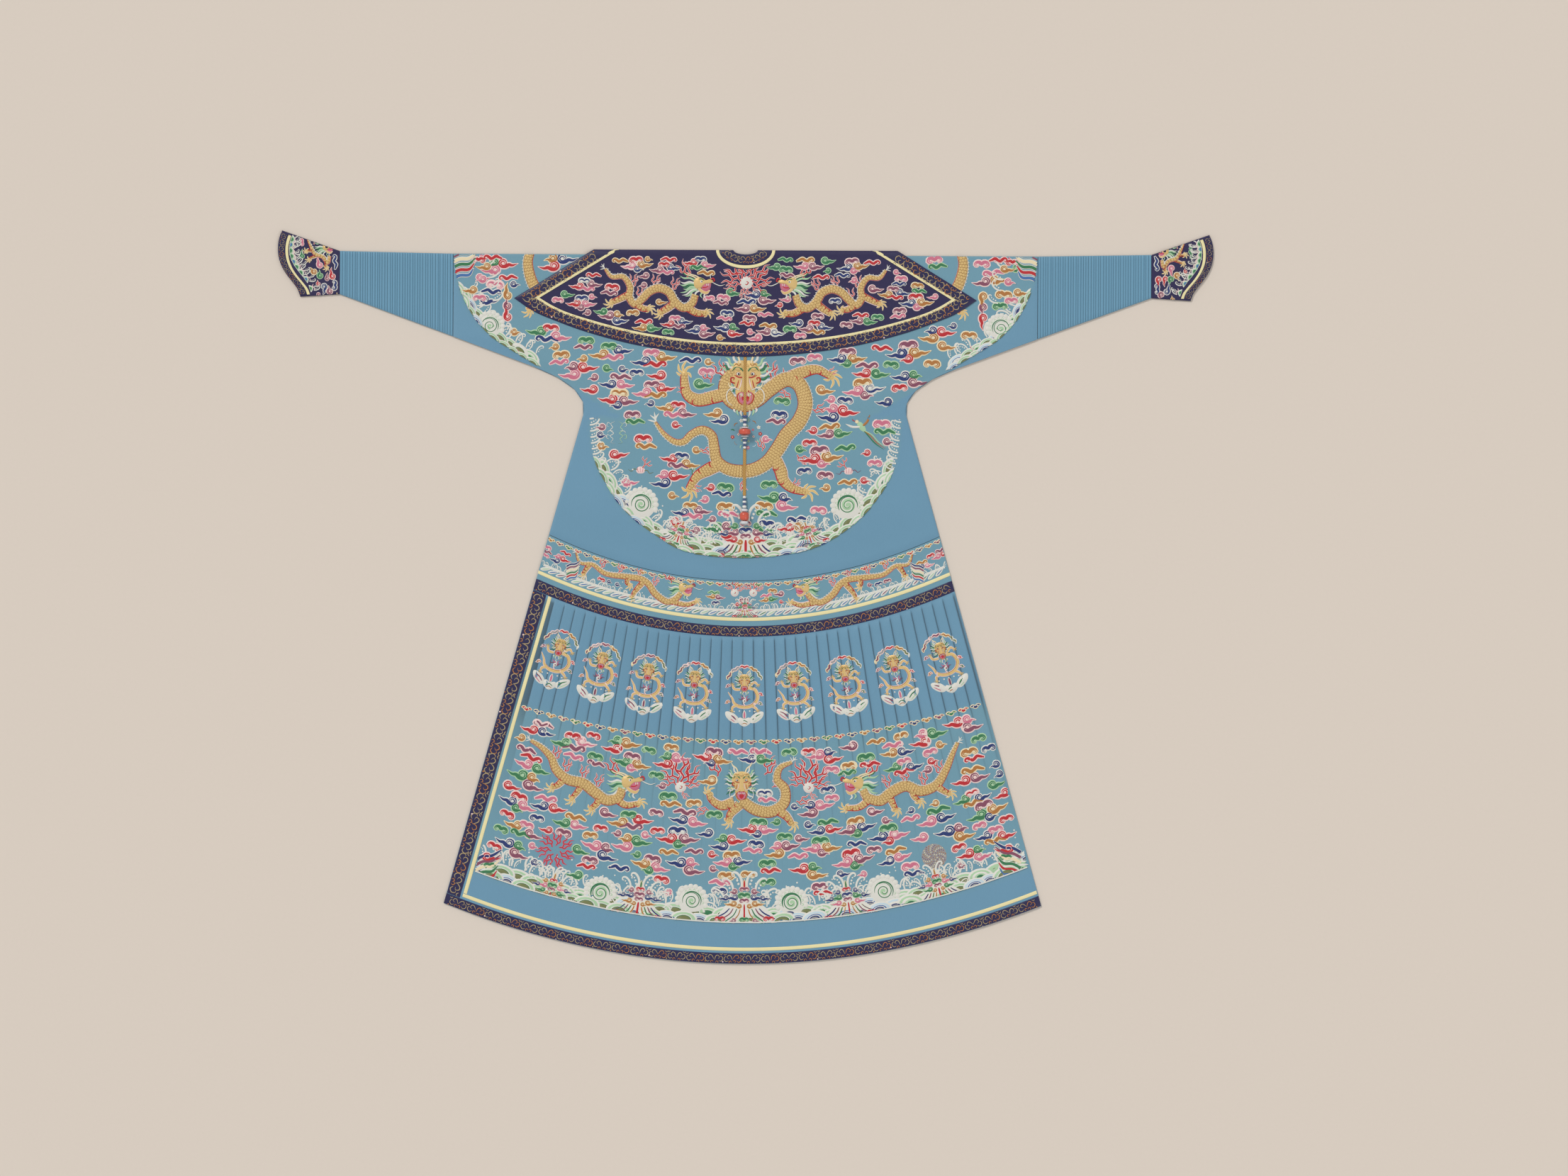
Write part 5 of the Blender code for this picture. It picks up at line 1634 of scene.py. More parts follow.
def spray(stitches, rng, box, fits, count, radius=1.7):
    """White dots of spray, scattered."""
    for _ in range(count):
        side, depth = rng.uniform(box[0], box[1]), rng.uniform(box[2], box[3])
        if fits(side, depth):
            Pen(stitches, side, depth).disc(0, 0, radius * rng.uniform(0.8, 1.2), "white", OUTLINE_RISE + 0.1,
                                            points=7)


RockStripe = namedtuple("RockStripe", "top middle foot thread")
ROCK_STRIPES = [
    RockStripe((36, -32), (49, -20), (75, -7), "navy"),
    RockStripe((27, -32), (37, -18), (60, -4), "mauve"),
    RockStripe((18, -31), (27, -15), (46, -1), "green"),
    RockStripe((10, -30), (15, -16), (26, -3), "tan"),
]
ROCK_CLOUDS = [
    CloudPiece("arch", 60, -6, 6.4, 1, 1), CloudPiece("hook", 27, -3, 5, 1, 4), CloudPiece("comma", 27, -44, 6, 1, 2),
    CloudPiece("hook", 13, -38, 5, 1, 3), CloudPiece("comma", 24, -60, 6.6, 1, 5), CloudPiece("comma", 46, -58, 5.4, 1, 0),
    CloudPiece("hook", 25, -74, 5.6, 1, 3),
]


def mountain(pen, size, colours=(0, 1, 2)):
    """A rock standing in the water: flared stripes, cloud-shaped ledges on both sides, caps and foam fingers."""
    pen = pen.inner(0, 0, size)
    pen.patch([(-80, 2), (-62, -26), (-40, -44), (-20, -66), (0, -72), (20, -66), (40, -44), (62, -26), (80, 2)],
              "white", OUTLINE_RISE + 0.9, 6, 0.1)
    for flip in (-1, 1):
        half = pen.inner(0, 0, 1, 0, flip)
        for stripe in ROCK_STRIPES:
            half.outlined([stripe.top, stripe.middle, stripe.foot], 4.2, stripe.thread, "cream", 1.0 * size,
                          (0.7, 0.8), 2.4, 1.0)
        for order, piece in enumerate(ROCK_CLOUDS):
            shift = sum(colours) if order in (2, 4, 6) else 0
            cloud_piece(half, piece.shape, piece.x, piece.y, piece.size, piece.flip, piece.colour + shift,
                        1.15 + 0.04 * order)
        foam(half.inner(7, -84, 1, math.radians(8), -1), 42, 0.3)
        foam(half.inner(28, -76, 1, math.radians(18), -1), 38, 0.3)
        foam(half.inner(50, -58, 1, math.radians(34), -1), 36, 0.3)
        foam(half.inner(68, -34, 1, math.radians(48), -1), 28, 0.3)
    pen.outlined([(0, -42), (0, -24), (0, -10)], 6.5, "red", "pale_pink", 1.2 * size, (0.6, 1), 2.4, 1.0)
    for y, scale, colour in ((-4, 5.6, 2), (-50, 5.6, 4), (-62, 7.2, colours[0]), (-78, 5.6, colours[1])):
        cloud_piece(pen, "arch", 0, y, scale, 1, colour, 1.45)
    pen.outlined([(0, -82), (0, -92), (0, -102)], 5.0, CLOUD_COLOURS[colours[2]][0], "cream", 1.2 * size, (0.9, 0.1),
                 2.0, 1.2)


def sea(stitches, rng, line, rows, radius):
    """Overlapping hills of water along a line, in rows one behind the other, with foam over the last."""
    reach = np.array([0, *np.cumsum(np.linalg.norm(np.diff(line, axis=0), axis=1))])
    for row in range(rows, -1, -1):
        at, index = radius * (0.6 if row % 2 else 0), 0
        while at < reach[-1]:
            side, depth = np.interp(at, reach, line[:, 0]), np.interp(at, reach, line[:, 1])
            after = min(at + 5, reach[-1])
            turn = math.atan2(np.interp(after, reach, line[:, 1]) - depth,
                              np.interp(after, reach, line[:, 0]) - side)
            size = radius * rng.uniform(0.95, 1.2)
            threads = rng.choice((WAVE_BLUE, WAVE_GREEN, WAVE_GREEN, WAVE_PALE))
            pen = Pen(stitches, side, depth, 1, turn)
            lean = pen.inner(0, (0.14 - 0.5 * row) * radius, 1, rng.uniform(-0.22, 0.22))
            hill(lean, size, threads, 0.6 * (rows - row) + 0.32 * (index % 2))
            if row == rows:
                for shift in (-0.45, 0.35):
                    foam(pen.inner(shift * radius, -row * radius * 0.5 - size * 0.55, 1, rng.uniform(-0.35, 0.35),
                                   rng.choice((-1, 1))), rng.uniform(17, 26))
            at += radius * 1.2
            index += 1


# Small emblems

def cloud_chain(stitches, line, spacing, size, first=0):
    """A row of small cloud heads along a line, their colours in turn."""
    reach = np.array([0, *np.cumsum(np.linalg.norm(np.diff(line, axis=0), axis=1))])
    count = int(reach[-1] / spacing)
    for index in range(count + 1):
        at = (reach[-1] - count * spacing) / 2 + index * spacing
        side, depth = np.interp(at, reach, line[:, 0]), np.interp(at, reach, line[:, 1])
        after = min(at + 2, reach[-1])
        turn = math.atan2(np.interp(after, reach, line[:, 1]) - depth, np.interp(after, reach, line[:, 0]) - side)
        fill, halo = [CLOUD_COLOURS[1], CLOUD_COLOURS[0], CLOUD_COLOURS[3], CLOUD_COLOURS[4], CLOUD_COLOURS[2]][
            (index + first) % 5]
        pen = Pen(stitches, side, depth, size, turn)
        pen.outlined([(-8.5, -1), (-4.5, -1.6), (0, 1.6), (4.5, -1.6), (8.5, -1)], 4.2, fill, "cream", 1.6,
                     (0.3, 0.3), 2.0)
        for x in (-3.4, 3.4):
            pen.disc(x, -0.8, 1.3, halo, DETAIL_RISE, points=8)


def small_claw(pen):
    for turn in (-60, -15, 30, 80):
        cos, sin = math.cos(math.radians(turn)), math.sin(math.radians(turn))
        pen.line([(0, 0), (3.4 * cos, 3.4 * sin), (6 * cos - sin, 6 * sin + cos)], 1.5, "gold", FILL_RISE,
                 (0.9, 0.2), None, 1.4)


def medallion(pen, arch):
    """A dragon seen from the front, coiled under an arch of clouds above a peak in the waves."""
    for angle, fill, halo in ((-58, "mauve", "cream"), (-31, "grey", "pale_pink"), (0, arch, "pale_pink"),
                              (31, "tan", "cream"), (58, "olive", "white")):
        turn = math.radians(angle)
        arc = pen.inner(36 * math.sin(turn), -22 - 37 * math.cos(turn), 1, turn * 0.95)
        arc.outlined([(-9, 1.5), (-5.5, -1.2), (0, 1.0), (5.5, -1.2), (9, 1.5)], 3.6, fill, halo, 1.7, (0.4, 0.4), 2)
    for x, y, fill in ((-33, -20, "mauve"), (-34, 13, "tan"), (33, -3, "red"), (32, 16, "green")):
        flip = 1 if x > 0 else -1
        pen.inner(x, y, 1, 0, flip).outlined([(-4, 1), (-1, -2), (3, 0), (0, 2), (5, 3)], 2.2, fill, "pale_pink", 1.3,
                                             (0.5, 0.3), 1.8)
    body = [(8, -15), (21, -12), (27, 2), (22, 15), (9, 23), (-9, 23), (-21, 16), (-25, 6), (-33, -6)]
    pen.outlined(body, 6.4, "gold", "pale_pink", 0.9, (0.9, 0.2), 1.8, 0.1)
    pen.line(np.array(body[1:7]) * 0.9, 0.9, "tan", DETAIL_RISE + 0.1, (0.5, 0.5), 0.9, 1.8)
    for points, turn in (([(-9, -12), (-20, -13), (-25, -21)], -80), ([(10, -18), (20, -27), (27, -22)], 40),
                         ([(-14, 20), (-24, 24), (-25, 31)], 100), ([(14, 20), (23, 26), (27, 30)], 60)):
        pen.outlined(points, 4.4, "gold", "pale_pink", 0.8, (0.9, 0.6), 1.8, 0.2)
        small_claw(pen.inner(*points[-1], 1, math.radians(turn)))
    for angle, thread in ((-70, "mauve"), (-35, "pink"), (0, "white"), (35, "pink"), (70, "mauve"), (180, "pale_pink")):
        turn = math.radians(angle)
        pen.inner(0, 11, 1, turn).line([(0, 0), (2, -5), (-1, -9), (1, -13)], 2.2, thread, FILL_RISE, (0.8, 0.1),
                                       None, 1.8)
    pen.disc(0, 11, 4.2, "white", DETAIL_RISE)
    pen.disc(0.6, 11.3, 1.7, "mauve", DETAIL_RISE + 0.4, points=8)
    for flip in (-1, 1):
        half = pen.inner(0, 0, 1, 0, flip)
        half.line([(8, -38), (12, -46), (11, -53)], 1.8, "white", OUTLINE_RISE + 0.2, (0.8, 0.3))
        half.patch([(12, 46), (20, 38), (31, 33), (39, 34), (38, 43), (30, 52), (20, 57), (12, 55)], "white",
                   OUTLINE_RISE + 0.2, 2.2)
        half.line([(17, 50), (24, 43), (33, 38)], 3.0, ("mauve", "green")[flip > 0], FILL_RISE + 0.3, (0.4, 0.2), 0.7)
        half.line([(20, 54), (28, 48), (35, 42)], 2.0, ("pink", "pale_green")[flip > 0], FILL_RISE + 0.3, (0.4, 0.2),
                  0.7)
    head_front(pen.inner(0, -24, 0.58), 0.4, False)
    pen.patch([(-15, 50), (-9, 45), (0, 48), (9, 45), (15, 50), (11, 58), (0, 64), (-11, 58)], "white",
              OUTLINE_RISE + 0.4, 2.2)
    pen.line([(-7, 55), (0, 51.5), (7, 55)], 2.2, "green", FILL_RISE + 0.6, (0.5, 0.5), 0.9, 1.6)
    pen.line([(-6, 59), (0, 57), (6, 59)], 1.8, "tan", FILL_RISE + 0.6, (0.5, 0.5), 0.9, 1.6)
    pen.outlined([(0, 46), (0, 39), (0, 32)], 4.4, ("mauve", "pink")[arch == "red"], "white", 1.5, (0.9, 0.1), 2, 0.4)
    for x, y in ((-21, 33), (-10, 32), (11, 32), (21, 33)):
        pen.disc(x, y, 1.7, "white", points=8)


def blossom(pen, petals, radius, thread, middle):
    for step in range(petals):
        turn = 2 * math.pi * step / petals
        pen.disc(radius * math.cos(turn), radius * math.sin(turn), radius * 0.62, thread, points=8)
    pen.disc(0, 0, radius * 0.5, middle, FILL_RISE, points=8)


def flower_round(pen, rng, radius):
    """A round of small flowers, leaves and ribbons."""
    for step in range(13):
        turn = 2 * math.pi * step / 13
        spot = pen.inner(radius * 0.9 * math.cos(turn), radius * 0.9 * math.sin(turn), 1, turn)
        kind = step % 3
        if kind == 0:
            blossom(spot, 5, 2.6, rng.choice(("red", "pink", "white")), "cream")
        elif kind == 1:
            spot.line([(-4, 0), (0, 2), (4, 0)], 2.4, rng.choice(("green", "pale_green")), FILL_RISE, (0.2, 0.2))
        else:
            spot.line([(0, -5), (2, 0), (-1, 5)], 1.8, rng.choice(("tan", "pale_blue", "grey")), FILL_RISE)
    for step in range(7):
        turn = 2 * math.pi * (step + 0.4) / 7
        spot = pen.inner(radius * 0.5 * math.cos(turn), radius * 0.5 * math.sin(turn), 0.8, turn)
        blossom(spot, 4, 2.2, rng.choice(("pale_pink", "white", "pink", "pale_green")), "tan")


def coral_branch(pen):
    for path in ([(0, 0), (5, -6), (6, -14), (10, -20)], [(5, -7), (12, -9), (17, -14)], [(6, -13), (1, -18), (2, -23)],
                 [(9, -8), (14, -4), (20, -6)]):
        pen.outlined(path, 1.8, "red", "pale_pink", 0.7, (0.9, 0.4), 2.0)


def ribbons(pen, thread):
    pen.line([(-4, 4), (-12, 0), (-18, 5), (-25, 1)], 1.5, thread, OUTLINE_RISE, (0.8, 0.2))
    pen.line([(5, 5), (14, 3), (19, 9), (27, 7)], 1.5, thread, OUTLINE_RISE, (0.8, 0.2))


def treasure(pen, thread):
    """A shell with coral growing from it, tied with ribbons."""
    ribbons(pen, thread)
    coral_branch(pen.inner(4, -2))
    pen.patch([(-9, 4), (-4, -4), (5, -4), (10, 3), (6, 9), (-5, 9)], "pale_pink", OUTLINE_RISE + 0.1, 2)
    for x in (-4, 0, 4):
        pen.line([(x, 7), (x * 1.3, 2), (x * 1.6, -3)], 1.4, "pink", FILL_RISE + 0.2, (0.6, 0.3), 0.5, 1.6)


def paired_emblem(pen):
    """Two facing scrolled figures in white and pale green."""
    for flip, thread in ((-1, "white"), (1, "pale_green")):
        half = pen.inner(4 * flip, 0, 1, 0, flip)
        half.line([(0, -22), (8, -17), (4, -10), (9, -4), (2, 2), (9, 8), (3, 14), (8, 21), (0, 23)], 1.5, thread)
        half.line([(8, -17), (14, -20), (16, -13), (11, -11)], 1.3, "white")
        half.line([(9, 8), (15, 5), (16, 12), (10, 14)], 1.3, thread)
        half.line([(3, -3), (13, -2), (14, 3)], 1.2, "white")


def long_tailed_bird(pen):
    """A small bird with trailing tail feathers, flying up."""
    for shift, thread in ((-3, "green"), (0, "tan"), (3, "pale_green")):
        pen.line([(0, 6), (shift + 6, 20), (shift + 10, 36), (shift + 18, 52)], 2.0, thread, OUTLINE_RISE, (0.8, 0.1))
    pen.patch([(-5, -8), (1, -10), (5, -2), (4, 8), (-1, 9), (-5, 1)], "pale_green", OUTLINE_RISE + 0.1, 2)
    pen.line([(-3, -2), (-14, -8), (-22, -18)], 4.0, "white", FILL_RISE, (0.9, 0.1))
    pen.line([(3, -1), (13, -4), (22, -12)], 4.0, "tan", FILL_RISE, (0.9, 0.1))
    pen.disc(-3, -12, 3.2, "cream", FILL_RISE)
    pen.line([(-4, -13), (-8, -17), (-7, -20)], 1.4, "red", FILL_RISE)


def weed_round(pen, radius):
    """A round of red branching weed."""
    for step in range(7):
        turn = 2 * math.pi * step / 7 + 0.3
        branch = pen.inner(radius * 0.35 * math.cos(turn), radius * 0.35 * math.sin(turn), radius / 34,
                           turn + math.pi / 2)
        flame(branch, 0.0, "pink")


def seed_round(pen, radius):
    """A round of tiny brown and pale stitches."""
    pen.disc(0, 0, radius, "grey", OUTLINE_RISE, points=26)
    for index in range(110):
        turn = 2.39996 * index
        reach = radius * 0.94 * math.sqrt((index + 0.5) / 110)
        pen.disc(reach * math.cos(turn), reach * math.sin(turn), radius * 0.05, ("tan", "mauve", "cream")[index % 3],
                 FILL_RISE, points=5)


# Free places for clouds

RASTER = 3


class Field:
    """Which places of a zone are free for clouds, on a raster."""

    def __init__(self, left, right, top, end, inside):
        self.left, self.top = left, top
        self.sides, self.depths = np.meshgrid(np.arange(left, right, RASTER), np.arange(top, end, RASTER))
        self.free = inside(self.sides, self.depths)
        for axis in (0, 1):
            for shift in (-1, 1):
                self.free = self.free & np.roll(self.free, shift, axis)

    def block(self, points, radius):
        reach = int(radius / RASTER) + 1
        for side, depth in np.atleast_2d(points):
            column, row = int((side - self.left) / RASTER), int((depth - self.top) / RASTER)
            rows = slice(max(row - reach, 0), max(row + reach + 1, 0))
            columns = slice(max(column - reach, 0), max(column + reach + 1, 0))
            away = np.hypot(self.sides[rows, columns] - side, self.depths[rows, columns] - depth)
            self.free[rows, columns] &= away > radius

    def is_open(self, points):
        columns = ((points[:, 0] - self.left) / RASTER).astype(int)
        rows = ((points[:, 1] - self.top) / RASTER).astype(int)
        height, width = self.free.shape
        if columns.min() < 0 or rows.min() < 0 or columns.max() >= width or rows.max() >= height:
            return False
        return bool(self.free[rows, columns].all())


CLOUD_PATHS = {name: curve(points, 0.6) for name, points in CLOUD_SHAPES.items()}
CLOUD_SPACING = 8.0


def group_points(pen, group):
    """Points along every piece of a cloud group."""
    return np.vstack([pen.inner(piece.x, piece.y, piece.size, 0, piece.flip).world(CLOUD_PATHS[piece.shape])
                      for piece in group])


def fill_clouds(stitches, field, rng, size=1.0, turn=None, tries=(9000, 12000, 14000, 12000)):
    """Fills what is free in a field with cloud groups, large ones first."""
    height, width = field.free.shape
    for stage, count in enumerate(tries):
        for _ in range(count):
            kinds = ((0, 1, 2, 4), (1, 3, 2), (5, 6, 8), (7, 5))[stage]
            group = CLOUD_GROUPS[rng.choice(kinds)]
            side = field.left + rng.uniform(0, width) * RASTER
            depth = field.top + rng.uniform(0, height) * RASTER
            scale = size * rng.uniform(0.9, 1.06) * (1, 0.97, 0.9, 0.75)[stage]
            angle = (turn(side, depth) if turn else 0) + rng.uniform(-0.12, 0.12)
            flip = rng.choice((-1, 1))
            colours = rng.sample(range(6), 4)
            row, column = int((depth - field.top) / RASTER), int((side - field.left) / RASTER)
            if not field.free[min(row, height - 1), min(column, width - 1)]:
                continue
            pen = Pen(stitches, side, depth, scale, angle, flip)
            points = group_points(pen, group)
            if field.is_open(points):
                cloud(pen, group, colours, rng.uniform(0, 0.3))
                field.block(points, CLOUD_SPACING * size)


# Zones of the panels

def on_ground(side, depth):
    """The jacket's embroidered ground that the collar leaves free."""
    return (ground_share(side, depth) > 0.5) & ~under_collar(side, depth, 1.2)


COLLAR_PIPING_TABLE = curve(COLLAR_LOWER_PIPING, 4)[::-1]


def on_collar(side, depth):
    """Inside the collar's piping and outside the neckband's."""
    away = np.abs(side)
    lower = np.interp(away, COLLAR_PIPING_TABLE[:, 0], COLLAR_PIPING_TABLE[:, 1]) - 5
    upper = np.interp(away, [PIPING_TOP.side, PIPING_TIP.side], [COLLAR_TOP, PIPING_TIP.depth]) + 6
    upper = np.maximum(upper, 0.5)
    neck = (away / (NECKBAND_HALF + 8)) ** 2 + ((depth - COLLAR_TOP) / (NECKBAND_DROP + 8)) ** 2
    return (depth < lower) & (depth > upper) & (away < PIPING_TIP.side) & (neck > 1)


def on_waistband(side, depth):
    row = row_depth(side, depth)
    return (row > JACKET_END + 1.5) & (row < WAIST_PIPING_TOP - 0.5)


def on_skirt(side, depth):
    row = row_depth(side, depth)
    inset = body_half(row) - np.abs(side)
    left = np.where(side < 0, inset > SIDE_PIPING_NEAR + PIPING + 1, inset > 1.5)
    return (row > 700) & (row < 1253) & left


def on_lower_skirt(side, depth):
    return on_skirt(side, depth) & (row_depth(side, depth) > 926)


def on_cuff(sign):
    """Inside a cuff's piping."""
    edge = np.array([cuff_edge(share) for share in np.linspace(0, 1, 60)])

    def inside(side, depth):
        away = np.abs(beyond(edge, sign * np.asarray(side, float), depth))
        return (away > CUFF_BAND + CUFF_PIPING + 1.2) & (sign * side > CUFF_SEAM_SIDE + 1.5)

    return inside


def skirt_turn(side, depth):
    """Slope of the skirt's row through a place."""
    row = row_depth(side, depth)
    return math.atan(float(-2 * sag(row) * side / body_half(row) ** 2))


# Layout

JACKET_SPINE = [
    (-10, 236), (-34, 250), (-42, 276), (-28, 300), (0, 308), (26, 297), (50, 276), (84, 255), (112, 266), (124, 304), (112, 340), (86, 369), (68, 398), (47, 425), (18, 441),
    (-13, 444), (-40, 437), (-58, 420), (-63, 394), (-68, 371), (-87, 360), (-109, 369), (-125, 384), (-144, 384),
    (-166, 368), (-184, 344),
]


def tail_fins(pen):
    for x, y, bend in ((-10, -13, 3), (-3, -18, 0), (5, -16, -3), (-14, -5, 4)):
        pen.line([(0, 0), (x * 0.5 + bend, y * 0.5), (x, y)], 2.8, "white", OUTLINE_RISE + 0.3, (0.8, 0.05), None, 1.8)


def draw_jacket(rng):
    """The dragon, emblems and clouds of the jacket, and its sea."""
    dragon, clouds, water = Stitches(), Stitches(), Stitches()
    field = Field(-600, 600, 0, 640, on_ground)
    legs = [
        ([(-44, 286), (-66, 292), (-96, 298), (-118, 286), (-124, 262), (-124, 244)], [26, 25, 24, 18, 13], -90, -1),
        ([(84, 256), (118, 240), (146, 234), (166, 242), (176, 249)], [28, 24, 17, 12], 40, 1),
        ([(-52, 430), (-72, 440), (-96, 454), (-110, 474), (-114, 482)], [26, 24, 17, 12], 80, 1),
        ([(62, 418), (74, 442), (80, 462), (98, 478), (126, 486)], [26, 24, 18, 12], 5, 1),
    ]
    for points, widths, turn, back in legs:
        leg(dragon, points, widths, turn, 1.5, 0.0, back)
        wisps(Pen(dragon, *points[len(points) // 2], 1.2, math.radians(turn + 60)))
        field.block(curve(points, 6), 18)
        field.block([points[-1]], 27)
        for share, side in ((0.35, 1), (0.6, -1)):
            at = np.array(points[int(share * len(points))])
            flame(Pen(dragon, *at, 0.62, math.radians(turn + 90 + side * 60)))
    scaled_body(dragon, JACKET_SPINE, [20, 25, 27, 29, 29, 29, 28, 26, 22, 17, 12, 5], 1, True, 0.3)
    field.block(curve(JACKET_SPINE, 6), 22)
    tail_fins(Pen(dragon, -182, 346, 1.3))
    for side, depth, size, angle in ((94, 296, 0.8, -60), (36, 402, 0.7, -15), (-90, 398, 0.7, 100),
                                     (138, 316, 0.8, 80), (108, 410, 0.8, 120), (-4, 464, 0.6, 170)):
        flame(Pen(dragon, side, depth, size, math.radians(angle)))
    for flip in (-1, 1):
        for x, y, size, angle in ((48, 258, 1.1, 12), (70, 262, 0.9, 35)):
            flame(Pen(dragon, flip * x, y, size, math.radians(flip * angle)))
    head_front(Pen(dragon, 1, 268, 1.55), 0.9)
    field.block(curve([(-40, 225), (-30, 300), (0, 322), (30, 300), (40, 225)], 10), 26)
    flower_round(Pen(dragon, 3, 367), rng, 32)
    field.block([(3, 367), (3, 345), (3, 390)], 32)
    paired_emblem(Pen(dragon, -263, 365))
    field.block([(-263, 352), (-263, 378)], 22)
    long_tailed_bird(Pen(dragon, 240, 352, 1.2, -0.5))
    field.block(curve([(240, 345), (258, 378), (290, 410)], 10), 17)
    for flip in (-1, 1):
        treasure(Pen(dragon, 214 * flip, 440, 1.0, 0, -flip), ("olive", "mauve")[flip > 0])
        field.block([(200 * flip, 436), (222 * flip, 434)], 24)
    for column in range(-3, 4):
        field.block([(0, 500 + 20 * column)], 14)

    for flip in (-1, 1):
        body = [(440 * flip, -12), (447 * flip, 20), (436 * flip, 62), (408 * flip, 96), (392 * flip, 122)]
        scaled_body(dragon, body, [16, 20, 22, 22], flip, True, 0.2)
        leg(dragon, [(425 * flip, 96), (438 * flip, 108), (444 * flip, 116)], [12, 9], 60 if flip > 0 else 120, 1.0)
        field.block(curve(body, 8), 17)
        field.block([(446 * flip, 126)], 20)
        treasure(Pen(dragon, 459 * flip, 205, 0.8, 0, flip), ("red", "olive")[flip > 0])
        field.block([(456 * flip, 200)], 20)

    edge = YOKE_LINE[(YOKE_LINE[:, 1] > 432)]
    sea(water, rng, edge, 1, 24)
    foot = edge[(np.abs(edge[:, 0]) < 150)]
    sea(water, rng, foot, 2, 25)
    for line in (YOKE_LINE[YOKE_LINE[:, 1] < 440][:22], YOKE_LINE[YOKE_LINE[:, 1] < 440][-20:]):
        side_foam(water, rng, line)
    for flip in (-1, 1):
        spiral_wave(Pen(water, 212 * flip, 513, 1, 0, flip), 30)
        mountain(Pen(water, 140 * flip, 596, 1, -0.32 * flip, flip), 0.5, (2, 1, 3))
        lobe = LOBE_LINE[(LOBE_LINE[:, 1] > 74) & (LOBE_LINE[:, 1] < 232)] * (flip, 1)
        lobe = lobe[::-1] if flip > 0 else lobe
        sea(water, rng, lobe, 1, 20)
        spiral_wave(Pen(water, 524 * flip, 148, 1, 0, flip), 26)
        stripes(Pen(water, 599 * flip, 36, 1.25, 0, flip))
        for order, (side, depth, shape) in enumerate(((548, 14, "arch"), (532, 26, "comma"), (540, 52, "hook"),
                                                      (522, 8, "wave"), (560, 74, "comma"), (546, 92, "arch"))):
            cloud_piece(Pen(water, side * flip, depth, 1, 0, flip), shape, 0, 0, 6.2, 1, 2 * order + 1, 0.7)
        for depth, turn in ((24, -60), (48, -75), (70, -60), (96, -70), (186, -30), (204, -20)):
            side = np.interp(depth, LOBE_LINE[::-1, 1], LOBE_LINE[::-1, 0]) if depth > 100 else 536 - 0.2 * depth
            foam(Pen(water, flip * (side - 26 * (depth > 100)), depth, 1, math.radians(turn * flip), -flip), 24, 0.3)
        for depth, shape, colour in ((84, "comma", 3), (106, "hook", 4), (128, "comma", 1)):
            cloud_piece(Pen(clouds, 488 * flip, depth, 1, math.radians(90)), shape, 0, 0, 6.8, flip, colour, 0.2)
            field.block([(488 * flip, depth), (488 * flip, depth + 8)], 15)
    mountain(Pen(water, 3, 624), 0.92, (0, 4, 1))
    shore(water, beside(edge, -1.8), 2.2)
    for points, radius in ((edge, 34), (foot, 44), (YOKE_LINE, 12), (LOBE_LINE, 32), (LOBE_LINE * (-1, 1), 32)):
        field.block(points[::2], radius)
    for flip in (-1, 1):
        field.block([(212 * flip, 513)], 46)
        field.block([(524 * flip, 148)], 42)
    spray(water, rng, (-300, 300, 400, 590), lambda side, depth: near_sea(side, depth, 34, 64), 420)
    fill_clouds(clouds, field, rng, 1.16)
    return dragon, clouds, water


def near_sea(side, depth, low, high):
    """Whether a place lies within reach of the yoke's lower edge."""
    away = np.hypot(YOKE_LINE[:, 0] - side, YOKE_LINE[:, 1] - depth).min()
    return low < away < high and on_ground(np.array(side), np.array(depth))


def side_foam(stitches, rng, line):
    """Curls of foam along a line, reaching to the middle of the garment."""
    for index in range(0, len(line) - 1, 2):
        side, depth = line[index]
        flip = -1 if side < 0 else 1
        foam(Pen(stitches, side - flip * 1, depth, 1.0, math.radians(-75 * flip), -flip), 24)


def stripes(pen):
    """Flared coloured stripes of a rock at the garment's edge, rising in towards its middle."""
    for order, thread in enumerate(("navy", "mauve", "cream", "green", "red", "blue")):
        y = 9 * order - 40
        pen.outlined([(4, y + 9), (-10, y + 2), (-25, y + 1), (-42 + 2 * order, y - 9)], 5.6, thread, "white", 1.3,
                     (0.95, 0.3), 3.0, 0.9 + 0.03 * order)


def draw_dragon_left(stitches, field):
    """The skirt's left dragon, running to the right."""
    spine = [(-436, 998), (-414, 1012), (-394, 1033), (-383, 1058), (-360, 1078), (-328, 1086), (-304, 1104),
             (-280, 1120), (-256, 1114), (-248, 1096)]
    legs = [
        ([(-262, 1116), (-240, 1130), (-212, 1126)], [11, 9, 7], 0, 1),
        ([(-292, 1112), (-300, 1128), (-312, 1138)], [11, 9, 7], 120, 1),
        ([(-366, 1076), (-380, 1090), (-392, 1094)], [11, 9, 7], 165, 1),
        ([(-330, 1088), (-340, 1104), (-352, 1118)], [10, 8, 6], 130, 1),
    ]
    draw_runner(stitches, field, spine, legs, (-238, 1086), 1)


def draw_dragon_right(stitches, field):
    """The skirt's right dragon, running to the left."""
    spine = [(440, 998), (430, 1020), (416, 1054), (396, 1086), (364, 1098), (334, 1088), (306, 1100), (282, 1118),
             (256, 1112), (246, 1096)]
    legs = [
        ([(262, 1114), (238, 1132), (212, 1134)], [11, 9, 7], 180, -1),
        ([(300, 1108), (308, 1126), (314, 1138)], [11, 9, 7], 70, -1),
        ([(394, 1086), (412, 1098), (424, 1104)], [11, 9, 7], 15, -1),
        ([(346, 1090), (350, 1108), (362, 1120)], [10, 8, 6], 50, -1),
    ]
    draw_runner(stitches, field, spine, legs, (236, 1086), -1)


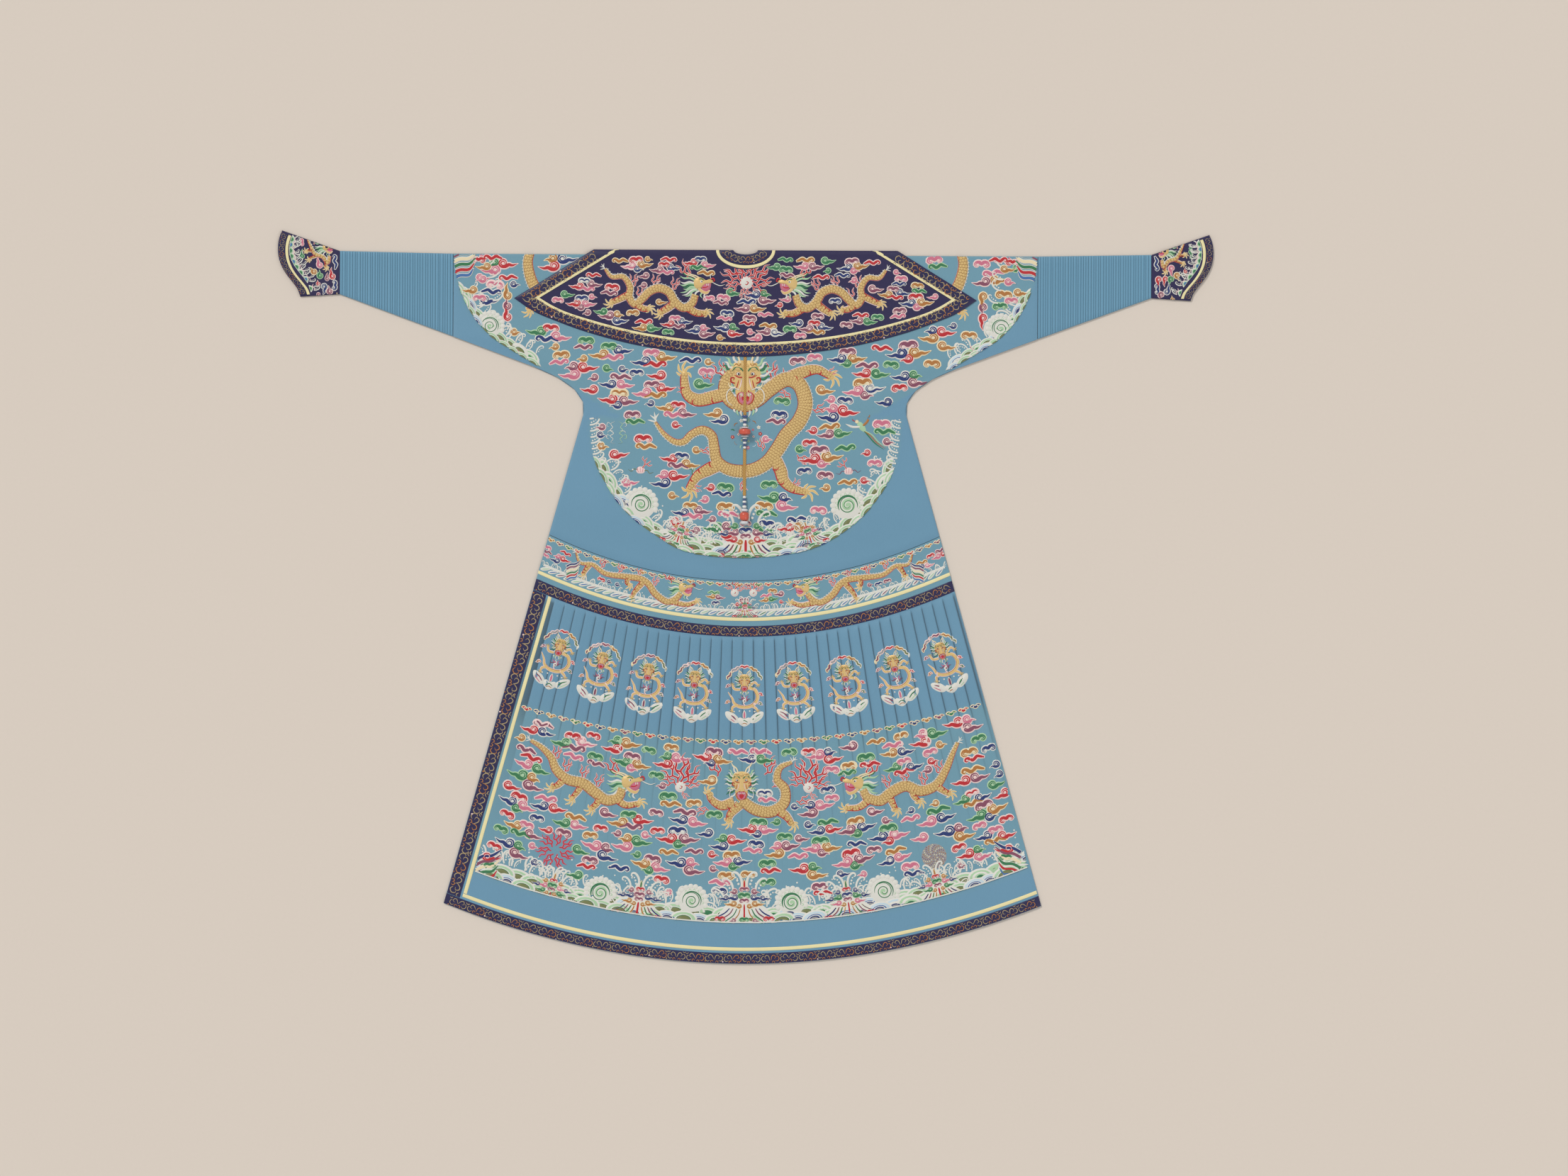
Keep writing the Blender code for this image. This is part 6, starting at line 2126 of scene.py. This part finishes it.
def draw_runner(stitches, field, spine, legs, head, flip, size=1.0, widths=(6, 12, 17, 20, 21, 20, 16), fins=True,
                flames=((0.28, 6), (0.42, 8), (0.56, 7), (0.7, 8))):
    """A dragon in profile from its tail to its head, with legs, flames and mane."""
    for points, leg_widths, turn, back in legs:
        leg(stitches, points, [width * 1.35 for width in leg_widths], turn, 0.95 * size, 0.0, back)
        field.block(curve(points, 6), 13 * size)
        field.block([points[-1]], 20 * size)
    scaled_body(stitches, spine, widths, flip, fins, 0.3)
    field.block(curve(spine, 6), 16 * size)
    tail_fins(Pen(stitches, *spine[0], 0.8 * size, -0.5 * flip, flip))
    for share, away in flames:
        line = curve(spine, 4)
        at = line[int(share * len(line))]
        flame(Pen(stitches, at[0], at[1] - away * size, 0.85 * size, math.radians(flip * (10 + 30 * share)), flip))
        field.block([(at[0], at[1] - 22 * size)], 14 * size)
    flame(Pen(stitches, head[0] - 24 * flip, head[1] - 14 * size, 1.1 * size, math.radians(-20 * flip), flip))
    field.block([(head[0] - 28 * flip, head[1] - 26 * size)], 15 * size)
    head_profile(Pen(stitches, *head, 1.35 * size, 0, flip), 0.9)
    field.block(curve([(head[0] - 28 * flip, head[1]), head, (head[0] + 30 * flip, head[1])], 8), 21 * size)


def draw_skirt(rng):
    """The skirt's medallions, cloud chain, three dragons, clouds and sea."""
    dragons, clouds, water, medallions = Stitches(), Stitches(), Stitches(), Stitches()
    for index, (side, depth) in enumerate(((-384, 832), (-296, 859), (-199, 882), (-102, 897), (2, 904), (105, 896),
                                           (211, 883), (313, 862), (412, 835))):
        turn = skirt_turn(side, depth) * 0.9
        medallion(Pen(medallions, side, depth, 1, turn), ("red", "mauve")[index in (1, 2, 8)])
    start = -1 + 46 / body_half(917)
    cloud_chain(clouds, row_line(917, start, 0.97, 3), 26, 1.15)

    field = Field(-560, 570, 920, 1375, on_lower_skirt)
    draw_dragon_left(dragons, field)
    draw_dragon_right(dragons, field)
    legs = [
        ([(-18, 1122), (-44, 1130), (-64, 1118), (-70, 1104)], [20, 18, 14, 10], -90, -1),
        ([(-6, 1128), (-24, 1146), (-30, 1162)], [19, 16, 10], 100, 1),
        ([(66, 1136), (88, 1150), (102, 1168)], [19, 16, 10], 70, 1),
    ]
    for points, widths, turn, back in legs:
        leg(dragons, points, widths, turn, 1.0, 0.0, back)
        field.block(curve(points, 6), 14)
        field.block([points[-1]], 22)
    spine = [(-4, 1118), (26, 1138), (58, 1142), (84, 1124), (86, 1096), (70, 1076), (76, 1052), (100, 1040)]
    scaled_body(dragons, spine, [20, 22, 22, 20, 17, 12, 6], 1, True, 0.3)
    field.block(curve(spine, 6), 17)
    tail_fins(Pen(dragons, 100, 1040, 0.8, 0.9))
    for side, depth, size, angle in ((-52, 1070, 1.1, -25), (44, 1066, 1.1, 20), (60, 1092, 0.7, 30),
                                     (-70, 1140, 0.7, -100), (110, 1120, 0.8, 80)):
        flame(Pen(dragons, side, depth, size, math.radians(angle)))
        field.block([(side, depth - 12)], 15)
    head_front(Pen(dragons, -3, 1093, 0.98), 0.9)
    field.block([(-3, 1070), (-3, 1096), (-3, 1120)], 34)
    for side in (-128, 135):
        pearl(Pen(dragons, side, 1092), 10.5, ((-70, 0.9), (-35, 1.25), (0, 1.5), (35, 1.25), (70, 0.9), (150, 0.5)))
        field.block([(side, 1094)], 20)
        field.block([(side - 18, 1068), (side, 1058), (side + 18, 1068)], 20)
    weed_round(Pen(dragons, -384, 1223, 0.8), 34)
    seed_round(Pen(dragons, 393, 1232), 26)
    field.block([(-384, 1223), (393, 1232)], 36)

    base = row_line(1248, -1 + 44 / body_half(1248), 0.996, 6)
    sea(water, rng, base, 1, 28)
    shore(water, row_line(1250.8, -1 + 42 / body_half(1250), 0.998, 5), 2.3)
    for side, depth in ((-292, 1303), (-104, 1318), (101, 1321), (290, 1296)):
        flip = 1 if side in (-292, 101) else -1
        spiral_wave(Pen(water, side, depth + 8, 1, 0, flip), 29)
        field.block([(side, depth)], 44)
    for side, depth, size, colours in ((-401, 1290, 0.66, (2, 1, 3)), (-218, 1314, 0.74, (4, 1, 2)),
                                       (4, 1322, 0.84, (2, 4, 1)), (222, 1312, 0.74, (0, 1, 2)),
                                       (410, 1277, 0.66, (2, 1, 3))):
        mountain(Pen(water, side, depth + 46, 1, skirt_turn(side, depth)), size, colours)
        field.block([(side, depth - 6), (side, depth + 14)], 50 * size)
    for side, depth, flip in ((-545, 1262, -1), (566, 1240, 1)):
        stripes(Pen(water, side, depth + 20, 1.2, 0, flip))
        cloud_piece(Pen(water, side - 22 * flip, depth - 24), "comma", 0, 0, 8, -flip, 1, 0.8)
        cloud_piece(Pen(water, side - 26 * flip, depth - 6), "arch", 0, 0, 6, 1, 2, 0.9)
        field.block([(side - 12 * flip, depth)], 46)
    field.block(base[::2], 42)
    foam_tops = row_line(1205, -0.9, 0.98, 15)
    for side, depth in foam_tops:
        if rng.random() < 0.5:
            foam(Pen(water, side, depth + 12, 1, rng.uniform(-0.3, 0.3), rng.choice((-1, 1))), rng.uniform(20, 30))
    spray(water, rng, (-540, 560, 1130, 1330),
          lambda side, depth: 1168 < row_depth(side, depth) < 1212 and on_lower_skirt(side, depth), 520)
    fill_clouds(clouds, field, rng, 1.14, skirt_turn)
    return {"medallions": medallions, "dragons": dragons, "clouds": clouds, "water": water}


def rope(stitches, line, pitch):
    """A twisted rope of pale leaves along a line."""
    reach = np.array([0, *np.cumsum(np.linalg.norm(np.diff(line, axis=0), axis=1))])
    for index in range(int(reach[-1] / pitch)):
        at = (index + 0.5) * pitch
        side, depth = np.interp(at, reach, line[:, 0]), np.interp(at, reach, line[:, 1])
        turn = math.atan2(np.interp(at + 2, reach, line[:, 1]) - depth, np.interp(at + 2, reach, line[:, 0]) - side)
        pen = Pen(stitches, side, depth, 1, turn)
        pen.line([(-10, 4.5), (-4, 2), (4, -2), (10, -4.5)], 7.5, "white", OUTLINE_RISE + 0.25, (0.3, 0.3), None, 2.0)
        pen.line([(-7, 3.2), (0, 0), (7, -3.2)], 2.6, ("pale_green", "blue", "mauve", "green")[index % 4],
                 FILL_RISE + 0.35, (0.3, 0.3), 0.6, 2.0)


def draw_waistband(rng):
    """Two dragons between a cloud chain and a band of foam over a rope."""
    stitches, clouds = Stitches(), Stitches()
    field = Field(-420, 430, 570, 770, lambda side, depth: on_waistband(side, depth)
                  & (row_depth(side, depth) > 590) & (row_depth(side, depth) < 626))
    cloud_chain(clouds, row_line(JACKET_END + 8, -0.985, 0.985, 3), 20, 0.88, 2)
    rope(stitches, row_line(WAIST_PIPING_TOP - 8, -0.99, 0.99, 3), 17)
    stitches.stroke(row_line(WAIST_PIPING_TOP - 14, -0.985, 0.985, 4), np.full(len(row_line(
        WAIST_PIPING_TOP - 14, -0.985, 0.985, 4)), 2.6), "white", OUTLINE_RISE + 0.1)
    crest = row_line(WAIST_PIPING_TOP - 12, -0.985, 0.985, 8.5)
    for index, (side, depth) in enumerate(crest):
        turn = skirt_turn(side, depth) * 0.8
        foam(Pen(stitches, side, depth, 0.8, turn + rng.uniform(-0.3, 0.3), rng.choice((-1, 1))), rng.uniform(13, 19))
    for flip in (-1, 1):
        spine = [(-345, 612), (-336, 633), (-310, 637), (-284, 655), (-243, 661), (-214, 665), (-196, 676), (-182, 696),
                 (-158, 712), (-140, 706), (-130, 694)]
        spine = [(-side * flip, depth) for side, depth in spine]
        legs = [
            ([(-148 * -flip, 712), (-118 * -flip, 718), (-98 * -flip, 712)], [8, 7, 5], 0 if flip < 0 else 180, -flip),
            ([(-206 * -flip, 672), (-222 * -flip, 690), (-230 * -flip, 704)], [8, 7, 5], 100 if flip < 0 else 80,
             -flip),
            ([(-236 * -flip, 662), (-240 * -flip, 672), (-236 * -flip, 678)], [8, 6, 5], 80 if flip < 0 else 100,
             -flip),
            ([(-318 * -flip, 638), (-326 * -flip, 650), (-330 * -flip, 658)], [8, 6, 5], 120 if flip < 0 else 60,
             -flip),
        ]
        draw_runner(stitches, field, spine, legs, (-126 * -flip, 686), -flip, 0.72, (3, 7, 9, 11, 12, 12, 10))
        pearl(Pen(stitches, 19 * flip, 693), 7, ((-50, 0.5), (0, 0.7), (50, 0.5)))
        field.block([(19 * flip, 690)], 16)
        stripes(Pen(stitches, (366 if flip > 0 else -362), 660, 0.62, 0, flip))
    mountain(Pen(stitches, 2, 744), 0.36, (1, 2, 0))
    spray(stitches, rng, (-380, 380, 590, 740), lambda side, depth: 612 < row_depth(side, depth) < 626, 120, 1.3)
    fill_clouds(clouds, field, rng, 0.62, skirt_turn, (900, 4000, 5000, 5000))
    return stitches, clouds


def draw_collar(rng):
    """Two dragons facing a flaming pearl, with clouds."""
    stitches, clouds = Stitches(), Stitches()
    field = Field(-430, 430, 0, 185, on_collar)
    for flip in (-1, 1):
        spine = [(-288, 30), (-274, 46), (-251, 46), (-237, 66), (-238, 88), (-226, 102), (-211, 90), (-197, 76),
                 (-177, 69), (-157, 77), (-145, 96), (-127, 109), (-110, 100), (-103, 82)]
        legs = [
            ([(-120, 108), (-100, 119), (-80, 120)], [11, 10, 8], 0),
            ([(-146, 100), (-162, 112), (-176, 120)], [11, 10, 8], 130),
            ([(-228, 98), (-212, 110), (-198, 112)], [10, 9, 7], 10),
            ([(-238, 82), (-258, 92), (-276, 100)], [10, 9, 7], 165),
        ]
        spine = [(side * -flip, depth) for side, depth in spine]
        turned = [([(side * -flip, depth) for side, depth in points], widths, turn if flip < 0 else 180 - turn, -flip)
                  for points, widths, turn in legs]
        draw_runner(stitches, field, spine, turned, (-96 * -flip, 62), -flip, 0.92, (5, 9, 12, 14, 15, 16, 16, 15, 13))
    pearl(Pen(stitches, 2, 57), 12.4, ((-110, 0.9), (-75, 1.15), (-45, 1.2), (-18, 0.95), (18, 0.95), (45, 1.2),
                                       (75, 1.15), (110, 0.9), (165, 0.6), (195, 0.6)))
    field.block(curve([(-40, 46), (2, 57), (44, 46)], 8), 20)
    fill_clouds(clouds, field, rng, 0.9)
    return stitches, clouds


def draw_cuff(rng, sign):
    """A small dragon among clouds above a band of foam along the piping."""
    stitches, clouds = Stitches(), Stitches()
    inside = on_cuff(sign)
    field = Field(min(834 * sign, 950 * sign), max(834 * sign, 950 * sign), -40, 92, inside)
    spine = [(sign * side, depth) for side, depth in ((900, -30), (893, -14), (884, 2), (868, 8), (858, 20),
                                                      (854, 6))]
    legs = [
        ([(sign * 888, -4), (sign * 900, -4)], [4, 3], 0 if sign > 0 else 180, 1),
        ([(sign * 880, 6), (sign * 896, 12)], [4, 3], 60 if sign > 0 else 120, 1),
        ([(sign * 862, 14), (sign * 861, 29)], [4, 3], 90, 1),
    ]
    draw_runner(stitches, field, spine, legs, (sign * 862, -10), -sign, 0.56, (2, 5, 7, 7, 6), True, ())
    edge = np.array([cuff_edge(share) for share in np.linspace(0.02, 0.98, 10)])
    for index, ((side, depth), (ahead, below)) in enumerate(zip(edge[:-1], edge[1:])):
        turn = math.atan2(below - depth, sign * (ahead - side))
        inset = CUFF_BAND + CUFF_PIPING + 4.5
        length = math.hypot(ahead - side, below - depth)
        x = (side + ahead) / 2 - (below - depth) / length * inset
        y = (depth + below) / 2 + (ahead - side) / length * inset
        pen = Pen(stitches, sign * x, y, 1, turn)
        for share, thread, rise in ((1.0, "white", 0.0), (0.78, "pale_green", 0.3),
                                    (0.5, ("green", "blue")[index % 3 == 1], 0.55)):
            leaf = np.array([(-0.6, 0.1), (-0.3, -0.3), (0, -0.42), (0.3, -0.3), (0.6, 0.1), (0.25, 0.14),
                             (-0.25, 0.14)]) * (share * length, -sign * share * length)
            pen.patch(leaf, thread, OUTLINE_RISE + rise, 1.2)
        curl = pen.inner(0, 7.0 * sign)
        curl.line([(-0.5 * length, 1.2 * sign), (-0.2 * length, -1.6 * sign), (0.15 * length, 1.2 * sign),
                   (0.5 * length, -1.2 * sign)], 1.7, "pale_pink", OUTLINE_RISE, (0.5, 0.5), None, 1.4)
        for shift in (-0.3, 0.25):
            bent = math.radians(-80 * sign + rng.uniform(-28, 28))
            foam(Pen(stitches, sign * (x - 8), y + shift * length, 1, bent, -sign), rng.uniform(11, 16), 0.2)
        field.block([(sign * (x - 6), y)], 11)
    field.block(curve([(sign * 846, -6), (sign * 850, 34)], 5), 7)
    for side, depth, shape, colour, turn in ((874, 24, "comma", 5, 80), (873, 46, "hook", 2, 95), (848, 47, "comma", 1, 85),
                                             (844, 66, "arch", 0, 90), (865, 70, "comma", 0, -80), (853, 78, "hook", 4, 90),
                                             (843, 16, "wave", 0, 84), (886, 38, "hook", 3, 60)):
        cloud_piece(Pen(clouds, sign * side, depth, 1, math.radians(turn)), shape, 0, 0, 4.8, sign, colour, 0.2)
        field.block([(sign * side, depth - 4), (sign * side, depth + 4)], 9)
    fill_clouds(clouds, field, rng, 0.6, lambda side, depth: math.pi / 2, (0, 0, 3000, 3000))
    return stitches, clouds, inside


def draw_scrolls(centre, spacing, size, rng):
    """Curling brocade scrolls along the middle of a band."""
    stitches = Stitches()
    reach = np.array([0, *np.cumsum(np.linalg.norm(np.diff(centre, axis=0), axis=1))])
    count = int(reach[-1] / spacing)
    for index in range(count):
        at = (index + 0.5) * reach[-1] / count
        side, depth = np.interp(at, reach, centre[:, 0]), np.interp(at, reach, centre[:, 1])
        turn = math.atan2(np.interp(at + 1, reach, centre[:, 1]) - depth,
                          np.interp(at + 1, reach, centre[:, 0]) - side)
        pen = Pen(stitches, side, depth, size, turn + rng.uniform(-0.25, 0.25), (-1, 1)[index % 2])
        thread = ("old_gold", "old_gold", "old_gold", "tan")[index % 4]
        pen.line([(-7.5, 2), (-4, -4.5), (0, -5), (1.5, -1), (-1.5, 0.5)], 1.2, thread, 0.25, (0.3, 0.4), None, 1.8)
        pen.line([(-1, 3.5), (3, 5.5), (6.5, 2), (5, -2.5), (2.5, -2)], 1.2, thread, 0.25, (0.3, 0.4), None, 1.8)
        pen.line([(-6.5, 6), (-4.5, 3.5), (-2, 5.5), (-3.5, 7.5)], 1.1, "tan", 0.25, (0.3, 0.4), None, 1.8)
        pen.line([(3, -7), (5.5, -5), (8, -6.5)], 1.1, "old_gold", 0.25, (0.3, 0.4), None, 1.8)
        if index % 3 == 0:
            pen.disc(8, 6.5, 1.2, ("tan", "pale_pink", "old_gold")[index // 3 % 3], 0.25, points=7)
    return stitches


# Camera, lights and floor

def make_camera():
    data = bpy.data.cameras.new("camera")
    data.lens = LENS
    data.sensor_width = SENSOR
    made = bpy.data.objects.new("camera", data)
    distance = FRAME_PIXELS * PIXEL_SIZE * MM * LENS / SENSOR
    made.location = place(VIEW_SIDE, VIEW_DEPTH, distance / MM)
    made.rotation_euler = (0, 0, VIEW_TURN)
    bpy.context.scene.collection.objects.link(made)
    bpy.context.scene.camera = made


def make_sun(name, toward, strength, angle, colour=(1, 1, 1)):
    """A sun that shines from a direction onto the robe, from so far away that it lights every part alike."""
    data = bpy.data.lights.new(name, "SUN")
    data.energy = strength
    data.angle = math.radians(angle)
    data.color = colour
    made = bpy.data.objects.new(name, data)
    made.rotation_euler = Vector(toward).to_track_quat("Z", "Y").to_euler()
    bpy.context.scene.collection.objects.link(made)


def make_stage():
    bpy.ops.mesh.primitive_plane_add(size=12, location=(0, 0, -0.0002))
    floor = bpy.context.object
    floor.name = "floor"
    nodes = Nodes("floor")
    grain = nodes.noise(160, 3.0)
    base = nodes.mix(nodes.math("MULTIPLY", grain, 0.12), linear(FLOOR_CREAM), linear(scaled(FLOOR_CREAM, 0.9)))
    floor.data.materials.append(nodes.finish(base, 0.95, grain, 0.08, 0.0004))
    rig.stage(floor)
    world = bpy.data.worlds.new("world")
    world.use_nodes = True
    background = world.node_tree.nodes["Background"]
    background.inputs["Color"].default_value = (1.0, 0.985, 0.96, 1)
    background.inputs["Strength"].default_value = 0.56
    bpy.context.scene.world = world
    bpy.context.scene.view_settings.view_transform = "Standard"
    make_sun("key", (-0.55, 0.75, 0.95), 1.35, 14, (1, 0.98, 0.95))
    make_sun("fill", (0.8, -0.5, 1.1), 0.4, 40, (0.95, 0.98, 1))


def band_cloth(node, top, end, low, high, ground):
    """The waistband: rows straight down, with a rounded rim."""
    depths = np.array([top, top + 0.5, top + 1.3, *np.arange(top + 10, end - 6, 9), end - 1.3, end - 0.5, end])
    halves = body_half(depths)
    across = edged(np.linspace(-1, 1, 161), float(body_half(top)))
    side, depth = on_rows(halves, depths, across)
    inset = np.minimum(halves[:, None] - np.abs(side), np.minimum(depths - top, end - depths)[:, None])
    made = shell(node + "_cloth", side, depth, low, high - edge_drop(inset, 0.9), [BLUE_SILK], ground=ground)
    return dress(made, "blue_silk", node)


# Flat sizes of the cut pieces, in metres: width, length and area. Sleeves and cuffs are measured all round
Cut = namedtuple("Cut", "width length area")
JACKET_CUT = Cut(1.199, 0.669, 0.564)
WAISTBAND_CUT = Cut(0.858, 0.196, 0.0895)
SKIRT_CUT = Cut(1.226, 0.778, 0.735)
COLLAR_CUT = Cut(0.948, 0.219, 0.157)
SLEEVE_CUT = Cut(0.345, 0.232, 0.062)
CUFF_CUT = Cut(0.272, 0.127, 0.0255)
FLAP_CUT = Cut(0.273, 0.108, 0.0154)
FLAP_MIDDLE_CUT = Cut(0.074, 0.038, 0.002)


def lay_sheet(piece, cut, rests_on=(), with_pieces=()):
    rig.sheet(piece, flat=(cut.width, cut.length), held="laid", rests_on=rests_on, area=cut.area,
             with_pieces=with_pieces)


def lay_scrolls(trims, rng):
    """Brocade scrolls on the dark bands, one piece for each band."""
    edge, piping = collar_lines()
    collar = (collar_strip_line(edge, 0.5) + collar_strip_line(piping, -PIPING / 2 - GAP)) / 2
    turns = np.linspace(0.12, math.pi - 0.12, 40)
    half, drop = (NECKBAND_HALF + NECK_HALF) / 2, (NECKBAND_DROP + NECK_DROP) / 2
    neck = np.stack([-half * np.cos(turns), COLLAR_TOP + drop * np.sin(turns)], axis=1)
    lines = {
        "waist_edging": (row_line(WAIST_SEAM, -0.985, 0.985, 5), 19, 1.3),
        "hem_edging": (row_line(HEM_TOP + HEM_BAND / 2, -0.985, 0.985, 5), 19, 1.25),
        "side_edging": (left_line(SIDE_BAND / 2, SIDE_TOP + 4, SIDE_END - 4), 21, 1.6),
        "collar_edging": (collar[2:-2], 19, 1.5),
        "neckband": (neck, 14, 1.1),
        "cuff_edging_left": (cuff_line(-1, CUFF_BAND / 2), 12, 0.8),
        "cuff_edging_right": (cuff_line(1, CUFF_BAND / 2), 12, 0.8),
    }
    return {name: draw_scrolls(line, spacing, size, rng).finish(name + "_scrolls", Surface([trims[name]]),
                                                               "navy_brocade")
            for name, (line, spacing, size) in lines.items()}


def main():
    make_camera()
    make_stage()
    cords = [make_cord(stretch) for stretch in CORD_STRETCHES]
    beads = {bead.name: make_bead(bead) for bead in BEADS}
    for (braid, path), stretch in zip(cords, CORD_STRETCHES):
        upper = stretch is CORD_STRETCHES[0]
        on_cord = [beads[bead.name] for bead in BEADS if (bead.depth < 450) == upper]
        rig.cord(braid, exit=path[0], length=(stretch.end - stretch.start) * MM, diameter=CORD_WIDTH * MM,
                far_end="fitting", stiffness="limp", lay="loose", path=path, with_pieces=on_cord)
    jacket = make_jacket_back()
    waist = band_cloth("waistband_back", JACKET_END + GAP, WAIST_SEAM - GAP, OVER_BASE, OVER_FACE, 1.0)
    skirt = make_skirt_back()
    collar = make_collar_back()
    sleeves, cuffs = {}, {}
    for hand, sign in (("left", -1), ("right", 1)):
        sleeves[hand] = make_sleeve(hand, sign)
        cuffs[hand] = make_cuff(hand, sign)
    under = {node: under_panel(node, "blue_silk", LINING) for node in ("jacket_front", "waistband_front", "skirt_front")}
    for node in ("collar_front_left", "collar_front_middle", "collar_front_right"):
        under[node] = under_panel(node, "navy_satin", NAVY_SATIN)
    trims = make_trims(Surface([jacket, waist, skirt, collar, *sleeves.values(), *cuffs.values()]))

    rng = random.Random(4)
    scrolls = lay_scrolls(trims, rng)
    on_jacket = Surface([jacket])
    jacket_work = [drawn.finish("jacket_" + name, on_jacket, "blue_silk", on_ground)
                   for name, drawn in zip(("dragon", "clouds", "sea"), draw_jacket(rng))]
    on_waist = Surface([waist])
    waist_work = [drawn.finish("waistband_" + name, on_waist, "blue_silk", on_waistband)
                  for name, drawn in zip(("dragons", "clouds"), draw_waistband(rng))]
    on_pleats = Surface([skirt])
    skirt_work = [drawn.finish("skirt_" + name, on_pleats, "blue_silk", on_skirt)
                  for name, drawn in draw_skirt(rng).items()]
    on_satin = Surface([collar])
    collar_work = [drawn.finish("collar_" + name, on_satin, "navy_satin", on_collar)
                   for name, drawn in zip(("dragons", "clouds"), draw_collar(rng))]

    def pieces_of(*nodes):
        return [piece for node in nodes for piece in (trims[node], scrolls.get(node)) if piece]

    lay_sheet(jacket, JACKET_CUT, [under["jacket_front"]], jacket_work)
    lay_sheet(waist, WAISTBAND_CUT, [under["waistband_front"]], [*waist_work, *pieces_of("waist_piping")])
    lay_sheet(skirt, SKIRT_CUT, [under["skirt_front"]],
              [*skirt_work, *pieces_of("waist_edging", "side_edging", "side_piping", "hem_edging", "hem_piping")])
    lay_sheet(collar, COLLAR_CUT, [jacket],
              [*collar_work, *pieces_of("collar_edging", "collar_piping", "neckband", "neck_piping")])
    for hand, sign in (("left", -1), ("right", 1)):
        dragon, clouds, inside = draw_cuff(rng, sign)
        surface = Surface([cuffs[hand]])
        worked = [dragon.finish(f"cuff_{hand}_dragon", surface, "navy_satin", inside),
                  clouds.finish(f"cuff_{hand}_clouds", surface, "navy_satin", inside)]
        lay_sheet(sleeves[hand], SLEEVE_CUT)
        lay_sheet(cuffs[hand], CUFF_CUT, (), [*worked, *pieces_of(f"cuff_edging_{hand}", f"cuff_piping_{hand}")])
    for node, cut in (("jacket_front", JACKET_CUT), ("waistband_front", WAISTBAND_CUT), ("skirt_front", SKIRT_CUT),
                      ("collar_front_left", FLAP_CUT), ("collar_front_right", FLAP_CUT),
                      ("collar_front_middle", FLAP_MIDDLE_CUT)):
        lay_sheet(under[node], cut)


main()

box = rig.bounds()
with open("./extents.json", "w") as out:
    json.dump({"cad": [list(corner) for corner in CAD_BOX], "visual": [list(corner) for corner in box]}, out)
